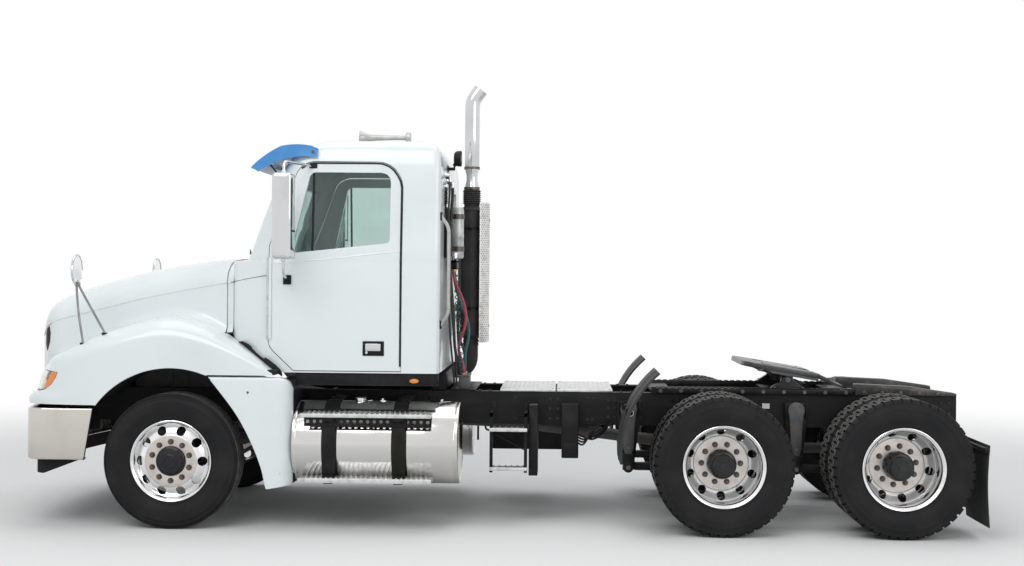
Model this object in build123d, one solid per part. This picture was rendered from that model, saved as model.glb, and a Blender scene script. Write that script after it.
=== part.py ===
from build123d import *
import math
import os

# Day-cab truck tractor with a tandem rear axle. Units are millimetres.
# Axes: +X forward, +Y to the truck's left, +Z up, ground at Z = 0.
# A station is a distance behind the bumper's front corners; stations grow towards the rear.

# Overall length
REAR_END = 7030.0
BUMPER_CROWN = 130.0
NOSE_X = (REAR_END - BUMPER_CROWN) / 2

# Fits
FIT = 0.3
RUNNING = 0.08
PANEL_GAP = 8.0
SEAM_GAP = 12.0

# Axles and wheels
FRONT_AXLE = 1097.0
REAR_AXLE_1 = 5136.0
TANDEM = 1284.0
REAR_AXLE_2 = REAR_AXLE_1 + TANDEM
FRONT_TYRE_R = 498.0
REAR_TYRE_R = 508.0
TYRE_W = 272.0
TREAD_W = 216.0
SHOULDER_DROP = 22.0
RIM_SEAT_R = 286.0
RIM_LIP_R = 300.0
RIM_W = 224.0
RIM_LIP_W = 12.0
RIM_WALL = 16.0
DISC_T = 18.0
FRONT_TRACK_Y = 1035.0
DUAL_OUTER_Y = 1080.0
DUAL_SPACING = 335.0
FLANGE_R = 188.0
NUT_CIRCLE_R = 143.0
NUT_COUNT = 10
NUT_R = 17.0
NUT_H = 24.0
HAND_HOLE_R = 31.0
HAND_HOLE_CIRCLE_R = 229.0
HUB_R = 105.0

# Steering
KINGPIN_Y = 880.0
KINGPIN_R = 22.0
BEAM_BOSS_R = 46.0
BEAM_BOSS_H = 110.0
EAR_H = 34.0
SPINDLE_R = 35.0
STEER_ARM = 200.0
TIE_ROD_R = 17.0
TIE_PIN_R = 11.0

# Frame
RAIL_Y = 430.0
RAIL_W = 86.0
RAIL_T = 10.0
RAIL_TOP = 980.0
RAIL_BOTTOM = 727.0
RAIL_START = 90.0
RAIL_END = 6988.0

# Bumper
BUMPER_TOP = 880.0
BUMPER_BOTTOM = 500.0
BUMPER_HALF = 1170.0
BUMPER_T = 44.0
BUMPER_CORNER_Y = 1020.0
BUMPER_END_TOP = 520.0
BUMPER_END_BOTTOM = 456.0
AIR_DAM_BOTTOM = 394.0
AIR_DAM_INSET = 60.0
AIR_DAM_T = 30.0
AIR_DAM_FRONT = 140.0
AIR_DAM_REAR = 414.0
SHELF_INSET = 20.0
SHELF_DEPTH = 80.0
SHELF_T = 14.0
BUMPER_BRACKET_FRONT = -100.0

# Hood and fenders
HOOD_BOTTOM = 905.0
HOOD_T = 20.0
HOOD_REAR = 1442.0
HOOD_FACE = -92.0
ARCH_R = 690.0
LINER_T = 8.0
HOOD_SEAM_Z = 1135.0
HINGE_STATION = -88.0
HINGE_Z = 892.5
HINGE_R = 11.0
HINGE_PIN_R = 6.0
HINGE_Y = 330.0
HINGE_LEN = 40.0
GRILLE_RIM = 22.0
GRILLE_DEPTH = 30.0
SLAT_COUNT = 8
SLAT_H = 18.0
SLAT_DEPTH = 16.0
HOOD_MIRROR_Y = 1050.0
HOOD_MIRROR_S = 352.0
HOOD_MIRROR_Z = 1895.0
HOOD_MIRROR_R = 118.0
HOOD_MIRROR_T = 34.0
MIRROR_LEG_R = 9.0

# Engine and what turns the wheels
ENGINE_FRONT = 420.0
ENGINE_REAR = 1400.0
ENGINE_HALF = 280.0
ENGINE_BOTTOM = 640.0
ENGINE_TOP = 1560.0
PAN_FRONT = 480.0
PAN_REAR = 1300.0
PAN_HALF = 200.0
PAN_DEPTH = 80.0
GEARBOX_REAR = 2250.0
GEARBOX_HALF = 230.0
GEARBOX_BOTTOM = 620.0
GEARBOX_TOP = 1080.0
ENGINE_FEET = (720.0, 2120.0)
ENGINE_FOOT_L = 90.0
ENGINE_FOOT_BOTTOM = 790.0
ENGINE_FOOT_H = 60.0
RADIATOR_FRONT = 120.0
RADIATOR_REAR = 240.0
RADIATOR_HALF = 390.0
RADIATOR_BOTTOM = 990.0
RADIATOR_TOP = 1560.0
SHAFT_R = 48.0
AXLE_TUBE_R = 70.0
AXLE_TUBE_HALF = 600.0
AXLE_SPINDLE_R = 45.0
AXLE_SPINDLE_HALF = 1060.0
DIFF_R = 190.0
DIFF_HALF = 130.0
DIFF_RISE = 10.0
NECK_R = 75.0
NECK_RISE = 40.0
NECK_LENGTH = 300.0

# Springs
AXLE_BEAM_W = 90.0
AXLE_BEAM_H = 80.0
AXLE_BEAM_DROP = 100.0
AXLE_BEAM_HALF = 720.0
LEAF_HALF = 650.0
LEAF_END_Z = 700.0
LEAF_MIDDLE_Z = 540.0
LEAF_T = 44.0
SPRING_W = 76.0
SPRING_SEAT = 140.0
SPRING_HANGER = 90.0
TRAIL = 660.0
HANGER_W = 60.0
HANGER_TOP = 180.0
HANGER_FOOT = 100.0
HANGER_FOOT_Z = 430.0
ARM_W = 88.0
ARM_DROP = 128.0
ARM_H = 56.0
BAG_BACK = 330.0
BAG_R = 118.0
# Cab
CAB_BOTTOM = 1150.0
CAB_HALF = 1020.0
CAB_REAR = 3050.0
CAB_WALL = 60.0
COWL_FRONT = 1462.0
COWL_HALF = 900.0
COWL_CROWN = 30.0
COWL_TOP = 1978.0
ROOF_TOP = 2882.0
GLASS_T = 6.0
GLASS_INSET = 18.0

# Doors; the side of the cab is straight from just behind the front edge of the door
DOOR_FRONT = 1782.0
COWL_SIDE = DOOR_FRONT + 18.0
PILLAR_SHARE = 136.0 / 338.0
PILLAR_FOOT = COWL_FRONT + PILLAR_SHARE * (COWL_SIDE - COWL_FRONT)
PILLAR_TOP = COWL_SIDE + 165.0
DOOR_REAR = 2770.0
DOOR_BOTTOM = 1166.0
DOOR_TOP = 2712.0
DOOR_AXIS_STATION = DOOR_FRONT - PANEL_GAP / 2
DOOR_AXIS_Y = CAB_HALF
KNUCKLE_R = 9.0
KNUCKLE_ROOM = 2.0
KNUCKLE_LEAF = 26.0
KNUCKLE_GAP = 1.0
KNUCKLE_COUNT = 5
DOOR_PIN_R = 4.0
DOOR_HINGE_BOTTOM = 1392.0
DOOR_HINGE_TOP = 2000.0
HANDLE_FRONT = 2488.0
HANDLE_REAR = 2646.0
HANDLE_BOTTOM = 1278.0
HANDLE_TOP = 1386.0
HANDLE_PROUD = 14.0
MIRROR_Y = 1290.0
MIRROR_W = 190.0
MIRROR_FRONT = DOOR_FRONT + 92.0
MIRROR_REAR = MIRROR_FRONT + 144.0
MIRROR_BOTTOM = 1984.0
MIRROR_TOP = 2603.0
MIRROR_ARM_R = 11.0
MIRROR_ARM_RISE = 87.0
MIRROR_ARM_DROP = 104.0
MIRROR_FOOT_Z = 1835.0
MIRROR_TOP_FOOT_Z = 2682.0

# Cab fittings
VISOR_TIP = PILLAR_TOP - 350.0
VISOR_HALF = 968.0
VISOR_T = 14.0
HORN_Y = 450.0
HORN_Z = 2942.0
HORN_FEET = (2400.0, 2754.0)
HORN_FOOT_L = 24.0
HORN_FOOT_W = 28.0
LIGHT_Y = 300.0
LIGHT_Z = 2795.0
LIGHT_FRONT = 3098.0
LIGHT_R = 62.0
LIGHT_DEPTH = 60.0
LIGHT_STEM = 30.0
HANDLE_BAR_Y = 925.0
HANDLE_BAR_R = 14.0
HANDLE_BAR_OUT = 62.0
HANDLE_BAR_TOP = 2315.0
HANDLE_BAR_BOTTOM = 1509.0
HANDLE_BAR_SLANT = 75.0
HANDLE_PAD_W = 44.0
HANDLE_PAD_H = 64.0
STEERING_Y = 480.0
STEERING_S = 2035.0
STEERING_Z = 1865.0
STEERING_R = 225.0
STEERING_RIM_R = 15.0
STEERING_TILT = 40.0
SPOKE_T = 14.0
COLUMN_R = 30.0
DASH_DOOR_Y = 900.0
SEAT_Y = 480.0
SEAT_W = 500.0
SEAT_FRONT = 2330.0
SEAT_REAR = 2830.0
SEAT_BOTTOM = 1560.0
SEAT_TOP = 1690.0
SEAT_BASE_FRONT = 2420.0
SEAT_BASE_REAR = 2760.0
SEAT_BASE_W = 340.0
BACK_INSET = 20.0
REST_W = 260.0
REST_BOTTOM = 2280.0
REST_TOP = 2440.0
REST_FRONT = 2865.0
REST_REAR = 2950.0
FILTER_STATION = 3112.0
FILTER_Y = 30.0
FILTER_R = 50.0
FILTER_BOTTOM = 2010.0
FILTER_TOP = 2430.0

# Fuel tanks
TANK_FRONT = 1927.0
TANK_REAR = 3205.0
TANK_R = 305.0
TANK_Y = 850.0
TANK_Z = 628.0
STRAP_T = 6.0
STRAP_W = 106.0
STEP_OUT_Y = 1215.0
STEP_FRONT = 2060.0
STEP_REAR = 3014.0
STEP_IN = 168.0
UPPER_STEP_Z = 838.0
UPPER_STEP_T = 34.0
LOWER_STEP_Z = 362.0
LOWER_STEP_T = 40.0
STEP_BOX_IN = 120.0
STEP_BOX_REACH = 190.0
CAP_STATION = 2455.0
CAP_R = 42.0
CAP_RISE = 26.0
STRAP_STATIONS = (2263.0, 2775.0)
SPLASH_T = 14.0
SPLASH_OUT_Y = 1180.0
SPLASH_IN_Y = 760.0
SPLASH_REAR = 1984.0
SPLASH_ROOF_FRONT = 1800.0
SPLASH_ROOF_REAR = 1900.0
SPLASH_TOP = 1122.0
SPLASH_BACK_BOTTOM = 340.0
SPLASH_BACK_TOP = 1040.0
STAY_DEPTH = 60.0
STAY_BOTTOM = 880.0
STAY_TOP = 940.0

# Deck, ladder and boxes
DECK_STARTS = (431.0, 872.0)
DECK_L = 430.0
DECK_T = 22.0
DECK_OVER = 6.0
LADDER_Y = 750.0
LADDER_LEGS = (3430.0, 3690.0)
LADDER_LEG = 24.0
LADDER_BOTTOM = 393.0
LADDER_TREADS = (427.0, 721.0)
LADDER_TREAD_T = 24.0
LADDER_TREAD_IN = 90.0
LADDER_TREAD_OUT = 60.0
LADDER_STAY_Z = 800.0
LADDER_STAY_H = 46.0
# front station, rear station, inner side, outer side, bottom, top
SIDE_BOXES = [
    (3712.0, 3780.0, RAIL_Y, 700.0, 364.0, 900.0),
    (3960.0, 4090.0, RAIL_Y, 560.0, 482.0, 900.0),
    (3380.0, 3980.0, -900.0, -RAIL_Y, 430.0, 900.0),
]
AIR_TANK_FRONT = 4060.0
AIR_TANK_REAR = 4340.0
AIR_TANK_R = 120.0
AIR_TANK_Y = -600.0
AIR_TANK_Z = 640.0
AIR_STAY_W = 80.0

# Exhaust
EXHAUST_Y = 270.0 - CAB_HALF
EXHAUST_STATION = 3173.0
MUFFLER_R = 98.0
MUFFLER_BOTTOM = 1333.0
MUFFLER_TOP = 2477.0
PIPE_R = 63.5
PIPE_T = 4.0
PIPE_RUN_Z = 1062.0
PIPE_BEND_R = 130.0
STACK_STRAIGHT_TOP = 3375.0
STACK_TIP_BACK = 72.0
STACK_TIP_RISE = 98.0
STACK_BEND_R = 190.0
COLLAR_H = 139.0
COLLAR_T = 14.0
PIPE_FRONT = 2350.0
EXHAUST_BRACKETS = (1600.0, 2280.0)
EXHAUST_BRACKET_W = 120.0
EXHAUST_BRACKET_H = 60.0
SHIELD_GAP = 58.0
SHIELD_T = 4.0
SHIELD_BOTTOM = 1305.0
SHIELD_TOP = 2504.0
SHIELD_EDGE = 80.0
SHIELD_ARMS = (1450.0, 2350.0)
SHIELD_ARM_W = 24.0
SHIELD_ARM_H = 30.0

# Fifth wheel
PLATE_PIVOT = 5702.0
PLATE_PIVOT_Z = 1092.0
PLATE_TILT = 9.3
PLATE_T = 38.0
PLATE_TOP_OVER_PIVOT = 86.0
PLATE_HALF = 455.0
PLATE_FRONT = 5338.0
PLATE_RAMP = 5935.0
PLATE_REAR = 6140.0
PLATE_RAMP_DROP = 58.0
PLATE_RAMP_END_T = 20.0
KINGPIN_BORE_R = 25.4
KINGPIN_STATION = 5660.0
PIVOT_PIN_R = 20.0
PEDESTAL_Y = 372.0
PEDESTAL_W = 60.0
SLIDE_TOP = 1026.0
SLIDE_FRONT = 4650.0
SLIDE_REAR = 6200.0
SLIDE_OVER = 30.0
CROSS_PLATE_L = 160.0
CROSS_PLATE_T = 24.0
PIVOT_PLATE_L = 300.0
PEDESTAL_FOOT = 130.0
PEDESTAL_HEAD = 34.0
PEDESTAL_OVER = 26.0
RAMP_GAP = 15.0
RAMP_END = 6985.0
RAMP_OVER = 20.0
# station, height of the ramp's top
RAMP_LINE = [(SLIDE_REAR + RAMP_GAP, 1066.0), (6622.0, 1050.0), (RAMP_END, 1000.0)]
PLATE_NOSE_HALF = 300.0
PLATE_NOSE_L = 130.0
HORN_IN_Y = 130.0
HORN_CLEAR = 10.0
THROAT_HALF = 34.0
THROAT_MID_S = 5800.0
THROAT_MID_HALF = 60.0
THROAT_REAR_HALF = 240.0
JAW_L = 140.0
JAW_HALF = 150.0
JAW_TOP = 20.0
JAW_BOTTOM = 80.0
EAR_L = 90.0
EAR_W = 47.0
EAR_GAP = 3.0
EAR_DROP = 40.0

# Mud flaps and rear fenders
FLAP_T = 12.0
FLAP_BOTTOM = 100.0
FLAP_TOP = 690.0
FLAP_IN_Y = 620.0
FLAP_OUT_Y = 1200.0
HANGER_R = 20.0
HANGER_Z = 655.0
QUARTER_T = 10.0
QUARTER_IN_Y = 640.0
QUARTER_OUT_Y = 1215.0
# station, height of the guard's front line
QUARTER_LINE = [(4657.0, 1190.0), (4452.0, 916.0), (4384.0, 523.0)]
POST_STATION = 4462.0
POST_Z = 880.0
POST_R = 24.0
POST_SHORT = 160.0
FLAP_BRACKET_W = 30.0
FLAP_BRACKET_L = 90.0
FLAP_BRACKET_TOP = 800.0

# Hoses behind the cab
HOSE_R = 11.0
RACK_Z = 1925.0
RACK_REAR = 3130.0
RACK_H = 70.0
RACK_IN_Y = 130.0
RACK_OUT_Y = 350.0
HOSE_TOP_S = 3100.0
HOSE_FOOT_S = 3190.0
HOSE_FOOT_Z = 1100.0
JOINT_BOX_W = 80.0
JOINT_BOX_IN_Y = 90.0
JOINT_BOX_OUT_Y = 370.0
JOINT_PLATE_L = 200.0
JOINT_PLATE_T = 12.0


def at(station):
    """X of a station."""
    return NOSE_X - station


def box(s0, s1, y0, y1, z0, z1):
    """A block between two stations, two widths and two heights."""
    block = Box(s1 - s0, y1 - y0, z1 - z0)
    return Pos(at((s0 + s1) / 2), (y0 + y1) / 2, (z0 + z1) / 2) * block


def side_face(points):
    """A flat outline in the side view at Y = 0, from (station, z) points."""
    return Face(Wire.make_polygon([(at(s), 0, z) for s, z in points]))


def side_prism(points, y0, y1):
    """The outline of (station, z) points, as thick as from y0 to y1."""
    return Pos(0, y0, 0) * extrude(side_face(points), amount=y1 - y0, dir=(0, 1, 0))


def front_prism(points, s0, s1):
    """The outline of (y, z) points, from station s0 back to station s1."""
    face = Face(Wire.make_polygon([(at(s0), y, z) for y, z in points]))
    return extrude(face, amount=s1 - s0, dir=(-1, 0, 0))


def rod_y(station, z, radius, y0, y1):
    """A round bar across the truck."""
    place = Pos(at(station), (y0 + y1) / 2, z) * Rot(90, 0, 0)
    return place * Cylinder(radius, y1 - y0)


def rod_x(y, z, radius, s0, s1):
    """A round bar along the truck."""
    return Pos(at((s0 + s1) / 2), y, z) * Rot(0, 90, 0) * Cylinder(radius, s1 - s0)


def rod_z(station, y, radius, z0, z1):
    """A round upright bar."""
    return Pos(at(station), y, (z0 + z1) / 2) * Cylinder(radius, z1 - z0)


def wheel_ring(station, y, z, profile):
    """A body of revolution about a wheel axis, from (radius, offset along +Y) points."""
    face = Face(Wire.make_polygon([(at(station) + r, y + a, z) for r, a in profile]))
    return revolve(face, Axis((at(station), y, z), (0, 1, 0)), 360)


def tube(points, radius, bends):
    """A round bar along straight runs joined by arcs; points are (station, y, z)."""
    path = FilletPolyline(*[(at(s), y, z) for s, y, z in points], radius=bends)
    plane = Plane(origin=path @ 0, z_dir=path % 0)
    return sweep(plane * Circle(radius), path=path)


def other_side(shape):
    """The same piece on the truck's right."""
    return mirror(shape, about=Plane.XZ)


def both_sides(shape):
    return [shape, other_side(shape)]


def fused(pieces):
    """All pieces joined into one shape."""
    whole = pieces[0]
    for piece in pieces[1:]:
        whole = whole + piece
    return whole


def loft_through(wires):
    return Solid.make_loft(wires, ruled=True)


# Cab body: plan outlines at rising heights, joined by straight surfaces

# height, half width, station where the side ends, half width at the front corner,
# front corner station, front centre station, rear wall station
COWL_LEVELS = [
    (CAB_BOTTOM, CAB_HALF, COWL_SIDE, COWL_HALF, COWL_FRONT + COWL_CROWN, COWL_FRONT, CAB_REAR),
    (COWL_TOP, CAB_HALF, COWL_SIDE, COWL_HALF, COWL_FRONT + COWL_CROWN, COWL_FRONT, CAB_REAR),
]
GREENHOUSE_LEVELS = [
    (COWL_TOP, CAB_HALF, COWL_SIDE, 830.0, PILLAR_FOOT, COWL_FRONT + 12.0, CAB_REAR),
    (2590.0, 960.0, PILLAR_TOP - 65.0, 790.0, PILLAR_TOP - 153.0, PILLAR_TOP - 239.0, CAB_REAR),
    (2745.0, 940.0, PILLAR_TOP, 770.0, PILLAR_TOP - 65.0, PILLAR_TOP - 129.0, CAB_REAR),
    (2838.0, 902.0, PILLAR_TOP + 105.0, 730.0, PILLAR_TOP + 51.0, PILLAR_TOP + 3.0,
     CAB_REAR - 32.0),
    (ROOF_TOP, 830.0, PILLAR_TOP + 225.0, 660.0, PILLAR_TOP + 185.0, PILLAR_TOP + 145.0,
     CAB_REAR - 125.0),
]


def plan_wire(level, inset):
    """One plan outline of the cab, drawn in by the inset on every side."""
    z, half, side_s, corner_y, corner_s, front_s, rear_s = level
    half, corner_y = half - inset, corner_y - inset * 0.6
    side_s, corner_s, front_s = side_s + inset * 0.5, corner_s + inset, front_s + inset
    rear_s = rear_s - inset
    left = [(at(rear_s), half, z), (at(side_s), half, z), (at(corner_s), corner_y, z)]
    right = [(x, -y, height) for x, y, height in reversed(left)]
    edges = [
        Edge.make_line(left[0], left[1]),
        Edge.make_line(left[1], left[2]),
        Edge.make_three_point_arc(left[2], (at(front_s), 0, z), right[0]),
        Edge.make_line(right[0], right[1]),
        Edge.make_line(right[1], right[2]),
        Edge.make_line(right[2], left[0]),
    ]
    return Wire(edges)


def cab_body(inset):
    """The cab's outer form, or a form inside it by the inset."""
    cowl = []
    for level, lift in zip(COWL_LEVELS, (inset, 0)):
        cowl.append(plan_wire((level[0] + lift, *level[1:]), inset))
    upper = []
    for number, level in enumerate(GREENHOUSE_LEVELS):
        drop = inset if number == len(GREENHOUSE_LEVELS) - 1 else 0
        upper.append(plan_wire((level[0] - drop, *level[1:]), inset))
    return loft_through(cowl) + loft_through(upper)


DOOR_OUTLINE = [
    (DOOR_FRONT, DOOR_HINGE_BOTTOM), (DOOR_FRONT + 40, 1308), (DOOR_FRONT + 193, DOOR_BOTTOM),
    (DOOR_REAR, DOOR_BOTTOM), (DOOR_REAR, 2520), (DOOR_REAR - 32, 2618), (DOOR_REAR - 102, 2690),
    (DOOR_REAR - 210, DOOR_TOP), (DOOR_FRONT + 293, DOOR_TOP), (DOOR_FRONT + 203, 2640),
    (DOOR_FRONT, 2090),
]
WINDOW_OUTLINE = [
    (DOOR_FRONT + 168, 2060), (DOOR_FRONT + 193, 2035), (DOOR_REAR - 105, 2110),
    (DOOR_REAR - 88, 2130), (DOOR_REAR - 88, 2560), (DOOR_REAR - 115, 2615),
    (DOOR_REAR - 170, 2635), (DOOR_FRONT + 328, 2635), (DOOR_FRONT + 293, 2600),
]
WINDSHIELD_OUTLINE = [(-800, 2030), (800, 2030), (740, 2560), (-740, 2560)]
REAR_WINDOW_OUTLINE = [(-600, 2080), (600, 2080), (600, 2560), (-600, 2560)]


def shifted_prism(points, amount, y0, y1):
    """A prism of the outline moved outwards (or inwards, below zero) by the amount."""
    face = side_face(points)
    grown = offset(face, amount=amount, kind=Kind.INTERSECTION)
    return Pos(0, y0, 0) * extrude(grown, amount=y1 - y0, dir=(0, 1, 0))


DOOR_DEPTH_Y = 700.0
OUTSIDE_Y = 1300.0


def sill(inner_gap):
    """The floor's edge inside the left door, which stays with the cab."""
    return box(DOOR_FRONT - 100, DOOR_REAR + 100, DOOR_DEPTH_Y - 100,
               CAB_HALF - CAB_WALL - inner_gap, CAB_BOTTOM - 10, CAB_BOTTOM + CAB_WALL + inner_gap)


def hinge_room():
    """The round space along the left door's hinge, cut from the door and the cab."""
    return rod_z(DOOR_AXIS_STATION, DOOR_AXIS_Y, KNUCKLE_R + KNUCKLE_ROOM,
                 DOOR_HINGE_BOTTOM, DOOR_HINGE_TOP)


def hinge_knuckles(first, reach):
    """Every other knuckle of the left hinge, with its leaf ahead (below zero) or behind."""
    pitch = (DOOR_HINGE_TOP - DOOR_HINGE_BOTTOM) / KNUCKLE_COUNT
    knuckles = []
    for number in range(first, KNUCKLE_COUNT, 2):
        low = DOOR_HINGE_BOTTOM + number * pitch + KNUCKLE_GAP / 2
        high = low + pitch - KNUCKLE_GAP
        ends = sorted((DOOR_AXIS_STATION, DOOR_AXIS_STATION + reach))
        barrel = rod_z(DOOR_AXIS_STATION, DOOR_AXIS_Y, KNUCKLE_R, low, high)
        leaf = box(ends[0], ends[1], DOOR_AXIS_Y - CAB_WALL / 3, DOOR_AXIS_Y + 2, low, high)
        knuckles.append(barrel + leaf)
    return fused(knuckles)


def cab_shell():
    shell = cab_body(0) - cab_body(CAB_WALL)
    door_hole = shifted_prism(DOOR_OUTLINE, PANEL_GAP, DOOR_DEPTH_Y, OUTSIDE_Y)
    door_hole = door_hole - sill(PANEL_GAP) + hinge_room()
    shell = shell - door_hole - other_side(door_hole)
    shell = shell - front_prism(WINDSHIELD_OUTLINE, COWL_FRONT - 60, DOOR_REAR)
    shell = shell - front_prism(REAR_WINDOW_OUTLINE, DOOR_REAR, CAB_REAR + 50)
    pin = rod_z(DOOR_AXIS_STATION, DOOR_AXIS_Y, DOOR_PIN_R, DOOR_HINGE_BOTTOM, DOOR_HINGE_TOP)
    hinge = hinge_knuckles(1, -KNUCKLE_LEAF) + pin
    return shell + hinge + other_side(hinge)


SKIRT_FRONT = 1990.0
SKIRT_BOTTOM = 1058.0
SKIRT_OUT_Y = 1006.0
SKIRT_T = 24.0


def cab_skirts():
    """Black strips that hang below the cab's sides."""
    strip = box(SKIRT_FRONT, CAB_REAR, SKIRT_OUT_Y - SKIRT_T, SKIRT_OUT_Y, SKIRT_BOTTOM,
                CAB_BOTTOM)
    return both_sides(strip)


def glass_skin():
    return cab_body(GLASS_INSET) - cab_body(GLASS_INSET + GLASS_T)


def cab_glass():
    skin = glass_skin()
    front = skin & front_prism(WINDSHIELD_OUTLINE, COWL_FRONT - 60, DOOR_REAR)
    rear = skin & front_prism(REAR_WINDOW_OUTLINE, DOOR_REAR, CAB_REAR + 50)
    return [front, rear]


def door_left():
    shell = cab_body(0) - cab_body(CAB_WALL)
    leaf = shell & side_prism(DOOR_OUTLINE, DOOR_DEPTH_Y, OUTSIDE_Y)
    leaf = leaf - sill(0) - side_prism(WINDOW_OUTLINE, DOOR_DEPTH_Y, OUTSIDE_Y) - hinge_room()
    handle = box(HANDLE_FRONT, HANDLE_REAR, CAB_HALF, CAB_HALF + HANDLE_PROUD, HANDLE_BOTTOM,
                 HANDLE_TOP)
    pin_room = rod_z(DOOR_AXIS_STATION, DOOR_AXIS_Y, DOOR_PIN_R + RUNNING,
                     DOOR_HINGE_BOTTOM - 10, DOOR_HINGE_TOP + 10)
    return leaf + handle + (hinge_knuckles(0, KNUCKLE_LEAF) - pin_room)


def door_left_glass():
    return glass_skin() & side_prism(WINDOW_OUTLINE, DOOR_DEPTH_Y, OUTSIDE_Y)


def mirror_left():
    """Tall mirror head on an arm above and a bracket below, both on the door."""
    head = box(MIRROR_FRONT, MIRROR_REAR, MIRROR_Y - MIRROR_W / 2, MIRROR_Y + MIRROR_W / 2,
               MIRROR_BOTTOM, MIRROR_TOP)
    middle = (MIRROR_FRONT + MIRROR_REAR) / 2
    over, under = MIRROR_TOP + MIRROR_ARM_RISE, MIRROR_BOTTOM - MIRROR_ARM_DROP
    upper = tube([(middle, MIRROR_Y, MIRROR_TOP - 13), (middle, MIRROR_Y, over),
                  (DOOR_FRONT + 309, 930, MIRROR_TOP_FOOT_Z)], MIRROR_ARM_R, [40])
    lower = tube([(middle, MIRROR_Y, MIRROR_BOTTOM + 16), (middle, MIRROR_Y, under),
                  (middle - 21, CAB_HALF, MIRROR_FOOT_Z)], MIRROR_ARM_R, [50])
    foot = box(DOOR_FRONT + 113, DOOR_FRONT + 173, CAB_HALF, CAB_HALF + 16,
               MIRROR_FOOT_Z - 35, MIRROR_FOOT_Z + 35)
    top_foot = box(DOOR_FRONT + 288, DOOR_FRONT + 348, 926, 962, MIRROR_TOP_FOOT_Z - 18,
                   MIRROR_TOP_FOOT_Z + 18)
    return fused([head, upper, lower, foot, top_foot]) - cab_body(-FIT)


# Hood: cross sections at stations, joined by straight surfaces

# station, half width at the crease, crease height, half width of the flat top, top height
HOOD_SECTIONS = [
    (HOOD_FACE, 500.0, 1392.0, 300.0, 1560.0),
    (-38.0, 560.0, 1452.0, 330.0, 1626.0),
    (56.0, 620.0, 1505.0, 360.0, 1676.0),
    (190.0, 640.0, 1542.0, 370.0, 1730.0),
    (450.0, 685.0, 1607.0, 390.0, 1816.0),
    (1080.0, 790.0, 1747.0, 450.0, 1953.0),
    (HOOD_REAR, 880.0, 1809.0, 520.0, 1984.0),
]
# station, outer half width, inner height, crown half width, crown height, shoulder height
FENDER_SECTIONS = [
    (-40.0, 640.0, 1110.0, 600.0, 1090.0, 1040.0),
    (10.0, 860.0, 1185.0, 780.0, 1160.0, 1080.0),
    (70.0, 1010.0, 1240.0, 900.0, 1200.0, 1100.0),
    (150.0, 1090.0, 1290.0, 940.0, 1245.0, 1130.0),
    (310.0, 1150.0, 1370.0, 960.0, 1325.0, 1190.0),
    (567.0, 1176.0, 1460.0, 960.0, 1436.0, 1290.0),
    (889.0, 1180.0, 1545.0, 960.0, 1530.0, 1375.0),
    (1100.0, 1180.0, 1560.0, 960.0, 1546.0, 1390.0),
    (1309.0, 1180.0, 1520.0, 970.0, 1500.0, 1350.0),
    (HOOD_REAR, 1180.0, 1440.0, 985.0, 1432.0, 1310.0),
]
FENDER_ROOT_Y = 470.0
# station, height of the seam along the cab, shoulder height
TAIL_SECTIONS = [
    (HOOD_REAR, 1436.0, 1310.0),
    (HOOD_REAR + 0.44 * (COWL_SIDE - HOOD_REAR), 1338.0, 1255.0),
    (COWL_SIDE, 1194.0, 1166.0),
    (COWL_SIDE + 50.0, 1158.0, 1140.0),
]


def hood_wire(section, inset, floor):
    """Hood cross section: sides, creases, rounded shoulders and a flat top."""
    s, crease_y, crease_z, top_y, top_z = section
    x = at(s)
    crease_y, top_z = crease_y - inset, top_z - inset
    crease_z, top_y = crease_z - inset * 0.4, top_y - inset * 0.4
    bulge = (x, top_y + 0.68 * (crease_y - top_y), crease_z + 0.74 * (top_z - crease_z))
    left = [(x, crease_y, floor), (x, crease_y, crease_z), (x, top_y, top_z)]
    right = [(px, -py, pz) for px, py, pz in left]
    bulge_right = (bulge[0], -bulge[1], bulge[2])
    edges = [
        Edge.make_line(left[0], left[1]),
        Edge.make_three_point_arc(left[1], bulge, left[2]),
        Edge.make_line(left[2], right[2]),
        Edge.make_three_point_arc(right[2], bulge_right, right[1]),
        Edge.make_line(right[1], right[0]),
        Edge.make_line(right[0], left[0]),
    ]
    return Wire(edges)


def fender_wire(section, inset, floor, root):
    """Left fender cross section, from its root under the hood out to its side."""
    s, outer_y, inner_z, crown_y, crown_z, shoulder_z = section
    x = at(s)
    outer_y, inner_z, crown_z = outer_y - inset, inner_z - inset, crown_z - inset
    crown_y, shoulder_z = crown_y - inset * 0.5, shoulder_z - inset * 0.5
    bulge = (x, crown_y + 0.74 * (outer_y - crown_y), crown_z - 0.30 * (crown_z - shoulder_z))
    corners = [(x, root, floor), (x, root, inner_z), (x, crown_y, crown_z),
               (x, outer_y, shoulder_z), (x, outer_y, floor)]
    edges = [
        Edge.make_line(corners[0], corners[1]),
        Edge.make_line(corners[1], corners[2]),
        Edge.make_three_point_arc(corners[2], bulge, corners[3]),
        Edge.make_line(corners[3], corners[4]),
        Edge.make_line(corners[4], corners[0]),
    ]
    return Wire(edges)


def cowl_half_at(station):
    """Half width of the cab's lower front at a station."""
    corner = COWL_FRONT + COWL_CROWN
    share = (station - corner) / (COWL_SIDE - corner)
    return COWL_HALF + max(0.0, min(1.0, share)) * (CAB_HALF - COWL_HALF)


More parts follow.
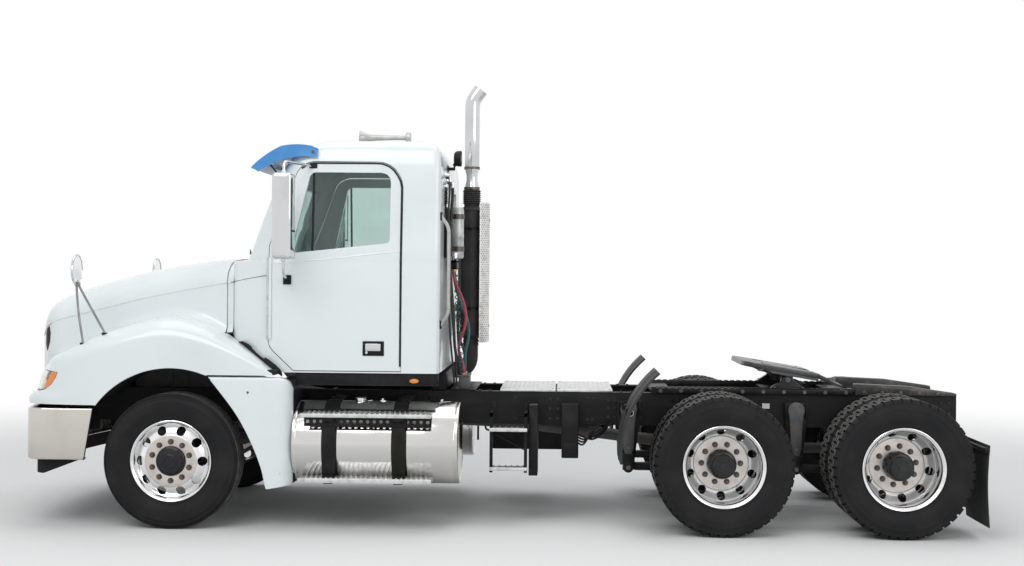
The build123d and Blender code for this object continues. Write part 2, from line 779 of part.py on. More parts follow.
def tail_wire(section, inset, floor):
    """The fender's tail, between the cab's side and the fender's outer face."""
    s, seam_z, shoulder_z = section
    inner_y = cowl_half_at(s) + SEAM_GAP - (inset and 2 * SEAM_GAP)
    outer_y = FENDER_SECTIONS[-1][1] - inset
    crown_y = (inner_y + outer_y) / 2
    x = at(s)
    seam_z, shoulder_z = seam_z - inset, shoulder_z - inset * 0.7
    bulge = (x, crown_y + 0.74 * (outer_y - crown_y), seam_z - 0.3 * (seam_z - shoulder_z))
    corners = [(x, inner_y, floor), (x, inner_y, seam_z), (x, crown_y, seam_z),
               (x, outer_y, shoulder_z), (x, outer_y, floor)]
    edges = [
        Edge.make_line(corners[0], corners[1]),
        Edge.make_line(corners[1], corners[2]),
        Edge.make_three_point_arc(corners[2], bulge, corners[3]),
        Edge.make_line(corners[3], corners[4]),
        Edge.make_line(corners[4], corners[0]),
    ]
    return Wire(edges)


def moved_section(section, shift):
    return (section[0] + shift, *section[1:])


def hood_form(inset):
    """The hood and both fenders: outer form, or the hollow inside when inset."""
    floor = HOOD_BOTTOM - (60 if inset else 0)
    hood = [hood_wire(section, inset, floor) for section in HOOD_SECTIONS]
    root = FENDER_ROOT_Y - (60 if inset else 0)
    fender = [fender_wire(section, inset, floor, root) for section in FENDER_SECTIONS]
    tail_floor = HOOD_SEAM_Z - (60 if inset else 0)
    tail = [tail_wire(section, inset, tail_floor) for section in TAIL_SECTIONS]
    if inset:
        hood[0] = hood_wire(moved_section(HOOD_SECTIONS[0], inset), inset, floor)
        hood[-1] = hood_wire(moved_section(HOOD_SECTIONS[-1], 40), inset, floor)
        fender[0] = fender_wire(moved_section(FENDER_SECTIONS[0], inset), inset, floor, root)
    upper = loft_through(hood)
    side = loft_through(fender)
    back = loft_through(tail)
    return upper + side + other_side(side) + back + other_side(back)


GRILLE_HALF = 345.0
GRILLE_TOP_HALF = 300.0
GRILLE_BOTTOM = 1000.0
GRILLE_TOP = 1480.0
LAMP_BOTTOM = 985.0
LAMP_TOP = 1165.0
LAMP_IN_Y = 700.0
LAMP_BACK = 235.0


def hood_shell(skin):
    shell = skin
    arch = rod_y(FRONT_AXLE, FRONT_TYRE_R, ARCH_R, -1300, 1300)
    shell = shell - arch
    shell = shell - box(HOOD_REAR - 72, COWL_SIDE + 200, -1300, 1300, 800, HOOD_SEAM_Z)
    grille_hole = [(-GRILLE_HALF, GRILLE_BOTTOM), (GRILLE_HALF, GRILLE_BOTTOM),
                   (GRILLE_TOP_HALF, GRILLE_TOP), (-GRILLE_TOP_HALF, GRILLE_TOP)]
    shell = shell - front_prism(grille_hole, -140, 0)
    lamp_hole = box(-60, LAMP_BACK, LAMP_IN_Y, 1300, LAMP_BOTTOM, LAMP_TOP)
    shell = shell - lamp_hole - other_side(lamp_hole)
    barrel = rod_y(HINGE_STATION, HINGE_Z, HINGE_R, HINGE_Y - HINGE_LEN / 2,
                   HINGE_Y + HINGE_LEN / 2)
    ear = box(HINGE_STATION - 4, HINGE_STATION + 9, HINGE_Y - HINGE_LEN / 2,
              HINGE_Y + HINGE_LEN / 2, HINGE_Z, HOOD_BOTTOM + 12)
    bore = rod_y(HINGE_STATION, HINGE_Z, HINGE_PIN_R + RUNNING, -600, 600)
    lug = barrel + ear - bore
    return shell + lug + other_side(lug)


def fender_liners():
    """Dark inner arches over the front wheels, inside the fenders."""
    outer = rod_y(FRONT_AXLE, FRONT_TYRE_R, ARCH_R + LINER_T, 640, 1180)
    inner = rod_y(FRONT_AXLE, FRONT_TYRE_R, ARCH_R, 600, 1200)
    ring = outer - inner
    ring = ring & box(430, 1370, 500, 1300, 960, 1300)
    ring = ring & hood_form(HOOD_T + FIT)
    return both_sides(ring)


def headlamps(skin):
    block = box(-60, LAMP_BACK - FIT, LAMP_IN_Y + FIT, 1300, LAMP_BOTTOM + FIT,
                LAMP_TOP - FIT)
    return both_sides(skin & block)


def grille():
    """A frame of slats set in the hood's front."""
    face = HOOD_FACE + 6
    outer = [(-GRILLE_HALF + 1, GRILLE_BOTTOM + 1), (GRILLE_HALF - 1, GRILLE_BOTTOM + 1),
             (GRILLE_TOP_HALF - 1, GRILLE_TOP - 1), (-GRILLE_TOP_HALF + 1, GRILLE_TOP - 1)]
    low, high = GRILLE_BOTTOM + GRILLE_RIM, GRILLE_TOP - GRILLE_RIM
    inner = [(-GRILLE_HALF + GRILLE_RIM, low), (GRILLE_HALF - GRILLE_RIM, low),
             (GRILLE_TOP_HALF - GRILLE_RIM, high), (-GRILLE_TOP_HALF + GRILLE_RIM, high)]
    whole = front_prism(outer, face, face + GRILLE_DEPTH)
    frame = whole - front_prism(inner, face - 10, face + 2 * GRILLE_DEPTH)
    slats = []
    for number in range(SLAT_COUNT):
        z = low + (number + 0.5) * (high - low) / SLAT_COUNT
        slats.append(box(face + 8, face + 8 + SLAT_DEPTH, -GRILLE_HALF + 4, GRILLE_HALF - 4,
                         z - SLAT_H / 2, z + SLAT_H / 2))
    return frame + (fused(slats) & whole)


def hood_mirrors(form):
    """Round mirrors on two legs each, standing on the fenders."""
    y, z = HOOD_MIRROR_Y, HOOD_MIRROR_Z
    head = (Pos(at(HOOD_MIRROR_S), y, z) * Rot(0, 90, 0)
            * Cylinder(HOOD_MIRROR_R, HOOD_MIRROR_T))
    leg_s = HOOD_MIRROR_S + 14
    front_leg = tube([(leg_s, y, z - 15), (leg_s + 6, y, 1640), (410, y, 1352)],
                     MIRROR_LEG_R, [300])
    back_leg = tube([(leg_s, y, z - 95), (420, y, 1700), (575, y, 1424)], MIRROR_LEG_R, [120])
    return both_sides(fused([head, front_leg, back_leg]) - form)


# Frame, bumper and what the frame carries


def frame_rails():
    web = box(RAIL_START, RAIL_END, RAIL_Y - RAIL_T, RAIL_Y, RAIL_BOTTOM, RAIL_TOP)
    top = box(RAIL_START, RAIL_END, RAIL_Y - RAIL_W, RAIL_Y, RAIL_TOP - RAIL_T, RAIL_TOP)
    bottom = box(RAIL_START, RAIL_END, RAIL_Y - RAIL_W, RAIL_Y, RAIL_BOTTOM,
                 RAIL_BOTTOM + RAIL_T)
    return both_sides(web + top + bottom)


CROSS_STATIONS = [160, 2960, 3900, 4850, 5778, 6560, 6940]
CROSS_W = 90.0
CROSS_H = 118.0


def crossmembers():
    half = RAIL_Y - RAIL_T
    high = RAIL_TOP - RAIL_T
    return [box(s - CROSS_W / 2, s + CROSS_W / 2, -half, half, high - CROSS_H, high)
            for s in CROSS_STATIONS]


def bumper_plan(inset):
    """Plan of the bumper's face: crowned middle, rounded corners, wrapped ends."""
    end_x = at(BUMPER_END_TOP) - (200 if inset else 0)
    half = BUMPER_HALF - inset
    side_s, corner_y = 150.0 + inset * 0.4, BUMPER_CORNER_Y - inset * 0.4
    corner_s = 0.0 + inset
    crown_s = -BUMPER_CROWN + inset
    mid = (at(corner_s + 38.0 - inset * 0.1), corner_y + 0.66 * (half - corner_y), 0)
    left = [(end_x, half, 0), (at(side_s), half, 0), (at(corner_s), corner_y, 0)]
    right = [(x, -y, 0) for x, y, _ in left]
    mid_right = (mid[0], -mid[1], 0)
    edges = [
        Edge.make_line(left[0], left[1]),
        Edge.make_three_point_arc(left[1], mid, left[2]),
        Edge.make_three_point_arc(left[2], (at(crown_s), 0, 0), right[2]),
        Edge.make_three_point_arc(right[2], mid_right, right[1]),
        Edge.make_line(right[1], right[0]),
        Edge.make_line(right[0], left[0]),
    ]
    return Face(Wire(edges))


def bumper_band(z0, z1, inset, wall):
    outer = extrude(Pos(0, 0, z0) * bumper_plan(inset), amount=z1 - z0, dir=(0, 0, 1))
    inner = extrude(Pos(0, 0, z0) * bumper_plan(inset + wall), amount=z1 - z0, dir=(0, 0, 1))
    return outer - inner


def bumper():
    """Bright band with a shelf and an air dam below, rail brackets and the hood's hinges."""
    band = bumper_band(BUMPER_BOTTOM, BUMPER_TOP, 0, BUMPER_T)
    slope = [(BUMPER_END_BOTTOM, BUMPER_BOTTOM - 5), (BUMPER_END_TOP + 4, BUMPER_TOP + 5),
             (BUMPER_END_TOP + 200, BUMPER_TOP + 5), (BUMPER_END_TOP + 200, BUMPER_BOTTOM - 5)]
    band = band - side_prism(slope, -OUTSIDE_Y, OUTSIDE_Y)
    dam = bumper_band(AIR_DAM_BOTTOM, BUMPER_BOTTOM, AIR_DAM_INSET, AIR_DAM_T)
    rise = [(AIR_DAM_FRONT, AIR_DAM_BOTTOM - 5), (AIR_DAM_FRONT, AIR_DAM_BOTTOM),
            (AIR_DAM_REAR, BUMPER_BOTTOM), (BUMPER_END_TOP + 400, BUMPER_BOTTOM),
            (BUMPER_END_TOP + 400, AIR_DAM_BOTTOM - 5)]
    dam = dam - side_prism(rise, -OUTSIDE_Y, OUTSIDE_Y)
    shelf = bumper_band(BUMPER_BOTTOM, BUMPER_BOTTOM + SHELF_T, SHELF_INSET, SHELF_DEPTH)
    shelf = shelf - box(AIR_DAM_REAR, BUMPER_END_TOP + 400, -OUTSIDE_Y, OUTSIDE_Y,
                        BUMPER_BOTTOM - 5, BUMPER_BOTTOM + SHELF_T + 5)
    bracket = box(BUMPER_BRACKET_FRONT, RAIL_START, RAIL_Y - RAIL_W, RAIL_Y, RAIL_BOTTOM,
                  BUMPER_TOP - 20)
    side = HINGE_LEN + 4
    posts = []
    for offset_y in (-side, side):
        y = HINGE_Y + offset_y
        barrel = rod_y(HINGE_STATION, HINGE_Z, HINGE_R, y - HINGE_LEN / 2, y + HINGE_LEN / 2)
        foot = box(HINGE_STATION - 9, HINGE_STATION + 9, y - HINGE_LEN / 2,
                   y + HINGE_LEN / 2, BUMPER_TOP - 10, HINGE_Z)
        posts.append(barrel + foot)
    pin = rod_y(HINGE_STATION, HINGE_Z, HINGE_PIN_R, HINGE_Y - side, HINGE_Y + side)
    hinge = fused(posts) + pin
    whole = band + dam + shelf + bracket + other_side(bracket)
    return whole + hinge + other_side(hinge)


def engine():
    """Engine, gearbox and radiator as plain blocks at their real places."""
    block = box(ENGINE_FRONT, ENGINE_REAR, -ENGINE_HALF, ENGINE_HALF, ENGINE_BOTTOM, ENGINE_TOP)
    pan = box(PAN_FRONT, PAN_REAR, -PAN_HALF, PAN_HALF, ENGINE_BOTTOM - PAN_DEPTH, ENGINE_BOTTOM)
    gearbox = box(ENGINE_REAR, GEARBOX_REAR, -GEARBOX_HALF, GEARBOX_HALF, GEARBOX_BOTTOM,
                  GEARBOX_TOP)
    radiator = box(RADIATOR_FRONT, RADIATOR_REAR, -RADIATOR_HALF, RADIATOR_HALF,
                   RADIATOR_BOTTOM, RADIATOR_TOP)
    mount = box(RADIATOR_FRONT - 20, RADIATOR_REAR + 20, -RADIATOR_HALF + 90,
                RADIATOR_HALF - 90, RAIL_TOP - RAIL_T, RADIATOR_BOTTOM)
    inside = RAIL_Y - RAIL_T
    feet = [box(s, s + ENGINE_FOOT_L, -inside, inside, ENGINE_FOOT_BOTTOM,
                ENGINE_FOOT_BOTTOM + ENGINE_FOOT_H) for s in ENGINE_FEET]
    return [fused([block, pan, gearbox] + feet), radiator + mount]


SPRING_Y = RAIL_Y - RAIL_W / 2


def front_axle():
    """Beam with kingpins, and the leaf springs that it hangs from."""
    hub = FRONT_TYRE_R
    low, high = hub - AXLE_BEAM_DROP, hub - AXLE_BEAM_DROP + AXLE_BEAM_H
    beam = box(FRONT_AXLE - AXLE_BEAM_W / 2, FRONT_AXLE + AXLE_BEAM_W / 2, -AXLE_BEAM_HALF,
               AXLE_BEAM_HALF, low, high)
    root = AXLE_BEAM_HALF - 30
    rise = [(root, low), (KINGPIN_Y - 60, hub - 50), (KINGPIN_Y, hub - 50),
            (KINGPIN_Y, hub + 40), (root, high)]
    arms = both_sides(front_prism(rise, FRONT_AXLE - 40, FRONT_AXLE + 40))
    boss = rod_z(FRONT_AXLE, KINGPIN_Y, BEAM_BOSS_R, hub - BEAM_BOSS_H / 2,
                 hub + BEAM_BOSS_H / 2)
    pin = rod_z(FRONT_AXLE, KINGPIN_Y, KINGPIN_R, hub - BEAM_BOSS_H / 2 - EAR_H,
                hub + BEAM_BOSS_H / 2 + EAR_H)
    ahead, behind = FRONT_AXLE - LEAF_HALF, FRONT_AXLE + LEAF_HALF
    y0, y1 = SPRING_Y - SPRING_W / 2, SPRING_Y + SPRING_W / 2
    leaf = [(ahead, LEAF_END_Z), (FRONT_AXLE, LEAF_MIDDLE_Z), (behind, LEAF_END_Z),
            (behind, LEAF_END_Z - LEAF_T), (FRONT_AXLE, LEAF_MIDDLE_Z - LEAF_T),
            (ahead, LEAF_END_Z - LEAF_T)]
    spring = side_prism(leaf, y0, y1)
    seat = box(FRONT_AXLE - SPRING_SEAT / 2, FRONT_AXLE + SPRING_SEAT / 2, y0, y1, high - 10,
               LEAF_MIDDLE_Z + 20)
    hangers = []
    for s in (ahead + 20, behind - 20):
        hangers.append(box(s - SPRING_HANGER / 2, s + SPRING_HANGER / 2, y0, y1,
                           LEAF_END_Z - 60, RAIL_BOTTOM))
    carried = fused([spring, seat] + hangers)
    pins = fused([boss, pin])
    return fused([beam] + arms + [pins, other_side(pins), carried, other_side(carried)])


def knuckle_left():
    """Steering knuckle: two ears on the kingpin, the wheel spindle and the steering arm."""
    hub = FRONT_TYRE_R
    gap = 1.0
    low = hub - BEAM_BOSS_H / 2 - gap
    high = hub + BEAM_BOSS_H / 2 + gap
    upper = rod_z(FRONT_AXLE, KINGPIN_Y, 42, high, high + EAR_H)
    lower = rod_z(FRONT_AXLE, KINGPIN_Y, 42, low - EAR_H, low)
    web = box(FRONT_AXLE - 42, FRONT_AXLE + 42, KINGPIN_Y + BEAM_BOSS_R + 3,
              KINGPIN_Y + BEAM_BOSS_R + 25, low - EAR_H, high + EAR_H)
    bridge_up = box(FRONT_AXLE - 42, FRONT_AXLE + 42, KINGPIN_Y, KINGPIN_Y + BEAM_BOSS_R + 10,
                    high, high + EAR_H)
    bridge_low = box(FRONT_AXLE - 42, FRONT_AXLE + 42, KINGPIN_Y,
                     KINGPIN_Y + BEAM_BOSS_R + 10, low - EAR_H, low)
    spindle = rod_y(FRONT_AXLE, hub, SPINDLE_R, KINGPIN_Y + BEAM_BOSS_R + 10,
                    FRONT_TRACK_Y + 60)
    arm = box(FRONT_AXLE, FRONT_AXLE + STEER_ARM + 20, KINGPIN_Y - 16, KINGPIN_Y + 16,
              low - EAR_H, low - EAR_H + 22)
    body = fused([upper, lower, web, bridge_up, bridge_low, spindle, arm])
    body = body - rod_z(FRONT_AXLE, KINGPIN_Y, KINGPIN_R + RUNNING, hub - 200, hub + 200)
    pin = rod_z(FRONT_AXLE + STEER_ARM, KINGPIN_Y, TIE_PIN_R, low - EAR_H - 40,
                low - EAR_H + 10)
    return body + pin


def tie_rod():
    """Rod between the steering arms, with an eye at each end."""
    hub = FRONT_TYRE_R
    z = hub - BEAM_BOSS_H / 2 - 1.0 - EAR_H - 21.0
    station = FRONT_AXLE + STEER_ARM
    rod = rod_y(station, z, TIE_ROD_R, -KINGPIN_Y, KINGPIN_Y)
    for side in (-1, 1):
        rod = rod + rod_z(station, side * KINGPIN_Y, 26, z - 18, z + 18)
    rod = rod - rod_z(station, KINGPIN_Y, TIE_PIN_R + RUNNING, z - 60, z + 60)
    rod = rod - rod_z(station, -KINGPIN_Y, TIE_PIN_R + 1.0, z - 60, z + 60)
    return rod


# Wheels


def tyre(station, y, z, radius):
    """Tyre with flat tread, sloped shoulders and bulged sidewalls."""
    half, tread = TYRE_W / 2, TREAD_W / 2
    bead = RIM_W / 2 - RIM_LIP_W - FIT
    bulge_r = (radius + RIM_LIP_R) / 2 - 8
    lip_r = RIM_LIP_R + FIT
    profile = [(RIM_SEAT_R + FIT, -bead), (lip_r, -bead), (bulge_r, -half),
               (radius - SHOULDER_DROP, -half + 12), (radius, -tread), (radius, tread),
               (radius - SHOULDER_DROP, half - 12), (bulge_r, half),
               (lip_r, bead), (RIM_SEAT_R + FIT, bead)]
    return wheel_ring(station, y, z, profile)


def barrel_profile(side):
    """Rim barrel with a lip at each edge; side 1 has the disc outboard."""
    half = RIM_W / 2
    inner = RIM_SEAT_R - RIM_WALL
    return [(inner, -half * side), (RIM_LIP_R, -half * side),
            (RIM_LIP_R, -(half - RIM_LIP_W) * side), (RIM_SEAT_R, -(half - RIM_LIP_W) * side),
            (RIM_SEAT_R, (half - RIM_LIP_W) * side), (RIM_LIP_R, (half - RIM_LIP_W) * side),
            (RIM_LIP_R, half * side), (inner, half * side)]


def disc_with_holes(station, y, z, rim_edge, face, inward):
    """Wheel disc, dished from the rim to its bolting face, with hand holes and nuts."""
    inner = RIM_SEAT_R - RIM_WALL + 2
    back = face - DISC_T * inward
    edge_back = rim_edge - DISC_T * inward
    profile = [(inner, rim_edge), (FLANGE_R, face), (60, face), (60, back),
               (FLANGE_R, back), (inner, edge_back)]
    disc = wheel_ring(station, y, z, profile)
    low, high = sorted((rim_edge, face))
    for number in range(NUT_COUNT):
        angle = 2 * math.pi * (number + 0.5) / NUT_COUNT
        s = station + HAND_HOLE_CIRCLE_R * math.cos(angle)
        height = z + HAND_HOLE_CIRCLE_R * math.sin(angle)
        disc = disc - rod_y(s, height, HAND_HOLE_R, y + low - 60, y + high + 60)
    return disc


def nuts(station, y, z, face, outward):
    """Ring of wheel nuts that stand on the bolting face."""
    found = []
    for number in range(NUT_COUNT):
        angle = 2 * math.pi * number / NUT_COUNT
        s = station + NUT_CIRCLE_R * math.cos(angle)
        height = z + NUT_CIRCLE_R * math.sin(angle)
        ends = sorted((y + face - 2 * outward, y + face + NUT_H * outward))
        found.append(rod_y(s, height, NUT_R, ends[0], ends[1]))
    return found


def front_wheel(side):
    """Front wheel: the disc bulges outboard, with the hub at its middle."""
    y = side * FRONT_TRACK_Y
    z = FRONT_TYRE_R
    barrel = wheel_ring(FRONT_AXLE, y, z, barrel_profile(side))
    disc = disc_with_holes(FRONT_AXLE, y, z, side * 62, side * 100, side)
    hub_in = side * (KINGPIN_Y + BEAM_BOSS_R + 30) - y
    hub_out = side * 148
    ends = sorted((y + hub_in, y + hub_out))
    hub = rod_y(FRONT_AXLE, z, HUB_R, ends[0], ends[1])
    bore_ends = sorted((y + hub_in - side * 5, y + side * 70))
    bore = rod_y(FRONT_AXLE, z, SPINDLE_R + RUNNING, bore_ends[0], bore_ends[1])
    wheel = fused([barrel, disc, hub] + nuts(FRONT_AXLE, y, z, side * 100, side))
    return wheel - bore


def rear_wheel(side, station):
    """Twin wheels: two rims whose discs meet, on one hub."""
    z = REAR_TYRE_R
    outer_y = side * DUAL_OUTER_Y
    inner_y = side * (DUAL_OUTER_Y - DUAL_SPACING)
    outer = wheel_ring(station, outer_y, z, barrel_profile(side))
    inner = wheel_ring(station, inner_y, z, barrel_profile(side))
    meeting = side * (DUAL_OUTER_Y - DUAL_SPACING / 2)
    outer_disc = disc_with_holes(station, meeting, z, side * 92, side * (DISC_T - 1), side)
    inner_disc = disc_with_holes(station, meeting, z, side * -92, side * -(DISC_T - 1), -side)
    ends = sorted((side * 640, side * 1140))
    hub = rod_y(station, z, HUB_R, ends[0], ends[1])
    bore_ends = sorted((side * 630, side * 1085))
    bore = rod_y(station, z, AXLE_SPINDLE_R + RUNNING, bore_ends[0], bore_ends[1])
    ring = nuts(station, meeting, z, side * (DISC_T - 1), side)
    return fused([outer, inner, outer_disc, inner_disc, hub] + ring) - bore


def rear_axles():
    """Both driven axles with their spindles, and the shafts that turn them."""
    z = REAR_TYRE_R
    pieces = []
    for station in (REAR_AXLE_1, REAR_AXLE_2):
        axle = rod_y(station, z, AXLE_TUBE_R, -AXLE_TUBE_HALF, AXLE_TUBE_HALF)
        axle = axle + rod_y(station, z, AXLE_SPINDLE_R, -AXLE_SPINDLE_HALF, AXLE_SPINDLE_HALF)
        axle = axle + rod_x(0, z + DIFF_RISE, DIFF_R, station - DIFF_HALF, station + DIFF_HALF)
        axle = axle + rod_x(0, z + NECK_RISE, NECK_R, station - NECK_LENGTH, station + 60)
        pieces.append(axle)
    shaft = tube([(GEARBOX_REAR + 4, 0, 760), (3500, 0, 700),
                  (REAR_AXLE_1 - NECK_LENGTH - 4, 0, z + NECK_RISE + 6)], SHAFT_R, [4000])
    return pieces + [shaft]


def rear_suspension():
    """On each side and axle: hanger, trailing arm under the axle, and air spring."""
    pieces = []
    y0, y1 = RAIL_Y + 4 - ARM_W, RAIL_Y + 4
    z = REAR_TYRE_R
    for station in (REAR_AXLE_1, REAR_AXLE_2):
        pivot = station - TRAIL
        hanger = side_prism([(pivot - HANGER_TOP / 2, RAIL_TOP - 60),
                             (pivot + HANGER_TOP / 2, RAIL_TOP - 60),
                             (pivot + HANGER_FOOT / 2, HANGER_FOOT_Z),
                             (pivot - HANGER_FOOT / 2, HANGER_FOOT_Z)], RAIL_Y, RAIL_Y + HANGER_W)
        foot = box(pivot - HANGER_FOOT / 2, pivot + HANGER_FOOT / 2, y0, RAIL_Y + HANGER_W,
                   HANGER_FOOT_Z, HANGER_FOOT_Z + 90)
        arm = box(pivot, station + BAG_BACK + 100, y0, y1, z - ARM_DROP, z - ARM_DROP + ARM_H)
        lift = box(pivot - 40, pivot + 40, y0, y1, z - ARM_DROP, HANGER_FOOT_Z + 20)
        seat = box(station - 80, station + 80, y0, y1, z - 90, z + 60)
        seat = seat - rod_y(station, z, AXLE_TUBE_R + FIT, 200, 700)
        bag = rod_z(station + BAG_BACK, (y0 + y1) / 2, BAG_R, z - ARM_DROP + ARM_H - 2,
                    RAIL_BOTTOM)
        group = fused([hanger, foot, arm, lift, seat, bag])
        pieces.extend(both_sides(group))
    return pieces


# Tanks, steps and boxes along the frame


def fuel_tanks():
    tank = rod_x(TANK_Y, TANK_Z, TANK_R, TANK_FRONT, TANK_REAR)
    cap = rod_z(CAP_STATION, TANK_Y, CAP_R, TANK_Z + TANK_R - 12, TANK_Z + TANK_R + CAP_RISE)
    return both_sides(tank + cap)


def tank_steps():
    """Straps that hold a tank to the frame, with an upper and a lower step on them."""
    pieces = []
    for s in STRAP_STATIONS:
        front, back = s - STRAP_W / 2, s + STRAP_W / 2
        ring = rod_x(TANK_Y, TANK_Z, TANK_R + FIT + STRAP_T, front, back)
        bracket = box(front, back, RAIL_Y, TANK_Y - 150, TANK_Z - STEP_BOX_REACH, RAIL_TOP - 30)
        upper = box(front, back, TANK_Y + STEP_BOX_IN, STEP_OUT_Y, UPPER_STEP_Z - 42,
                    UPPER_STEP_Z + 2)
        lower = box(front, back, TANK_Y + STEP_BOX_IN, STEP_OUT_Y,
                    LOWER_STEP_Z + LOWER_STEP_T - 2, TANK_Z - STEP_BOX_REACH)
        whole = fused([ring, bracket, upper, lower])
        pieces.append(whole - rod_x(TANK_Y, TANK_Z, TANK_R + FIT, front - 5, back + 5))
    step_in = TANK_Y + STEP_IN
    pieces.append(box(STEP_FRONT, STEP_REAR, step_in, STEP_OUT_Y, UPPER_STEP_Z,
                      UPPER_STEP_Z + UPPER_STEP_T))
    pieces.append(box(STEP_FRONT - 14, STEP_REAR + 6, step_in, STEP_OUT_Y, LOWER_STEP_Z,
                      LOWER_STEP_Z + LOWER_STEP_T))
    side = fused(pieces)
    side = side - rod_x(TANK_Y, TANK_Z, TANK_R + FIT, TANK_FRONT, TANK_REAR)
    return both_sides(side)


SPLASH_OUTLINE = [
    (1376, SPLASH_TOP), (SPLASH_ROOF_REAR, SPLASH_TOP), (1955, 1100),
    (SPLASH_REAR, SPLASH_BACK_TOP), (SPLASH_REAR, 336), (1812, 306), (1776, 458), (1704, 640),
    (1592, 848), (1412, 1084),
]


def splash_panels():
    """White panels behind the front wheels, with a rear return and a stay to the frame."""
    y0, y1, inner = SPLASH_IN_Y, SPLASH_OUT_Y, SPLASH_REAR - SPLASH_T
    outer = side_prism(SPLASH_OUTLINE, y1 - SPLASH_T, y1)
    back = box(inner, SPLASH_REAR, y0, y1, SPLASH_BACK_BOTTOM, SPLASH_BACK_TOP)
    roof = box(SPLASH_ROOF_FRONT, SPLASH_ROOF_REAR, y0, y1, SPLASH_TOP - SPLASH_T, SPLASH_TOP)
    corner = side_prism([(SPLASH_ROOF_REAR, SPLASH_TOP), (1955, 1100),
                         (SPLASH_REAR, SPLASH_BACK_TOP), (inner, SPLASH_BACK_TOP), (1946, 1090),
                         (SPLASH_ROOF_REAR, SPLASH_TOP - SPLASH_T)], y0, y1)
    stay = box(SPLASH_REAR - STAY_DEPTH, SPLASH_REAR, RAIL_Y, y0 + 10, STAY_BOTTOM, STAY_TOP)
    tie = box(SPLASH_REAR - STAY_DEPTH, SPLASH_REAR, y0 - 4, y0 + 16, STAY_BOTTOM,
              STAY_TOP + 60)
    panel = fused([outer, back, roof, corner, stay, tie])
    panel = panel - rod_x(TANK_Y, TANK_Z, TANK_R + 6, TANK_FRONT - 6, TANK_REAR)
    return both_sides(panel)


def deck_plates():
    """Two bright tread plates across the frame behind the cab."""
    width = RAIL_Y + DECK_OVER
    return [box(CAB_REAR + start, CAB_REAR + start + DECK_L, -width, width, RAIL_TOP,
                RAIL_TOP + DECK_T) for start in DECK_STARTS]


def side_steps():
    """Ladder step, boxes and air tank along the frame behind the fuel tanks."""
    y, half = LADDER_Y, LADDER_LEG / 2
    legs = [box(s - half, s + half, y - half, y + half, LADDER_BOTTOM, RAIL_BOTTOM + 120)
            for s in LADDER_LEGS]
    treads = [box(LADDER_LEGS[0] - half, LADDER_LEGS[1] + half, y - LADDER_TREAD_IN,
                  y + LADDER_TREAD_OUT, z - LADDER_TREAD_T / 2, z + LADDER_TREAD_T / 2)
              for z in LADDER_TREADS]
    stays = [box(s - half, s + half, RAIL_Y, y + half, LADDER_STAY_Z,
                 LADDER_STAY_Z + LADDER_STAY_H) for s in LADDER_LEGS]
    pieces = [fused(legs + treads + stays)]
    pieces += [box(*sides) for sides in SIDE_BOXES]
    air_tank = rod_x(AIR_TANK_Y, AIR_TANK_Z, AIR_TANK_R, AIR_TANK_FRONT, AIR_TANK_REAR)
    middle = (AIR_TANK_FRONT + AIR_TANK_REAR) / 2
    air_stay = box(middle - AIR_STAY_W / 2, middle + AIR_STAY_W / 2, AIR_TANK_Y, -RAIL_Y,
                   AIR_TANK_Z - 20, AIR_TANK_Z + 160)
    pieces.append(air_tank + air_stay)
    return pieces


def quarter_fenders():
    """Curved guards ahead of the first rear wheels, each on a post from the axle's hanger."""
    front_points = [(at(s), 0, z) for s, z in QUARTER_LINE]
    back_points = [(at(s + QUARTER_T), 0, z) for s, z in QUARTER_LINE]
    front = ThreePointArc(*front_points)
    back = ThreePointArc(*reversed(back_points))
    low = Line(front_points[-1], back_points[-1])
    high = Line(back_points[0], front_points[0])
    face = Face(Wire([front, low, back, high]))
    length = QUARTER_OUT_Y - QUARTER_IN_Y
    guard = Pos(0, QUARTER_IN_Y, 0) * extrude(face, amount=length, dir=(0, 1, 0))
    post = rod_y(POST_STATION, POST_Z, POST_R, RAIL_Y + HANGER_W + FIT,
                 QUARTER_OUT_Y - POST_SHORT)
    return both_sides(guard + post)


def mud_flaps():
    """Rubber flaps behind the last wheels, each on a bar from the frame's end."""
    flap = box(REAR_END - FLAP_T, REAR_END, FLAP_IN_Y, FLAP_OUT_Y, FLAP_BOTTOM, FLAP_TOP)
    bar_s = REAR_END - FLAP_T - HANGER_R + 2
    bar = rod_y(bar_s, HANGER_Z, HANGER_R, RAIL_Y + 10, FLAP_OUT_Y)
    bracket = box(RAIL_END - FLAP_BRACKET_L, bar_s + HANGER_R, RAIL_Y, RAIL_Y + FLAP_BRACKET_W,
                  HANGER_Z - HANGER_R, FLAP_BRACKET_TOP)
    return both_sides(flap + bar + bracket)


# Fifth wheel


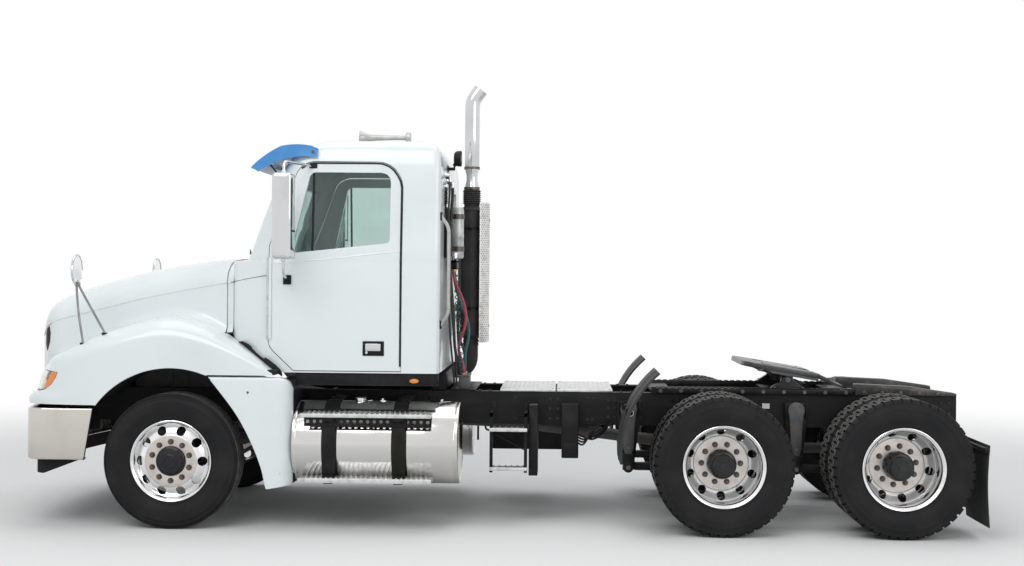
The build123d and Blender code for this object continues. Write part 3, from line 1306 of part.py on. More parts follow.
def slide_base():
    """Slide rails with cross plates and pedestals for the jaw plate, and guide ramps."""
    bars = both_sides(box(SLIDE_FRONT, SLIDE_REAR, RAIL_Y - RAIL_W, RAIL_Y + SLIDE_OVER,
                          RAIL_TOP, SLIDE_TOP))
    plates = [box(s, s + CROSS_PLATE_L, -RAIL_Y, RAIL_Y, RAIL_TOP, RAIL_TOP + CROSS_PLATE_T)
              for s in (SLIDE_FRONT, SLIDE_REAR - CROSS_PLATE_L)]
    plates.append(box(PLATE_PIVOT - PIVOT_PLATE_L / 2, PLATE_PIVOT + PIVOT_PLATE_L / 2, -RAIL_Y,
                      RAIL_Y, RAIL_TOP, RAIL_TOP + CROSS_PLATE_T))
    low, high = SLIDE_TOP - 6, PLATE_PIVOT_Z + PEDESTAL_OVER
    outline = [(PLATE_PIVOT - PEDESTAL_FOOT, low), (PLATE_PIVOT + PEDESTAL_FOOT, low),
               (PLATE_PIVOT + PEDESTAL_HEAD, high), (PLATE_PIVOT - PEDESTAL_HEAD, high)]
    pedestal = side_prism(outline, PEDESTAL_Y, PEDESTAL_Y + PEDESTAL_W)
    pedestal = pedestal - rod_y(PLATE_PIVOT, PLATE_PIVOT_Z, PIVOT_PIN_R + RUNNING, 0, 600)
    base = fused(bars + plates + both_sides(pedestal))
    ramp = [(RAMP_LINE[0][0], RAIL_TOP)] + RAMP_LINE + [(RAMP_END, RAIL_TOP)]
    ramps = both_sides(side_prism(ramp, RAIL_Y - RAIL_W, RAIL_Y + RAMP_OVER))
    return [base] + ramps


def fifth_wheel_plate():
    """Jaw plate with its throat, kingpin bore, skirt and pivot pins, tilted on its stop."""
    top = PLATE_PIVOT_Z + PLATE_TOP_OVER_PIVOT
    shoulder = PLATE_FRONT + PLATE_NOSE_L
    outline = [(PLATE_FRONT, -PLATE_NOSE_HALF), (PLATE_FRONT, PLATE_NOSE_HALF),
               (shoulder, PLATE_HALF), (PLATE_RAMP, PLATE_HALF), (PLATE_RAMP, -PLATE_HALF),
               (shoulder, -PLATE_HALF)]
    face = Face(Wire.make_polygon([(at(s), y, top - PLATE_T) for s, y in outline]))
    plate = extrude(face, amount=PLATE_T, dir=(0, 0, 1))
    end = top - PLATE_RAMP_DROP
    horn_prong = side_prism([(PLATE_RAMP, top), (PLATE_REAR, end),
                             (PLATE_REAR, end - PLATE_RAMP_END_T), (PLATE_RAMP, top - PLATE_T)],
                            HORN_IN_Y, RAIL_Y - RAIL_W - HORN_CLEAR)
    plate = plate + horn_prong + other_side(horn_prong)
    throat_front = KINGPIN_STATION + 10
    throat = [(throat_front, -THROAT_HALF), (throat_front, THROAT_HALF),
              (THROAT_MID_S, THROAT_MID_HALF), (PLATE_REAR, THROAT_REAR_HALF),
              (PLATE_REAR, -THROAT_REAR_HALF), (THROAT_MID_S, -THROAT_MID_HALF)]
    slot_face = Face(Wire.make_polygon([(at(s), y, top - 200) for s, y in throat]))
    plate = plate - extrude(slot_face, amount=300, dir=(0, 0, 1))
    housing = box(KINGPIN_STATION - JAW_L / 2, KINGPIN_STATION + JAW_L / 2, -JAW_HALF, JAW_HALF,
                  top - JAW_BOTTOM, top - JAW_TOP)
    plate = plate + housing
    bore = rod_z(KINGPIN_STATION, 0, KINGPIN_BORE_R, top - 200, top + 50)
    plate = plate - bore
    ear = box(PLATE_PIVOT - EAR_L / 2, PLATE_PIVOT + EAR_L / 2, PEDESTAL_Y - EAR_GAP - EAR_W,
              PEDESTAL_Y - EAR_GAP, PLATE_PIVOT_Z - EAR_DROP, top - 10)
    pin = rod_y(PLATE_PIVOT, PLATE_PIVOT_Z, PIVOT_PIN_R, PEDESTAL_Y - 20,
                PEDESTAL_Y + PEDESTAL_W + 10)
    plate = fused([plate, ear, other_side(ear), pin, other_side(pin)])
    pivot = Axis((at(PLATE_PIVOT), 0, PLATE_PIVOT_Z), (0, 1, 0))
    return plate.rotate(pivot, -PLATE_TILT)


# Exhaust and what hangs behind the cab


def muffler():
    """Muffler with its lower pipe, brackets to the cab and the bright shield behind it."""
    s, y = EXHAUST_STATION, EXHAUST_Y
    can = rod_z(s, y, MUFFLER_R, MUFFLER_BOTTOM, MUFFLER_TOP)
    collar = rod_z(s, y, PIPE_R + COLLAR_T, MUFFLER_TOP, MUFFLER_TOP + COLLAR_H)
    lower = tube([(s, y, MUFFLER_BOTTOM + 5), (s, y, PIPE_RUN_Z), (PIPE_FRONT, y, PIPE_RUN_Z)],
                 PIPE_R, [PIPE_BEND_R])
    wide, high = EXHAUST_BRACKET_W / 2, EXHAUST_BRACKET_H / 2
    brackets = [box(CAB_REAR, s - MUFFLER_R + 20, y - wide, y + wide, z - high, z + high)
                for z in EXHAUST_BRACKETS]
    shield_r = MUFFLER_R + SHIELD_GAP
    shield = rod_z(s, y, shield_r + SHIELD_T, SHIELD_BOTTOM, SHIELD_TOP)
    shield = shield - rod_z(s, y, shield_r, SHIELD_BOTTOM - 15, SHIELD_TOP + 16)
    shield = shield - box(s - 2 * shield_r, s + SHIELD_EDGE, y - 2 * shield_r, y + 2 * shield_r,
                          SHIELD_BOTTOM - 100, SHIELD_TOP + 100)
    wide, high = SHIELD_ARM_W / 2, SHIELD_ARM_H / 2
    arms = [box(s + 40, s + shield_r + 2, y - wide, y + wide, z - high, z + high)
            for z in SHIELD_ARMS]
    return fused([can, collar, lower] + brackets + [shield] + arms)


def stack():
    """Bright tail pipe above the muffler, with its tip turned to the rear."""
    s, y = EXHAUST_STATION, EXHAUST_Y
    points = [(s, y, MUFFLER_TOP + COLLAR_H), (s, y, STACK_STRAIGHT_TOP),
              (s + STACK_TIP_BACK, y, STACK_STRAIGHT_TOP + STACK_TIP_RISE)]
    outer = tube(points, PIPE_R, [STACK_BEND_R])
    inner = tube(points, PIPE_R - PIPE_T, [STACK_BEND_R])
    return outer - inner


# name, points of the route as (station, y, z)
HOSES = [
    ("hose_red", [(HOSE_TOP_S, 300, RACK_Z), (HOSE_TOP_S, 300, 1862), (3140, 303, 1768),
                  (3192, 308, 1650), (3208, 314, 1520), (3172, 320, 1404), (3138, 326, 1296),
                  (HOSE_FOOT_S, 330, 1184), (HOSE_FOOT_S, 330, HOSE_FOOT_Z)]),
    ("hose_blue", [(HOSE_TOP_S, 240, RACK_Z), (HOSE_TOP_S, 240, 1856), (3122, 238, 1752),
                   (3166, 232, 1632), (3214, 226, 1520), (3224, 222, 1396), (3196, 220, 1288),
                   (HOSE_FOOT_S, 220, 1186), (HOSE_FOOT_S, 220, HOSE_FOOT_Z)]),
    ("hose_black", [(HOSE_TOP_S, 180, RACK_Z), (HOSE_TOP_S, 180, 1860), (3132, 172, 1756),
                    (3150, 160, 1636), (3128, 146, 1512), (3130, 136, 1390), (3176, 130, 1290),
                    (HOSE_FOOT_S, 130, 1190), (HOSE_FOOT_S, 130, HOSE_FOOT_Z)]),
]


def bend_radii(points):
    """For each inner point, 0.45 of the shorter run over the tangent of half the turn."""
    radii = []
    for before, here, after in zip(points, points[1:], points[2:]):
        run_in, run_out = Vector(*here) - Vector(*before), Vector(*after) - Vector(*here)
        half_turn = math.radians(run_in.get_angle(run_out) / 2)
        radii.append(0.45 * min(run_in.length, run_out.length) / math.tan(half_turn))
    return radii


def hose_rack():
    """Bar with three couplings on the cab's back, a dryer can beside it, and the joint box
    on the frame."""
    bar = box(CAB_REAR, RACK_REAR, RACK_IN_Y, RACK_OUT_Y, RACK_Z, RACK_Z + RACK_H)
    plate = box(HOSE_FOOT_S - JOINT_PLATE_L / 2, HOSE_FOOT_S + JOINT_PLATE_L / 2, -RAIL_Y,
                RAIL_Y, RAIL_TOP, RAIL_TOP + JOINT_PLATE_T)
    foot = box(HOSE_FOOT_S - JOINT_BOX_W / 2, HOSE_FOOT_S + JOINT_BOX_W / 2, JOINT_BOX_IN_Y,
               JOINT_BOX_OUT_Y, RAIL_TOP, HOSE_FOOT_Z)
    can = rod_z(FILTER_STATION, FILTER_Y, FILTER_R, FILTER_BOTTOM, FILTER_TOP)
    clamps = [box(CAB_REAR, FILTER_STATION, FILTER_Y - 30, FILTER_Y + 30, z, z + 40)
              for z in (FILTER_BOTTOM + 60, FILTER_TOP - 100)]
    return [bar, plate + foot, fused([can] + clamps)]


def hose(name, points):
    """A hose held at both ends: straight runs joined by arcs."""
    radii = bend_radii(points)
    print(name, "bend radii", [round(radius) for radius in radii])
    return tube(points, HOSE_R, radii)


# Cab fittings


VISOR_OUTLINE = [
    (VISOR_TIP, 2674), (VISOR_TIP + 53, 2742), (VISOR_TIP + 125, 2802), (VISOR_TIP + 209, 2844),
    (VISOR_TIP + 345, 2862), (VISOR_TIP + 515, 2838), (VISOR_TIP + 515, 2748),
    (VISOR_TIP + 370, 2742), (VISOR_TIP + 265, 2706), (VISOR_TIP + 185, 2650),
    (VISOR_TIP + 94, 2593),
]
VISOR_INNER = [
    (VISOR_TIP - 15, 2640), (VISOR_TIP + 25, 2668), (VISOR_TIP + 71, 2726),
    (VISOR_TIP + 137, 2784), (VISOR_TIP + 215, 2826), (VISOR_TIP + 347, 2844),
    (VISOR_TIP + 545, 2822), (VISOR_TIP + 545, 2500), (VISOR_TIP - 15, 2500),
]

def visor():
    """Sun visor: a skin over the windshield with a cheek at each side."""
    skin = side_prism(VISOR_OUTLINE, -VISOR_HALF, VISOR_HALF)
    room = side_prism(VISOR_INNER, -VISOR_HALF + VISOR_T, VISOR_HALF - VISOR_T)
    skin = skin - room
    return skin - cab_body(-3)


# station, radius
HORN_OUTLINE = [(2375, 0), (2375, 48), (2392, 44), (2440, 26), (2560, 18), (2690, 15),
                (2735, 15), (2735, 36), (2773, 36), (2773, 0)]


def horn():
    """Air horn along the roof, bell to the front, on two feet."""
    face = Face(Wire.make_polygon([(at(s), HORN_Y + r, HORN_Z) for s, r in HORN_OUTLINE]))
    trumpet = revolve(face, Axis((0, HORN_Y, HORN_Z), (1, 0, 0)), 360)
    feet = [box(s - HORN_FOOT_L / 2, s + HORN_FOOT_L / 2, HORN_Y - HORN_FOOT_W / 2,
                HORN_Y + HORN_FOOT_W / 2, ROOF_TOP, HORN_Z) for s in HORN_FEET]
    return fused([trumpet] + feet)


# station, height
DASH_OUTLINE = [(1480, 1400), (1480, 1830), (1640, 1870), (1790, 1850), (1850, 1780),
                (1850, 1560), (1760, 1400)]


def dashboard():
    """Dashboard with the steering column and wheel."""
    desk = side_prism(DASH_OUTLINE, -CAB_HALF, CAB_HALF) & cab_body(CAB_WALL + FIT)
    beside_door = box(DOOR_FRONT - 20, DOOR_FRONT + 118, DASH_DOOR_Y, CAB_HALF, 1300, 1900)
    desk = desk - beside_door - other_side(beside_door)
    y = STEERING_Y
    column = tube([(1800, y, 1700), (1900, y, 1770), (STEERING_S - 5, y, STEERING_Z - 3)],
                  COLUMN_R, [300])
    place = Pos(at(STEERING_S), y, STEERING_Z) * Rot(0, -STEERING_TILT, 0)
    rim = place * Torus(STEERING_R, STEERING_RIM_R)
    spoke = place * Box(60, 2 * STEERING_R, SPOKE_T)
    cross = place * Box(2 * STEERING_R, 50, SPOKE_T)
    return fused([desk, column, rim, spoke, cross])


def seats():
    """Driver's and passenger's seats on pedestals on the cab's floor."""
    half = SEAT_W / 2
    base = box(SEAT_BASE_FRONT, SEAT_BASE_REAR, SEAT_Y - SEAT_BASE_W / 2,
               SEAT_Y + SEAT_BASE_W / 2, CAB_BOTTOM + CAB_WALL, SEAT_BOTTOM)
    cushion = box(SEAT_FRONT, SEAT_REAR, SEAT_Y - half, SEAT_Y + half, SEAT_BOTTOM, SEAT_TOP)
    back = side_prism([(SEAT_REAR - 70, SEAT_TOP - 40), (SEAT_REAR + 60, SEAT_TOP - 40),
                       (REST_REAR + 10, REST_BOTTOM + 10), (REST_FRONT - 5, REST_BOTTOM + 10)],
                      SEAT_Y - half + BACK_INSET, SEAT_Y + half - BACK_INSET)
    rest = box(REST_FRONT, REST_REAR, SEAT_Y - REST_W / 2, SEAT_Y + REST_W / 2, REST_BOTTOM,
               REST_TOP)
    return both_sides(fused([base, cushion, back, rest]))


def grab_handles():
    """Upright handles at the cab's rear corners."""
    y, out = HANDLE_BAR_Y, CAB_REAR + HANDLE_BAR_OUT
    high, low = HANDLE_BAR_TOP, HANDLE_BAR_BOTTOM
    bar = tube([(CAB_REAR, y, high), (out, y, high - HANDLE_BAR_SLANT),
                (out, y, low + HANDLE_BAR_SLANT), (CAB_REAR, y, low)], HANDLE_BAR_R, [40, 40])
    pads = [box(CAB_REAR, CAB_REAR + 14, y - HANDLE_PAD_W / 2, y + HANDLE_PAD_W / 2,
                z - HANDLE_PAD_H / 2, z + HANDLE_PAD_H / 2) for z in (high, low)]
    whole = fused([bar] + pads)
    return both_sides(whole - box(CAB_REAR - 60, CAB_REAR, y - 100, y + 100, low - 100,
                                  high + 100))


def work_light():
    """Round lamp on the cab's back, below the roof."""
    middle = LIGHT_FRONT + LIGHT_DEPTH / 2
    lamp = Pos(at(middle), LIGHT_Y, LIGHT_Z) * Rot(0, 90, 0) * Cylinder(LIGHT_R, LIGHT_DEPTH)
    y0, y1 = LIGHT_Y - LIGHT_STEM / 2, LIGHT_Y + LIGHT_STEM / 2
    low = LIGHT_Z - LIGHT_R - 33
    stem = box(CAB_REAR - 10, LIGHT_FRONT + 12, y0, y1, low, low + LIGHT_STEM)
    stay = box(LIGHT_FRONT - 3, LIGHT_FRONT + 12, y0, y1, low, LIGHT_Z - 5)
    whole = fused([lamp, stem, stay])
    return whole - cab_body(0)


def solids_of(shape):
    """Every solid in a shape or list of shapes."""
    if isinstance(shape, (list, tuple)):
        found = []
        for piece in shape:
            found.extend(solids_of(piece))
        return found
    return list(shape.solids())


def save(name, shape):
    """One STEP file of a node's solids."""
    solids = solids_of(shape)
    whole = solids[0] if len(solids) == 1 else Compound(children=solids)
    export_step(whole, f"parts/{name}.step")


def main():
    os.makedirs("parts", exist_ok=True)
    save("frame_rails", frame_rails())
    save("crossmembers", crossmembers())
    save("bumper", bumper())
    save("engine", engine())
    save("front_axle", front_axle())
    save("rear_axles", rear_axles())
    save("rear_suspension", rear_suspension())
    save("fuel_tanks", fuel_tanks())
    save("tank_steps", tank_steps())
    save("splash_panels", splash_panels())
    save("deck_plates", deck_plates())
    save("side_steps", side_steps())
    save("slide_base", slide_base())
    save("quarter_fenders", quarter_fenders())
    save("mud_flaps", mud_flaps())
    save("muffler", muffler())
    save("stack", stack())
    save("hose_rack", hose_rack())
    for name, points in HOSES:
        save(name, hose(name, points))
    save("cab_shell", cab_shell())
    save("cab_glass", cab_glass())
    save("cab_skirts", cab_skirts())
    save("visor", visor())
    save("horn", horn())
    save("dashboard", dashboard())
    save("seats", seats())
    save("grab_handles", grab_handles())
    save("work_light", work_light())
    form = hood_form(0)
    skin = form - hood_form(HOOD_T)
    save("hood_shell", hood_shell(skin))
    save("fender_liners", fender_liners())
    save("grille", grille())
    save("headlamps", headlamps(skin))
    save("hood_mirrors", hood_mirrors(form))
    leaf, pane, glass = door_left(), door_left_glass(), mirror_left()
    for side, place in (("left", lambda shape: shape), ("right", other_side)):
        save(f"door_{side}", place(leaf))
        save(f"door_{side}_glass", place(pane))
        save(f"mirror_{side}", place(glass))
        save(f"knuckle_{side}", place(knuckle_left()))
    save("tie_rod", tie_rod())
    for side, name in ((1, "left"), (-1, "right")):
        y = side * FRONT_TRACK_Y
        save(f"tyre_front_{name}", tyre(FRONT_AXLE, y, FRONT_TYRE_R, FRONT_TYRE_R))
        save(f"wheel_front_{name}", front_wheel(side))
        for number, station in ((1, REAR_AXLE_1), (2, REAR_AXLE_2)):
            twin = []
            for offset_y in (0, DUAL_SPACING):
                y = side * (DUAL_OUTER_Y - offset_y)
                twin.append(tyre(station, y, REAR_TYRE_R, REAR_TYRE_R))
            save(f"tyres_rear_{number}_{name}", twin)
            save(f"wheel_rear_{number}_{name}", rear_wheel(side, station))
    save("fifth_wheel_plate", fifth_wheel_plate())


main()
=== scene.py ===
import math
import bmesh
import bpy
from mathutils import Matrix, Vector


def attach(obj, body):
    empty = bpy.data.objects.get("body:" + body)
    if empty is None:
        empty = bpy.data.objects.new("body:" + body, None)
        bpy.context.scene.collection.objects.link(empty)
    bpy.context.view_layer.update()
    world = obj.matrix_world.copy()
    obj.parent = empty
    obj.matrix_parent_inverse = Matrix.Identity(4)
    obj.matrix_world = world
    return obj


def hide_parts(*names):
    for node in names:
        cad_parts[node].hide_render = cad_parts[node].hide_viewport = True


# Day-cab truck tractor, in metres. +X forward, +Y to the truck's left, +Z up.
# A station is a distance behind the bumper's front corners.

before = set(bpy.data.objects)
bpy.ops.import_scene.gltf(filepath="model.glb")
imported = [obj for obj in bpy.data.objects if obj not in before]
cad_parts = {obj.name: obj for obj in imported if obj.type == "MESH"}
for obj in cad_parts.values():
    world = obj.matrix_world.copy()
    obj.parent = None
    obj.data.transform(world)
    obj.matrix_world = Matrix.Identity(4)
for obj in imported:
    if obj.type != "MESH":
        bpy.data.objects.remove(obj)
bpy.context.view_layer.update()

NOSE_X = 3.45
FRONT_AXLE = 1.097
REAR_AXLES = (5.136, 6.420)
FRONT_TYRE_R = 0.498
REAR_TYRE_R = 0.508
FRONT_TRACK_Y = 1.035
DUAL_OUTER_Y = 1.080
DUAL_SPACING = 0.335


def at(station):
    """X of a station."""
    return NOSE_X - station


# Camera: fitted to the photograph's wheels, with the frame 1024 pixels wide

FOCAL_PX = 1434.9
IMAGE_W = 1024
SENSOR_W = 36.0
CAMERA_PLACE = (at(FRONT_AXLE) - 2.868, 11.563, 1.867)
CAMERA_YAW = math.radians(2.051)
CAMERA_PITCH = math.radians(-0.233)
CAMERA_ROLL = math.radians(0.451)
CLIP_END = 200


def make_camera():
    data = bpy.data.cameras.new("camera")
    data.sensor_width = SENSOR_W
    data.lens = FOCAL_PX / IMAGE_W * SENSOR_W
    data.clip_end = CLIP_END
    forward = Vector((math.sin(CAMERA_YAW) * math.cos(CAMERA_PITCH),
                      -math.cos(CAMERA_YAW) * math.cos(CAMERA_PITCH), math.sin(CAMERA_PITCH)))
    right = forward.cross(Vector((0, 0, 1))).normalized()
    up = right.cross(forward)
    turned_right = right * math.cos(CAMERA_ROLL) + up * math.sin(CAMERA_ROLL)
    turned_up = up * math.cos(CAMERA_ROLL) - right * math.sin(CAMERA_ROLL)
    camera = bpy.data.objects.new("camera", data)
    turn = Matrix((turned_right, turned_up, -forward)).transposed()
    camera.matrix_world = Matrix.Translation(CAMERA_PLACE) @ turn.to_4x4()
    bpy.context.scene.collection.objects.link(camera)
    bpy.context.scene.camera = camera


make_camera()


# Materials

BUMP_HEIGHT = 0.001
COAT_ROUGH = 0.04
GLASS_IOR = 1.45


def node_material(name):
    material = bpy.data.materials.new(name)
    material.use_nodes = True
    nodes = material.node_tree.nodes
    return material, nodes, material.node_tree.links, nodes["Principled BSDF"]


def add_noise(nodes, links, scale, detail=4.0, stretch=None):
    """A noise texture in the object's own metres, stretched where asked."""
    place = nodes.new("ShaderNodeTexCoord")
    noise = nodes.new("ShaderNodeTexNoise")
    noise.inputs["Scale"].default_value = scale
    noise.inputs["Detail"].default_value = detail
    if stretch:
        mapping = nodes.new("ShaderNodeMapping")
        mapping.inputs["Scale"].default_value = stretch
        links.new(place.outputs["Object"], mapping.inputs["Vector"])
        links.new(mapping.outputs["Vector"], noise.inputs["Vector"])
    else:
        links.new(place.outputs["Object"], noise.inputs["Vector"])
    return noise


def add_ramp(nodes, links, source, low, high, first, last):
    """A colour ramp from one colour to another between two values of a source."""
    ramp = nodes.new("ShaderNodeValToRGB")
    ramp.color_ramp.elements[0].position = low
    ramp.color_ramp.elements[1].position = high
    ramp.color_ramp.elements[0].color = (*first, 1)
    ramp.color_ramp.elements[1].color = (*last, 1)
    links.new(source, ramp.inputs["Fac"])
    return ramp


def surface(name, colour, rough, metal=0.0, worn=None, patch=6.0, wear=(0.45, 0.75),
            bump=0.0, bump_scale=300.0, rough_spread=0.08, coat=0.0, stretch=None, shine=0.5):
    """A finish whose colour and roughness vary in patches, with a fine bump."""
    material, nodes, links, shader = node_material(name)
    shader.inputs["Specular IOR Level"].default_value = shine
    shader.inputs["Metallic"].default_value = metal
    shader.inputs["Coat Weight"].default_value = coat
    shader.inputs["Coat Roughness"].default_value = COAT_ROUGH
    worn = worn or tuple(channel * 0.9 for channel in colour)
    patches = add_noise(nodes, links, patch, 6.0, stretch)
    ramp = add_ramp(nodes, links, patches.outputs["Fac"], wear[0], wear[1], colour, worn)
    links.new(ramp.outputs["Color"], shader.inputs["Base Color"])
    spread = nodes.new("ShaderNodeMapRange")
    spread.inputs["To Min"].default_value = max(0.02, rough - rough_spread)
    spread.inputs["To Max"].default_value = rough + rough_spread
    links.new(patches.outputs["Fac"], spread.inputs["Value"])
    links.new(spread.outputs["Result"], shader.inputs["Roughness"])
    if bump:
        grain = add_noise(nodes, links, bump_scale, 3.0, stretch)
        relief = nodes.new("ShaderNodeBump")
        relief.inputs["Strength"].default_value = bump
        relief.inputs["Distance"].default_value = BUMP_HEIGHT
        links.new(grain.outputs["Fac"], relief.inputs["Height"])
        links.new(relief.outputs["Normal"], shader.inputs["Normal"])
    return material


def glass_finish(name, tint, rough=0.0):
    material, nodes, links, shader = node_material(name)
    smear = add_noise(nodes, links, 3.0, 5.0)
    darker = tuple(channel * 0.93 for channel in tint)
    ramp = add_ramp(nodes, links, smear.outputs["Fac"], 0.35, 0.7, tint, darker)
    links.new(ramp.outputs["Color"], shader.inputs["Base Color"])
    shader.inputs["Transmission Weight"].default_value = 1.0
    shader.inputs["Roughness"].default_value = rough
    shader.inputs["IOR"].default_value = GLASS_IOR
    return material


WHITE = surface("white_paint", (0.78, 0.83, 0.835), 0.22, coat=0.5, worn=(0.72, 0.77, 0.77),
                patch=1.6, bump=0.02, bump_scale=90.0, rough_spread=0.05)
BLACK = surface("chassis_black", (0.008, 0.008, 0.009), 0.42, worn=(0.024, 0.022, 0.020),
                patch=7.0, bump=0.25, bump_scale=160.0, shine=0.18)
BLACK_GLOSS = surface("gloss_black", (0.012, 0.012, 0.014), 0.2, worn=(0.03, 0.03, 0.03),
                      patch=5.0, coat=0.12, shine=0.25)
SEAL = surface("rubber_seal", (0.014, 0.014, 0.015), 0.6, bump=0.3, bump_scale=400.0,
               shine=0.25)
TYRE = surface("tyre_rubber", (0.011, 0.011, 0.012), 0.62, worn=(0.022, 0.021, 0.020),
               patch=5.0, bump=0.35, bump_scale=220.0, shine=0.18)
TREAD = surface("tyre_tread", (0.05, 0.048, 0.045), 0.85, worn=(0.13, 0.125, 0.115),
                patch=26.0, wear=(0.4, 0.65), bump=0.6, bump_scale=200.0)
ALLOY = surface("polished_alloy", (0.83, 0.83, 0.84), 0.13, metal=1.0, worn=(0.72, 0.71, 0.70),
                patch=9.0, bump=0.01, bump_scale=500.0, rough_spread=0.05)
DISC_ALLOY = surface("brushed_disc", (0.72, 0.72, 0.72), 0.45, metal=0.55,
                     worn=(0.60, 0.59, 0.57), patch=14.0, bump=0.02, bump_scale=300.0)
TANK = surface("tank_alloy", (0.66, 0.65, 0.635), 0.14, metal=1.0, worn=(0.58, 0.56, 0.54),
               patch=3.0, bump=0.02, bump_scale=260.0, rough_spread=0.05,
               stretch=(0.15, 1.0, 1.0))
TREADPLATE = surface("tread_plate", (0.66, 0.67, 0.67), 0.4, metal=0.85,
                     worn=(0.45, 0.44, 0.42), patch=18.0, bump=0.4, bump_scale=240.0)
SATIN_ALLOY = surface("machined_alloy", (0.62, 0.58, 0.55), 0.34, metal=1.0,
                      worn=(0.50, 0.45, 0.42), patch=14.0, bump=0.08, bump_scale=400.0)
CHROME = surface("chrome", (0.64, 0.65, 0.66), 0.09, metal=1.0, worn=(0.56, 0.56, 0.56),
                 patch=4.0, rough_spread=0.03)
MUFFLER = surface("muffler_black", (0.02, 0.02, 0.021), 0.7, worn=(0.05, 0.04, 0.035),
                  patch=6.0, bump=0.35, bump_scale=150.0)
BLUE = surface("visor_blue", (0.045, 0.25, 0.60), 0.3, worn=(0.11, 0.36, 0.70), patch=5.0,
               coat=0.4, bump=0.04, bump_scale=80.0)
GLASS = glass_finish("window_glass", (0.66, 0.78, 0.75))
MIRROR = surface("mirror_glass", (0.80, 0.82, 0.83), 0.03, metal=1.0, rough_spread=0.01)
CABIN_GREY = surface("cabin_grey", (0.16, 0.17, 0.18), 0.7, bump=0.4, bump_scale=420.0)
SEAT = surface("seat_cloth", (0.10, 0.11, 0.13), 0.9, worn=(0.15, 0.16, 0.18), patch=40.0,
               bump=0.7, bump_scale=700.0)
LINER = surface("moulded_black", (0.012, 0.012, 0.013), 0.75, bump=0.5, bump_scale=300.0,
                shine=0.2)
LAMP = glass_finish("lamp_lens", (0.95, 0.95, 0.93), 0.02)
LAMP_BOWL = surface("lamp_bowl", (0.80, 0.80, 0.80), 0.12, metal=1.0)
AMBER = surface("amber_lens", (0.85, 0.26, 0.03), 0.15, coat=0.6, worn=(0.70, 0.18, 0.02),
                patch=60.0)
IRON = surface("cast_iron", (0.10, 0.10, 0.105), 0.6, worn=(0.17, 0.13, 0.10), patch=8.0,
               bump=0.6, bump_scale=120.0)
NUT_STEEL = surface("nut_steel", (0.13, 0.12, 0.115), 0.4, metal=1.0, worn=(0.16, 0.10, 0.08),
                    patch=60.0)
GREASE = surface("greasy_steel", (0.06, 0.06, 0.063), 0.33, metal=0.6,
                 worn=(0.22, 0.22, 0.22), patch=8.0, bump=0.4, bump_scale=60.0)
HOSE_RED = surface("hose_red", (0.42, 0.06, 0.09), 0.5, worn=(0.30, 0.05, 0.07), patch=30.0)
HOSE_BLUE = surface("hose_blue", (0.03, 0.13, 0.14), 0.5, worn=(0.05, 0.17, 0.16), patch=30.0)
HOSE_BLACK = surface("hose_black", (0.015, 0.015, 0.017), 0.55, patch=30.0)
FLAP = surface("flap_rubber", (0.018, 0.018, 0.019), 0.65, worn=(0.04, 0.038, 0.036),
               patch=4.0, bump=0.3, bump_scale=140.0)
# Painted shade: this grey is used only for the thin line on the cab's side that stands for the
# shadow under the body crease.
CREASE_SHADE_GREY = surface("crease_shade_grey", (0.17, 0.18, 0.18), 0.6, patch=12.0)
HINGE_STEEL = surface("hinge_steel", (0.62, 0.64, 0.64), 0.32, metal=0.7,
                      worn=(0.40, 0.40, 0.39), patch=20.0)
BUMPER_FACE = surface("bumper_chrome", (0.60, 0.575, 0.54), 0.17, metal=1.0,
                      worn=(0.56, 0.51, 0.47), patch=4.5, wear=(0.42, 0.72), rough_spread=0.09,
                      stretch=(1.0, 1.0, 0.35))
SCREEN = surface("wire_screen", (0.012, 0.012, 0.013), 0.6, worn=(0.05, 0.05, 0.05),
                 patch=260.0, wear=(0.48, 0.55), bump=1.0, bump_scale=260.0)
STALK = surface("stalk_steel", (0.24, 0.24, 0.24), 0.3, metal=1.0, worn=(0.34, 0.34, 0.33),
                patch=12.0)
LABEL = surface("blank_label", (0.70, 0.68, 0.64), 0.6, worn=(0.50, 0.45, 0.40), patch=60.0)
RAMP = surface("worn_ramp", (0.03, 0.03, 0.031), 0.45, worn=(0.12, 0.10, 0.085), patch=14.0,
               wear=(0.5, 0.7), stretch=(1.0, 6.0, 1.0))
COVER_GREY = surface("hanger_grey", (0.055, 0.065, 0.075), 0.45, worn=(0.11, 0.10, 0.09),
                     patch=11.0, wear=(0.4, 0.7), bump=0.3, bump_scale=140.0)
FINS = surface("radiator_fins", (0.10, 0.10, 0.10), 0.5, metal=0.6, worn=(0.03, 0.03, 0.03),
               patch=90.0, wear=(0.45, 0.55), bump=1.0, bump_scale=160.0,
               stretch=(1.0, 1.0, 12.0))
SHIELD_FINISH = surface("pierced_shield", (0.70, 0.70, 0.69), 0.28, metal=1.0,
                        worn=(0.52, 0.50, 0.48), patch=20.0, bump=0.5, bump_scale=90.0)
BRASS = surface("brass", (0.55, 0.40, 0.16), 0.3, metal=1.0, worn=(0.30, 0.22, 0.12),
                patch=60.0)
DRYER = surface("dryer_can", (0.60, 0.61, 0.60), 0.35, metal=0.3, worn=(0.42, 0.42, 0.40),
                patch=18.0, bump=0.3)
HOSE_GREEN = surface("cable_green", (0.02, 0.13, 0.10), 0.45, worn=(0.03, 0.09, 0.08),
                     patch=40.0)
HORN_PAINT = surface("horn_shell", (0.46, 0.46, 0.44), 0.25, metal=0.35,
                     worn=(0.36, 0.36, 0.34), patch=14.0)
LAMP_GLOW = surface("lamp_face", (0.62, 0.64, 0.64), 0.12, metal=0.4, worn=(0.80, 0.81, 0.80),
                    patch=90.0, wear=(0.4, 0.6), bump=0.8, bump_scale=120.0)
RUBBER_GRIP = surface("grip_tube", (0.50, 0.49, 0.47), 0.45, worn=(0.38, 0.36, 0.34),
                      patch=22.0, bump=0.6, bump_scale=260.0)
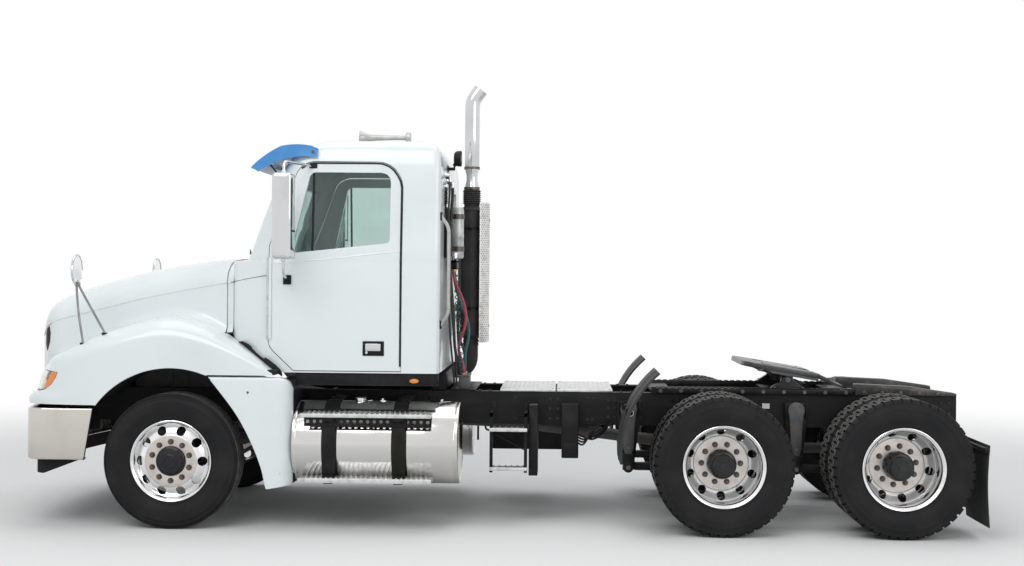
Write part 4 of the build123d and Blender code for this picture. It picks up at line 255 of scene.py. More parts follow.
SEAT_FRAME_FINISH = surface("seat_frame", (0.035, 0.036, 0.04), 0.5, worn=(0.08, 0.08, 0.08),
                            patch=14.0, bump=0.3)
SEAT_CORD = surface("seat_piping", (0.03, 0.032, 0.036), 0.7, bump=0.4, bump_scale=500.0)
RAIL_FINISH = surface("rail_black", (0.009, 0.009, 0.010), 0.5, worn=(0.032, 0.029, 0.026),
                      patch=3.5, wear=(0.48, 0.78), bump=0.35, bump_scale=120.0,
                      stretch=(0.5, 1.0, 2.5), shine=0.2)


# Mesh tools: each makes (points, faces), and gather() joins them


def gather(*parts):
    points, faces = [], []
    for part_points, part_faces in parts:
        base = len(points)
        points.extend(part_points)
        faces.extend(tuple(base + index for index in face) for face in part_faces)
    return points, faces


def mirrored(part):
    """The same form on the truck's other side."""
    points, faces = part
    return [(x, -y, z) for x, y, z in points], [tuple(reversed(face)) for face in faces]


def both(part):
    return gather(part, mirrored(part))


def moved(part, matrix):
    points, faces = part
    return [tuple(matrix @ Vector(point)) for point in points], faces


def from_bmesh(form):
    form.verts.index_update()
    points = [tuple(vert.co) for vert in form.verts]
    faces = [tuple(vert.index for vert in face.verts) for face in form.faces]
    form.free()
    return points, faces


def block(s0, s1, y0, y1, z0, z1, soft=0.004):
    """A box with rounded edges."""
    form = bmesh.new()
    bmesh.ops.create_cube(form, size=1)
    size = Vector((abs(s1 - s0), abs(y1 - y0), abs(z1 - z0)))
    middle = Vector((at((s0 + s1) / 2), (y0 + y1) / 2, (z0 + z1) / 2))
    for vert in form.verts:
        vert.co = Vector(vert.co[i] * size[i] + middle[i] for i in range(3))
    soft = min(soft, min(size) * 0.4)
    if soft > 0:
        bmesh.ops.bevel(form, geom=form.edges[:], offset=soft, segments=2, affect="EDGES",
                        profile=0.5)
    return from_bmesh(form)


def plate(outline, axis, low, high, soft=0.002):
    """An outline made solid. Axis Y takes (station, z) points, X takes (y, z) points
    between two stations, and Z takes (station, y) points."""
    form = bmesh.new()
    if axis == "Y":
        corners = [(at(s), low, z) for s, z in outline]
        push = Vector((0, high - low, 0))
    elif axis == "X":
        corners = [(at(low), y, z) for y, z in outline]
        push = Vector((low - high, 0, 0))
    else:
        corners = [(at(s), y, low) for s, y in outline]
        push = Vector((0, 0, high - low))
    face = form.faces.new([form.verts.new(corner) for corner in corners])
    grown = bmesh.ops.extrude_face_region(form, geom=[face])
    moving = [item for item in grown["geom"] if isinstance(item, bmesh.types.BMVert)]
    bmesh.ops.translate(form, vec=push, verts=moving)
    bmesh.ops.recalc_face_normals(form, faces=form.faces[:])
    if soft > 0:
        bmesh.ops.bevel(form, geom=form.edges[:], offset=soft, segments=2, affect="EDGES",
                        profile=0.5)
    return from_bmesh(form)


def circle(count, shift=0):
    """Equal turns round a full circle, the first one shifted by a share of a step."""
    return [2 * math.pi * (number + shift) / count for number in range(count)]


def polar(radius, turn):
    return radius * math.cos(turn), radius * math.sin(turn)


def grid(rows, width, join_rows=False, join_sides=False):
    """Faces over rows of points, where either way can close on itself."""
    faces = []
    for row in range(rows if join_rows else rows - 1):
        after = (row + 1) % rows
        for column in range(width if join_sides else width - 1):
            beside = (column + 1) % width
            faces.append((row * width + column, row * width + beside,
                          after * width + beside, after * width + column))
    return faces


def caps(total, width):
    """Faces that close the first and the last row of a grid."""
    return [tuple(reversed(range(width))), tuple(range(total - width, total))]


def spin(profile, centre, axis="Y", count=64, closed=False, ripple=None):
    """A body of revolution from (radius, offset along the axis) points. Ripple changes a
    point's radius by its profile number and its number round the axis."""
    points = []
    cx, cy, cz = centre
    for turn, angle in enumerate(circle(count)):
        for number, (radius, offset) in enumerate(profile):
            if ripple:
                radius += ripple(number, turn)
            u, v = polar(radius, angle)
            if axis == "Y":
                points.append((cx + u, cy + offset, cz + v))
            elif axis == "X":
                points.append((cx + offset, cy + u, cz + v))
            else:
                points.append((cx + u, cy + v, cz + offset))
    return points, grid(count, len(profile), True, closed)


def hoop(inner, outer, low, high, centre, axis="Y", count=48):
    """A ring with a rectangular section."""
    return spin([(inner, low), (outer, low), (outer, high), (inner, high)], centre, axis, count,
                closed=True)


def disc_bar(radius, low, high, centre, axis="Y", count=32, soft=0.003):
    """A round bar with softened ends."""
    profile = [(0.0001, low), (radius - soft, low), (radius, low + soft),
               (radius, high - soft), (radius - soft, high), (0.0001, high)]
    return spin(profile, centre, axis, count)


def smooth_route(points, steps=6):
    """Catmull-Rom points through a route."""
    nodes = [Vector(point) for point in points]
    nodes = [nodes[0] * 2 - nodes[1]] + nodes + [nodes[-1] * 2 - nodes[-2]]
    route = []
    for index in range(1, len(nodes) - 2):
        a, b, c, d = nodes[index - 1:index + 3]
        for step in range(steps):
            t = step / steps
            route.append(0.5 * ((2 * b) + (c - a) * t + (2 * a - 5 * b + 4 * c - d) * t * t
                                + (3 * b - a - 3 * c + d) * t * t * t))
    route.append(nodes[-2])
    return route


def curve(start, middle, end, t):
    """Place at the share t of a curve that is pulled towards its middle point."""
    return start * (1 - t) ** 2 + middle * 2 * t * (1 - t) + end * t * t


def rounded_route(points, radius, steps=6):
    """Straight runs whose corners are rounded by curves of about the radius."""
    nodes = [Vector(point) for point in points]
    route = [nodes[0]]
    for before, here, after in zip(nodes, nodes[1:], nodes[2:]):
        run_in, run_out = before - here, after - here
        reach = min(radius, run_in.length * 0.48, run_out.length * 0.48)
        start, end = here + run_in.normalized() * reach, here + run_out.normalized() * reach
        route += [curve(start, here, end, step / steps) for step in range(steps + 1)]
    route.append(nodes[-1])
    return route


def ring(here, side, over, radius, count):
    """Points of a circle round a place on a route."""
    return [tuple(here + (side * math.cos(angle) + over * math.sin(angle)) * radius)
            for angle in circle(count)]


def pipe(route, radius, count=12, capped=True):
    """A round tube along a route."""
    route = [Vector(point) for point in route]
    points = []
    side = None
    for index, here in enumerate(route):
        before, after = route[max(index - 1, 0)], route[min(index + 1, len(route) - 1)]
        heading = (after - before).normalized()
        if side is None:
            side = heading.orthogonal().normalized()
        side = (side - heading * side.dot(heading)).normalized()
        points.extend(ring(here, side, heading.cross(side), radius, count))
    faces = grid(len(route), count, join_sides=True)
    if capped:
        faces += caps(len(points), count)
    return points, faces


def skin(rows, loop=False, ends=False):
    """A surface over rows of as many points each."""
    points = [tuple(point) for row in rows for point in row]
    width = len(rows[0])
    faces = grid(len(rows), width, join_sides=loop)
    if ends:
        faces += caps(len(points), width)
    return points, faces


def raw_object(name, part):
    mesh = bpy.data.meshes.new(name)
    mesh.from_pydata(part[0], [], part[1])
    mesh.update()
    thing = bpy.data.objects.new(name, mesh)
    bpy.context.scene.collection.objects.link(thing)
    return thing


def settle(thing):
    """Applies an object's modifiers to its mesh."""
    bpy.context.view_layer.update()
    graph = bpy.context.evaluated_depsgraph_get()
    mesh = bpy.data.meshes.new_from_object(thing.evaluated_get(graph))
    thing.modifiers.clear()
    old = thing.data
    thing.data = mesh
    bpy.data.meshes.remove(old)
    return thing


def carve(thing, cutter, operation="DIFFERENCE", solver="MANIFOLD"):
    """Cuts an object by a form."""
    tool = face_out(raw_object("cutter", cutter))
    step = thing.modifiers.new("cut", "BOOLEAN")
    step.operation = operation
    step.solver = solver
    step.object = tool
    settle(thing)
    bpy.data.objects.remove(tool)
    return thing


def thicken(thing, depth):
    step = thing.modifiers.new("wall", "SOLIDIFY")
    step.thickness = depth
    step.offset = -1
    step.use_even_offset = True
    return settle(thing)


def face_out(thing):
    form = bmesh.new()
    form.from_mesh(thing.data)
    bmesh.ops.remove_doubles(form, verts=form.verts[:], dist=0.00001)
    bmesh.ops.recalc_face_normals(form, faces=form.faces[:])
    form.to_mesh(thing.data)
    form.free()
    return thing


def dress(thing, material, body, replaces=(), crease=35.0):
    """Gives a piece its finish, its body and the nodes that it stands for."""
    if material:
        thing.data.materials.append(material)
    for face in thing.data.polygons:
        face.use_smooth = True
    thing.data.set_sharp_from_angle(angle=math.radians(crease))
    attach(thing, body)
    if replaces:
        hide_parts(*replaces)
    return thing


def piece(name, part, material, body, replaces=(), crease=35.0):
    return dress(face_out(raw_object(name, part)), material, body, replaces, crease)


def repaint(node, material):
    """A better finish on a CAD node that is kept."""
    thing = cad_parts[node]
    thing.data.materials.clear()
    thing.data.materials.append(material)


def bolt(centre, axis="Y", radius=0.012, height=0.010, sign=1):
    """A hexagon bolt head on a washer."""
    washer = disc_bar(radius * 1.25, 0, sign * height * 0.25, centre, axis, 16, 0)
    head = disc_bar(radius, 0, sign * height, centre, axis, 6, 0)
    return gather(washer, head)


def blended(table, station):
    """Values of a table's columns at a station, by smooth interpolation between rows."""
    if station <= table[0][0]:
        return list(table[0][1:])
    for index in range(len(table) - 1):
        low, high = table[index], table[index + 1]
        if low[0] <= station <= high[0]:
            before = table[max(index - 1, 0)]
            after = table[min(index + 2, len(table) - 1)]
            span = high[0] - low[0]
            t = (station - low[0]) / span
            values = []
            for column in range(1, len(low)):
                rise_in = (high[column] - before[column]) / (high[0] - before[0]) * span
                rise_out = (after[column] - low[column]) / (after[0] - low[0]) * span
                values.append((2 * t ** 3 - 3 * t ** 2 + 1) * low[column]
                              + (t ** 3 - 2 * t ** 2 + t) * rise_in
                              + (3 * t ** 2 - 2 * t ** 3) * high[column]
                              + (t ** 3 - t ** 2) * rise_out)
            return values
    return list(table[-1][1:])


def carved(part, *steps, solver="MANIFOLD"):
    """A part after boolean steps, each an operation and a cutting part."""
    thing = raw_object("blank", part)
    for operation, cutter in steps:
        carve(thing, cutter, operation, solver)
    return taken(thing)


def welded(part):
    """A part with its double points joined and its faces turned outwards."""
    return taken(face_out(raw_object("blank", part)))


def taken(thing):
    """The points and faces of an object, which is then removed."""
    mesh = thing.data
    points = [tuple(vert.co) for vert in mesh.vertices]
    faces = [tuple(face.vertices) for face in mesh.polygons]
    bpy.data.objects.remove(thing)
    bpy.data.meshes.remove(mesh)
    return points, faces


def assembly(name, layers, body, replaces=(), crease=35.0):
    """One piece from several (part, finish) layers."""
    thing = raw_object(name, gather(*[part for part, _ in layers]))
    finishes = []
    for _, finish in layers:
        if finish not in finishes:
            finishes.append(finish)
            thing.data.materials.append(finish)
    first = 0
    for part, finish in layers:
        number = finishes.index(finish)
        for face in thing.data.polygons[first:first + len(part[1])]:
            face.material_index = number
        first += len(part[1])
    return dress(face_out(thing), None, body, replaces, crease)


def sided(part, side):
    return part if side > 0 else mirrored(part)


def side_name(side):
    return "left" if side > 0 else "right"


# Hoses between the cab and the frame, held at both ends

HOSE_D = 0.022
RACK_Z = 1.925
HOSE_TOP_S = 3.100
HOSE_FOOT_S = 3.190
HOSE_FOOT_Z = 1.100
# half widths of the red, the blue and the black hose at their ends
HOSE_TOP_Y = (0.300, 0.240, 0.180)
HOSE_FOOT_Y = (0.330, 0.220, 0.130)
# name, finish, real length, route as (station, y, z)
HOSES = [
    ("hose_red", HOSE_RED, 0.859,
     [(HOSE_TOP_S, 0.300, RACK_Z), (HOSE_TOP_S, 0.300, 1.862), (3.140, 0.303, 1.768),
      (3.192, 0.308, 1.650), (3.208, 0.314, 1.520), (3.172, 0.320, 1.404),
      (3.138, 0.326, 1.296), (HOSE_FOOT_S, 0.330, 1.184), (HOSE_FOOT_S, 0.330, HOSE_FOOT_Z)]),
    ("hose_blue", HOSE_BLUE, 0.847,
     [(HOSE_TOP_S, 0.240, RACK_Z), (HOSE_TOP_S, 0.240, 1.856), (3.122, 0.238, 1.752),
      (3.166, 0.232, 1.632), (3.214, 0.226, 1.520), (3.224, 0.222, 1.396),
      (3.196, 0.220, 1.288), (HOSE_FOOT_S, 0.220, 1.186), (HOSE_FOOT_S, 0.220, HOSE_FOOT_Z)]),
    ("hose_black", HOSE_BLACK, 0.842,
     [(HOSE_TOP_S, 0.180, RACK_Z), (HOSE_TOP_S, 0.180, 1.860), (3.132, 0.172, 1.756),
      (3.150, 0.160, 1.636), (3.128, 0.146, 1.512), (3.130, 0.136, 1.390),
      (3.176, 0.130, 1.290), (HOSE_FOOT_S, 0.130, 1.190), (HOSE_FOOT_S, 0.130, HOSE_FOOT_Z)]),
]


def make_hose(name, finish, length, route):
    data = bpy.data.curves.new(name, "CURVE")
    data.dimensions = "3D"
    data.bevel_depth = HOSE_D / 2
    data.bevel_resolution = 4
    data.resolution_u = 16
    data.use_fill_caps = True
    spline = data.splines.new("NURBS")
    spline.points.add(len(route) - 1)
    for point, (s, y, z) in zip(spline.points, route):
        point.co = (at(s), y, z, 1)
    spline.order_u = 3
    spline.use_endpoint_u = True
    hose = bpy.data.objects.new(name + "_line", data)
    bpy.context.scene.collection.objects.link(hose)
    hose.data.materials.append(finish)
    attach(hose, "chassis")
    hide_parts(name)


for hose_facts in HOSES:
    make_hose(*hose_facts)


# Wheels and tyres, each built about its own centre with the outboard side at +Y

NUT_COUNT = 10
NUT_CIRCLE_R = 0.143
HOLE_COUNT = 10
# radius of the circle of hand holes, and of a hole
REAR_HOLES = (0.2365, 0.031)


def sidewall(radius):
    """Half of a tyre's section, from the bead to the shoulder, as (radius, offset)."""
    rise = radius - 0.498
    low = [(0.2868, 0.0990), (0.2995, 0.0995), (0.3040, 0.1050), (0.3080, 0.1120),
           (0.3150, 0.1150), (0.3210, 0.1140), (0.3270, 0.1165), (0.3450, 0.1250),
           (0.3700, 0.1325), (0.3950, 0.1357), (0.4150, 0.1352), (0.4300, 0.1333),
           (0.4335, 0.1345), (0.4375, 0.1340), (0.4410, 0.1305)]
    high = [(0.4560, 0.1262), (0.4640, 0.1240), (0.4680, 0.1252), (0.4720, 0.1244)]
    return low + [(r + rise, offset) for r, offset in high]


# shoulder and grooves of the steered tyre's tread, as (depth below the tread, offset)
RIB_TREAD = [
    (0.0215, 0.1212), (0.0185, 0.1165), (0.0165, 0.1205), (0.0110, 0.1165), (0.0045, 0.1110),
    (0.0012, 0.1060), (0.0, 0.1000), (0.0, 0.0725), (0.0110, 0.0705), (0.0110, 0.0645),
    (0.0, 0.0625), (0.0, 0.0295), (0.0110, 0.0275), (0.0110, 0.0205), (0.0, 0.0185), (0.0, 0.0),
]
# the same for the driven tyres; the last column says which row of blocks holds the point
BLOCK_TREAD = [
    (0.0225, 0.1225, 1), (0.0150, 0.1195, 1), (0.0060, 0.1130, 1), (0.0012, 0.1080, 1),
    (0.0, 0.1020, 1), (0.0, 0.0640, 1), (0.0150, 0.0620, 0), (0.0150, 0.0560, 0),
    (0.0, 0.0540, 2), (0.0, 0.0090, 2), (0.0130, 0.0070, 0), (0.0130, 0.0, 0),
]
BLOCK_COUNT = 46
BLOCK_DEPTH = 0.013
# how far below the tread a face still counts as touching the road
ROAD_DEPTH = 0.004


def mirrored_section(half):
    """A whole section from the half that lies on one side of offset zero."""
    other = [(point[0], -point[1], *point[2:]) for point in reversed(half)]
    if half[-1][1] == 0.0:
        other = other[1:]
    return half + other


def rib_tyre():
    """Steered wheel's tyre: five ribs, and a thin groove at each shoulder."""
    radius = FRONT_TYRE_R
    half = sidewall(radius) + [(radius - depth, offset) for depth, offset in RIB_TREAD]
    section = mirrored_section(half)
    whole = spin(section, (0, 0, 0), "Y", 128, closed=True)
    return split_tread(whole, radius)


def block_tyre():
    """Driven wheel's tyre: four rows of blocks, the middle rows set between the others."""
    radius = REAR_TYRE_R
    half = [(r, offset, 0) for r, offset in sidewall(radius)]
    half += [(radius - depth, offset, row) for depth, offset, row in BLOCK_TREAD]
    section = mirrored_section(half)
    pitch = 2 * math.pi / BLOCK_COUNT
    edges = (0.0, 0.03, 0.22, 0.25, 0.5, 0.53, 0.72, 0.75)
    angles = [pitch * (block_number + edge) for block_number in range(BLOCK_COUNT)
              for edge in edges]
    points = []
    for number, angle in enumerate(angles):
        phase = number % len(edges)
        for r, offset, row in section:
            low = (row == 1 and phase in (1, 2)) or (row == 2 and phase in (5, 6))
            r = r - BLOCK_DEPTH if low else r
            shrink = 0.94 if low and abs(offset) > 0.1 else 1
            points.append((r * math.cos(angle), offset * shrink, r * math.sin(angle)))
    faces = grid(len(angles), len(section), True, True)
    return split_tread((points, faces), radius)


def split_tread(part, radius):
    """The faces that touch the road, and all others, as two parts on the same points."""
    points, faces = part
    road, rest = [], []
    for face in faces:
        far = min(math.hypot(points[index][0], points[index][2]) for index in face)
        (road if far > radius - ROAD_DEPTH else rest).append(face)
    return (points, road), (points, rest)


def drilled(disc, circle_r, hole_r, low, high):
    """A disc with its ten hand holes."""
    cutters = []
    for across, up in (polar(circle_r, turn) for turn in circle(HOLE_COUNT, 0.5)):
        cutters.append(disc_bar(hole_r, low, high, (across, 0, up), "Y", 28, 0))
    return carved(welded(disc), ("DIFFERENCE", gather(*cutters)), solver="EXACT")


def lug_nuts(face):
    """Wheel nuts with their washers and stud ends."""
    found = []
    for across, up in (polar(NUT_CIRCLE_R, turn) for turn in circle(NUT_COUNT)):
        centre = (across, face, up)
        found.append(disc_bar(0.0215, 0, 0.006, centre, "Y", 20, 0.0015))
        found.append(disc_bar(0.0168, 0.004, 0.022, centre, "Y", 6, 0.0015))
        found.append(disc_bar(0.0100, 0.02, 0.031, centre, "Y", 12, 0.0015))
    return gather(*found)


def rim(depth):
    """Barrel of a disc wheel with a rolled lip on each side."""
    outer = [(0.2700, depth), (0.2705, 0.0850), (0.2740, 0.0960), (0.2800, 0.1020),
             (0.2880, 0.1075), (0.2920, 0.1112), (0.2962, 0.1120), (0.2992, 0.1105),
             (0.3000, 0.1070), (0.2988, 0.1020), (0.2940, 0.1000), (0.2860, 0.0990),
             (0.2855, 0.0700), (0.2780, 0.0500), (0.2780, -0.0500), (0.2855, -0.0700),
             (0.2860, -0.0990), (0.2960, -0.1000), (0.3000, -0.1060), (0.2960, -0.1120),
             (0.2880, -0.1080), (0.2760, -0.0950), (0.2700, -0.0800)]
    return spin(outer, (0, 0, 0), "Y", 96, closed=True)


def front_wheel():
    """Layers of the steered wheel: bulged disc, bolting face, nuts, hub and cap."""
    disc = spin([(0.2715, 0.0640), (0.2640, 0.0660), (0.2550, 0.0705), (0.2440, 0.0790),
                 (0.2300, 0.0880), (0.2150, 0.0950), (0.2020, 0.0990), (0.1930, 0.1005),
                 (0.1930, 0.0880), (0.2150, 0.0800), (0.2440, 0.0650), (0.2715, 0.0500)],
                (0, 0, 0), "Y", 96, closed=True)
    disc = drilled(disc, 0.229, 0.034, 0.03, 0.13)
    face = spin([(0.1950, 0.0950), (0.1935, 0.1020), (0.1900, 0.1045), (0.1860, 0.1050),
                 (0.1130, 0.1050), (0.1080, 0.1035), (0.1060, 0.0900), (0.1950, 0.0860)],
                (0, 0, 0), "Y", 96, closed=True)
    hub = spin([(0.0001, 0.0900), (0.1060, 0.0900), (0.1060, 0.1180), (0.1030, 0.1210),
                (0.0960, 0.1225), (0.0930, 0.1240), (0.0890, 0.1340), (0.0800, 0.1365),
                (0.0560, 0.1370), (0.0540, 0.1290), (0.0001, 0.1270)], (0, 0, 0), "Y", 64)
    back = spin([(0.0001, -0.0780), (0.1050, -0.0780), (0.1050, 0.0950), (0.0001, 0.0950)],
                (0, 0, 0), "Y", 48)
    cap = spin([(0.0540, 0.1280), (0.0545, 0.1395), (0.0500, 0.1425), (0.0420, 0.1430),
                (0.0400, 0.1380), (0.0300, 0.1372), (0.0001, 0.1370)], (0, 0, 0), "Y", 48)
    screws = [disc_bar(0.0065, 0, 0.005, (across, 0.1360, up), "Y", 6, 0.001)
              for across, up in (polar(0.0715, turn) for turn in circle(6))]
    return [(rim(0.055), ALLOY), (disc, ALLOY), (face, SATIN_ALLOY),
            (lug_nuts(0.105), NUT_STEEL), (gather(hub, *screws), BLACK_GLOSS), (back, IRON),
            (cap, BLACK_GLOSS)]


def rear_disc_layers():
    """Disc and bolting face of the outer twin wheel; the two discs meet at offset 0."""
    disc = spin([(0.2715, 0.0940), (0.2650, 0.0900), (0.2560, 0.0780), (0.2450, 0.0580),
                 (0.2330, 0.0400), (0.2230, 0.0310), (0.2150, 0.0285), (0.2100, 0.0300),
                 (0.2050, 0.0290), (0.2000, 0.0235), (0.1960, 0.0210), (0.1960, 0.0090),
                 (0.2200, 0.0150), (0.2450, 0.0400), (0.2715, 0.0780)],
                (0, 0, 0), "Y", 96, closed=True)
    disc = drilled(disc, *REAR_HOLES, -0.02, 0.11)
    face = spin([(0.2000, 0.0030), (0.2000, 0.0220), (0.1950, 0.0225), (0.1060, 0.0225),
                 (0.1060, 0.0030)], (0, 0, 0), "Y", 96, closed=True)
    return disc, face


def twin_wheel():
    """Layers of a twin wheel about the place where its two discs meet."""
    disc, face = rear_disc_layers()
    flipped = mirrored(disc)
    outer_shift = Matrix.Translation((0, DUAL_SPACING / 2, 0))
    inner_shift = Matrix.Translation((0, -DUAL_SPACING / 2, 0))
    inner_rim = moved(mirrored(rim(0.075)), inner_shift)
    hub = spin([(0.0001, 0.0150), (0.1060, 0.0150), (0.1060, 0.1160), (0.1000, 0.1260),
                (0.0980, 0.1600), (0.0950, 0.1650), (0.0880, 0.1680), (0.0840, 0.1690),
                (0.0830, 0.2120), (0.0790, 0.2170), (0.0700, 0.2190), (0.0300, 0.2200),
                (0.0280, 0.2240), (0.0001, 0.2245)], (0, 0, 0), "Y", 64)
    studs = [disc_bar(0.0085, 0, 0.009, (across, 0.2185, up), "Y", 6, 0.001)
             for across, up in (polar(0.0580, turn) for turn in circle(8))]
    back = spin([(0.0001, -0.2700), (0.1050, -0.2700), (0.1650, -0.1900), (0.1650, -0.0200),
                 (0.1050, 0.0000), (0.0001, 0.0000)], (0, 0, 0), "Y", 48)
    return [(moved(rim(0.010), outer_shift), ALLOY), (inner_rim, ALLOY), (disc, DISC_ALLOY),
            (flipped, ALLOY), (face, SATIN_ALLOY),
            (mirrored(face), SATIN_ALLOY), (lug_nuts(0.0225), NUT_STEEL),
            (gather(hub, *studs), BLACK_GLOSS), (back, IRON)]


STEER_TURN = 18
TWIN_TURNS = (0, 9)


def placed(layers, side, station, y, z, turn=0.0):
    """Layers moved to their axle end and turned about it, in degrees."""
    shift = Matrix.Translation((at(station), side * y, z))
    shift = shift @ Matrix.Rotation(math.radians(turn), 4, "Y")
    return [(moved(sided(part, side), shift), finish) for part, finish in layers]


def make_wheels():
    road, rest = rib_tyre()
    drive_road, drive_rest = block_tyre()
    steer_layers, twin_layers = front_wheel(), twin_wheel()
    twin_y = DUAL_OUTER_Y - DUAL_SPACING / 2
    for side in (1, -1):
        name = side_name(side)
        body = f"wheel_front_{name}"
        tyre = placed([(road, TREAD), (rest, TYRE)], side, FRONT_AXLE, FRONT_TRACK_Y,
                      FRONT_TYRE_R)
        assembly(f"ribbed_tyre_{name}", tyre, body, (f"tyre_front_{name}",))
        wheel = placed(steer_layers, side, FRONT_AXLE, FRONT_TRACK_Y, FRONT_TYRE_R, STEER_TURN)
        assembly(f"steer_wheel_{name}", wheel, body,
                 (f"wheel_front_{name}",))
        for number, station in enumerate(REAR_AXLES, 1):
            body = f"wheels_rear_{number}_{name}"
            layers = []
            for y in (DUAL_OUTER_Y, DUAL_OUTER_Y - DUAL_SPACING):
                layers += placed([(drive_road, TREAD), (drive_rest, TYRE)], side, station, y,
                                 REAR_TYRE_R)
            assembly(f"twin_tyres_{number}_{name}", layers, body,
                     (f"tyres_rear_{number}_{name}",))
            assembly(f"twin_wheel_{number}_{name}",
                     placed(twin_layers, side, station, twin_y, REAR_TYRE_R,
                            TWIN_TURNS[number - 1]), body,
                     (f"wheel_rear_{number}_{name}",))


make_wheels()


# Hood and fenders: one skin over cross sections

HOOD_BOTTOM = 0.905
HOOD_REAR = 1.442
HOOD_SEAM_Z = 1.135
ARCH_R = 0.690
FENDER_HALF = 1.180
SKIN_T = 0.014
COWL_FRONT = 1.462
COWL_HALF = 0.900
COWL_SIDE = 1.800
COWL_TOP = 1.978
CAB_HALF = 1.020
CAB_BOTTOM = 1.150
CAB_REAR = 3.050
# just clear of the cab's rear wall
BACK_WALL_S = 3.0503
SEAM_GAP = 0.012
# half width where a cutting form has passed the truck's side
PAST_SIDE = 1.30

# station, half width at the crease, crease height, half width of the flat top, top height
HOOD_SECTIONS = [
    (-0.092, 0.470, 1.380, 0.280, 1.530),
    (-0.084, 0.490, 1.392, 0.295, 1.556),
    (-0.066, 0.515, 1.415, 0.310, 1.588),
    (-0.038, 0.560, 1.452, 0.330, 1.624),
    (0.056, 0.620, 1.505, 0.360, 1.678),
    (0.190, 0.640, 1.542, 0.370, 1.736),
    (0.450, 0.685, 1.607, 0.390, 1.816),
    (0.730, 0.731, 1.676, 0.415, 1.886),
    (1.080, 0.790, 1.747, 0.450, 1.951),
    (1.300, 0.845, 1.786, 0.495, 1.979),
    (HOOD_REAR, 0.880, 1.809, 0.520, 1.984),
]
# station, outer half width, inner height, crown half width, crown height, shoulder height
FENDER_SECTIONS = [
    (-0.092, 0.486, 1.090, 0.482, 1.070, 1.030),
    (-0.084, 0.510, 1.094, 0.500, 1.074, 1.032),
    (-0.066, 0.560, 1.100, 0.540, 1.080, 1.035),
    (-0.040, 0.640, 1.112, 0.600, 1.090, 1.040),
    (0.010, 0.850, 1.180, 0.770, 1.155, 1.080),
    (0.070, 1.000, 1.238, 0.880, 1.198, 1.102),
    (0.150, 1.090, 1.290, 0.930, 1.245, 1.130),
    (0.310, 1.150, 1.372, 0.950, 1.325, 1.190),
    (0.567, 1.176, 1.472, 0.955, 1.436, 1.290),
    (0.889, 1.180, 1.558, 0.955, 1.530, 1.375),
    (1.100, 1.180, 1.574, 0.960, 1.546, 1.390),
    (1.309, 1.180, 1.530, 0.970, 1.500, 1.350),
    (HOOD_REAR, 1.180, 1.446, 1.000, 1.434, 1.310),
]
# station, height of the seam along the cab, shoulder height
TAIL_SECTIONS = [
    (HOOD_REAR, 1.434, 1.310),
    (1.600, 1.338, 1.255),
    (COWL_SIDE, 1.194, 1.166),
    (1.850, 1.158, 1.142),
]
CHIN_LEVELS = (1.018, 0.998, 0.978, 0.958, 0.932, HOOD_BOTTOM)
# height, reach forward of the fenders' front
CHIN_REACH = [(HOOD_BOTTOM, 0.074), (0.932, 0.081), (0.958, 0.072), (0.978, 0.052),
              (0.998, 0.014), (1.018, 0.0), (1.051, -0.008), (1.109, -0.028),
              (1.165, -0.042), (1.200, -0.036), (1.260, 0.0), (2.200, 0.0)]
FILLET = 0.085
CREASE_STEP = 0.007


def quarter(y0, z0, y1, z1, count):
    """A quarter ellipse from a crown at (y0, z0) out and down to (y1, z1)."""
    return [(y0 + (y1 - y0) * math.sin(t), z1 + (z0 - z1) * math.cos(t))
            for t in spread(0, math.pi / 2, count)]


def upper_section(station):
    """Left half of the hood from its middle down to where the fender's fillet ends."""
    crease_y, crease_z, top_y, top_z = blended(HOOD_SECTIONS, station)
    _, inner_z, crown_y, crown_z, _ = blended(FENDER_SECTIONS, station)
    crown = 0.012 * min(1, max(0, station + 0.1) / 0.5)
    line = [(top_y * share, top_z + crown * (1 - share ** 2))
            for share in (0, 0.25, 0.5, 0.75, 0.92)]
    line += quarter(top_y, top_z, crease_y, crease_z, 12)
    side_y = crease_y - CREASE_STEP
    foot_z = inner_z + (crown_z - inner_z) * max(0, crease_y - 0.470) / max(crown_y - 0.470, 0.01)
    foot_z = max(min(foot_z, crease_z - 0.05), crown_z)
    reach = min(FILLET, (crown_y - side_y) * 0.6, (crease_z - foot_z) * 0.6)
    reach = max(reach, 0.002)
    line += [(side_y, crease_z - 0.005), (side_y, crease_z - 0.02)]
    start_z = foot_z + reach
    for share in (0.35, 0.7):
        line.append((side_y, crease_z - 0.02 + (start_z - crease_z + 0.02) * share))
    end = (side_y + reach, foot_z + (crown_z - foot_z) * reach / max(crown_y - side_y, 0.01))
    line += [(curve(side_y, side_y, end[0], step / 7), curve(start_z, foot_z, end[1], step / 7))
             for step in range(8)]
    return line


def outer_section(inner, crown_y, crown_z, outer_y, shoulder_z):
    """A fender from its inner edge over the crown and down its outer side."""
    line = [(inner[0] + (crown_y - inner[0]) * share, inner[1] + (crown_z - inner[1]) * share)
            for share in (0, 0.35, 0.7)]
    line += quarter(crown_y, crown_z, outer_y, shoulder_z, 14)
    line += [(outer_y, shoulder_z + (CHIN_LEVELS[0] - shoulder_z) * share)
             for share in (0.35, 0.70)]
    line += [(outer_y, z) for z in CHIN_LEVELS]
    return line


def chin(station, z):
    """How far the nose below the crown stands forward, with a ledge under the lamps."""
    reach = blended(CHIN_REACH, z)[0]
    grow = 1 - (1 - min(1.0, max(0.0, (station + 0.092) / 0.160))) ** 1.5
    fade = min(1.0, max(0.0, (0.420 - station) / 0.350))
    return reach * grow * fade * fade * (3 - 2 * fade)


def cowl_half(station):
    corner = COWL_FRONT + 0.030
    share = min(1, max(0, (station - corner) / (COWL_SIDE - corner)))
    return COWL_HALF + share * (CAB_HALF - COWL_HALF)


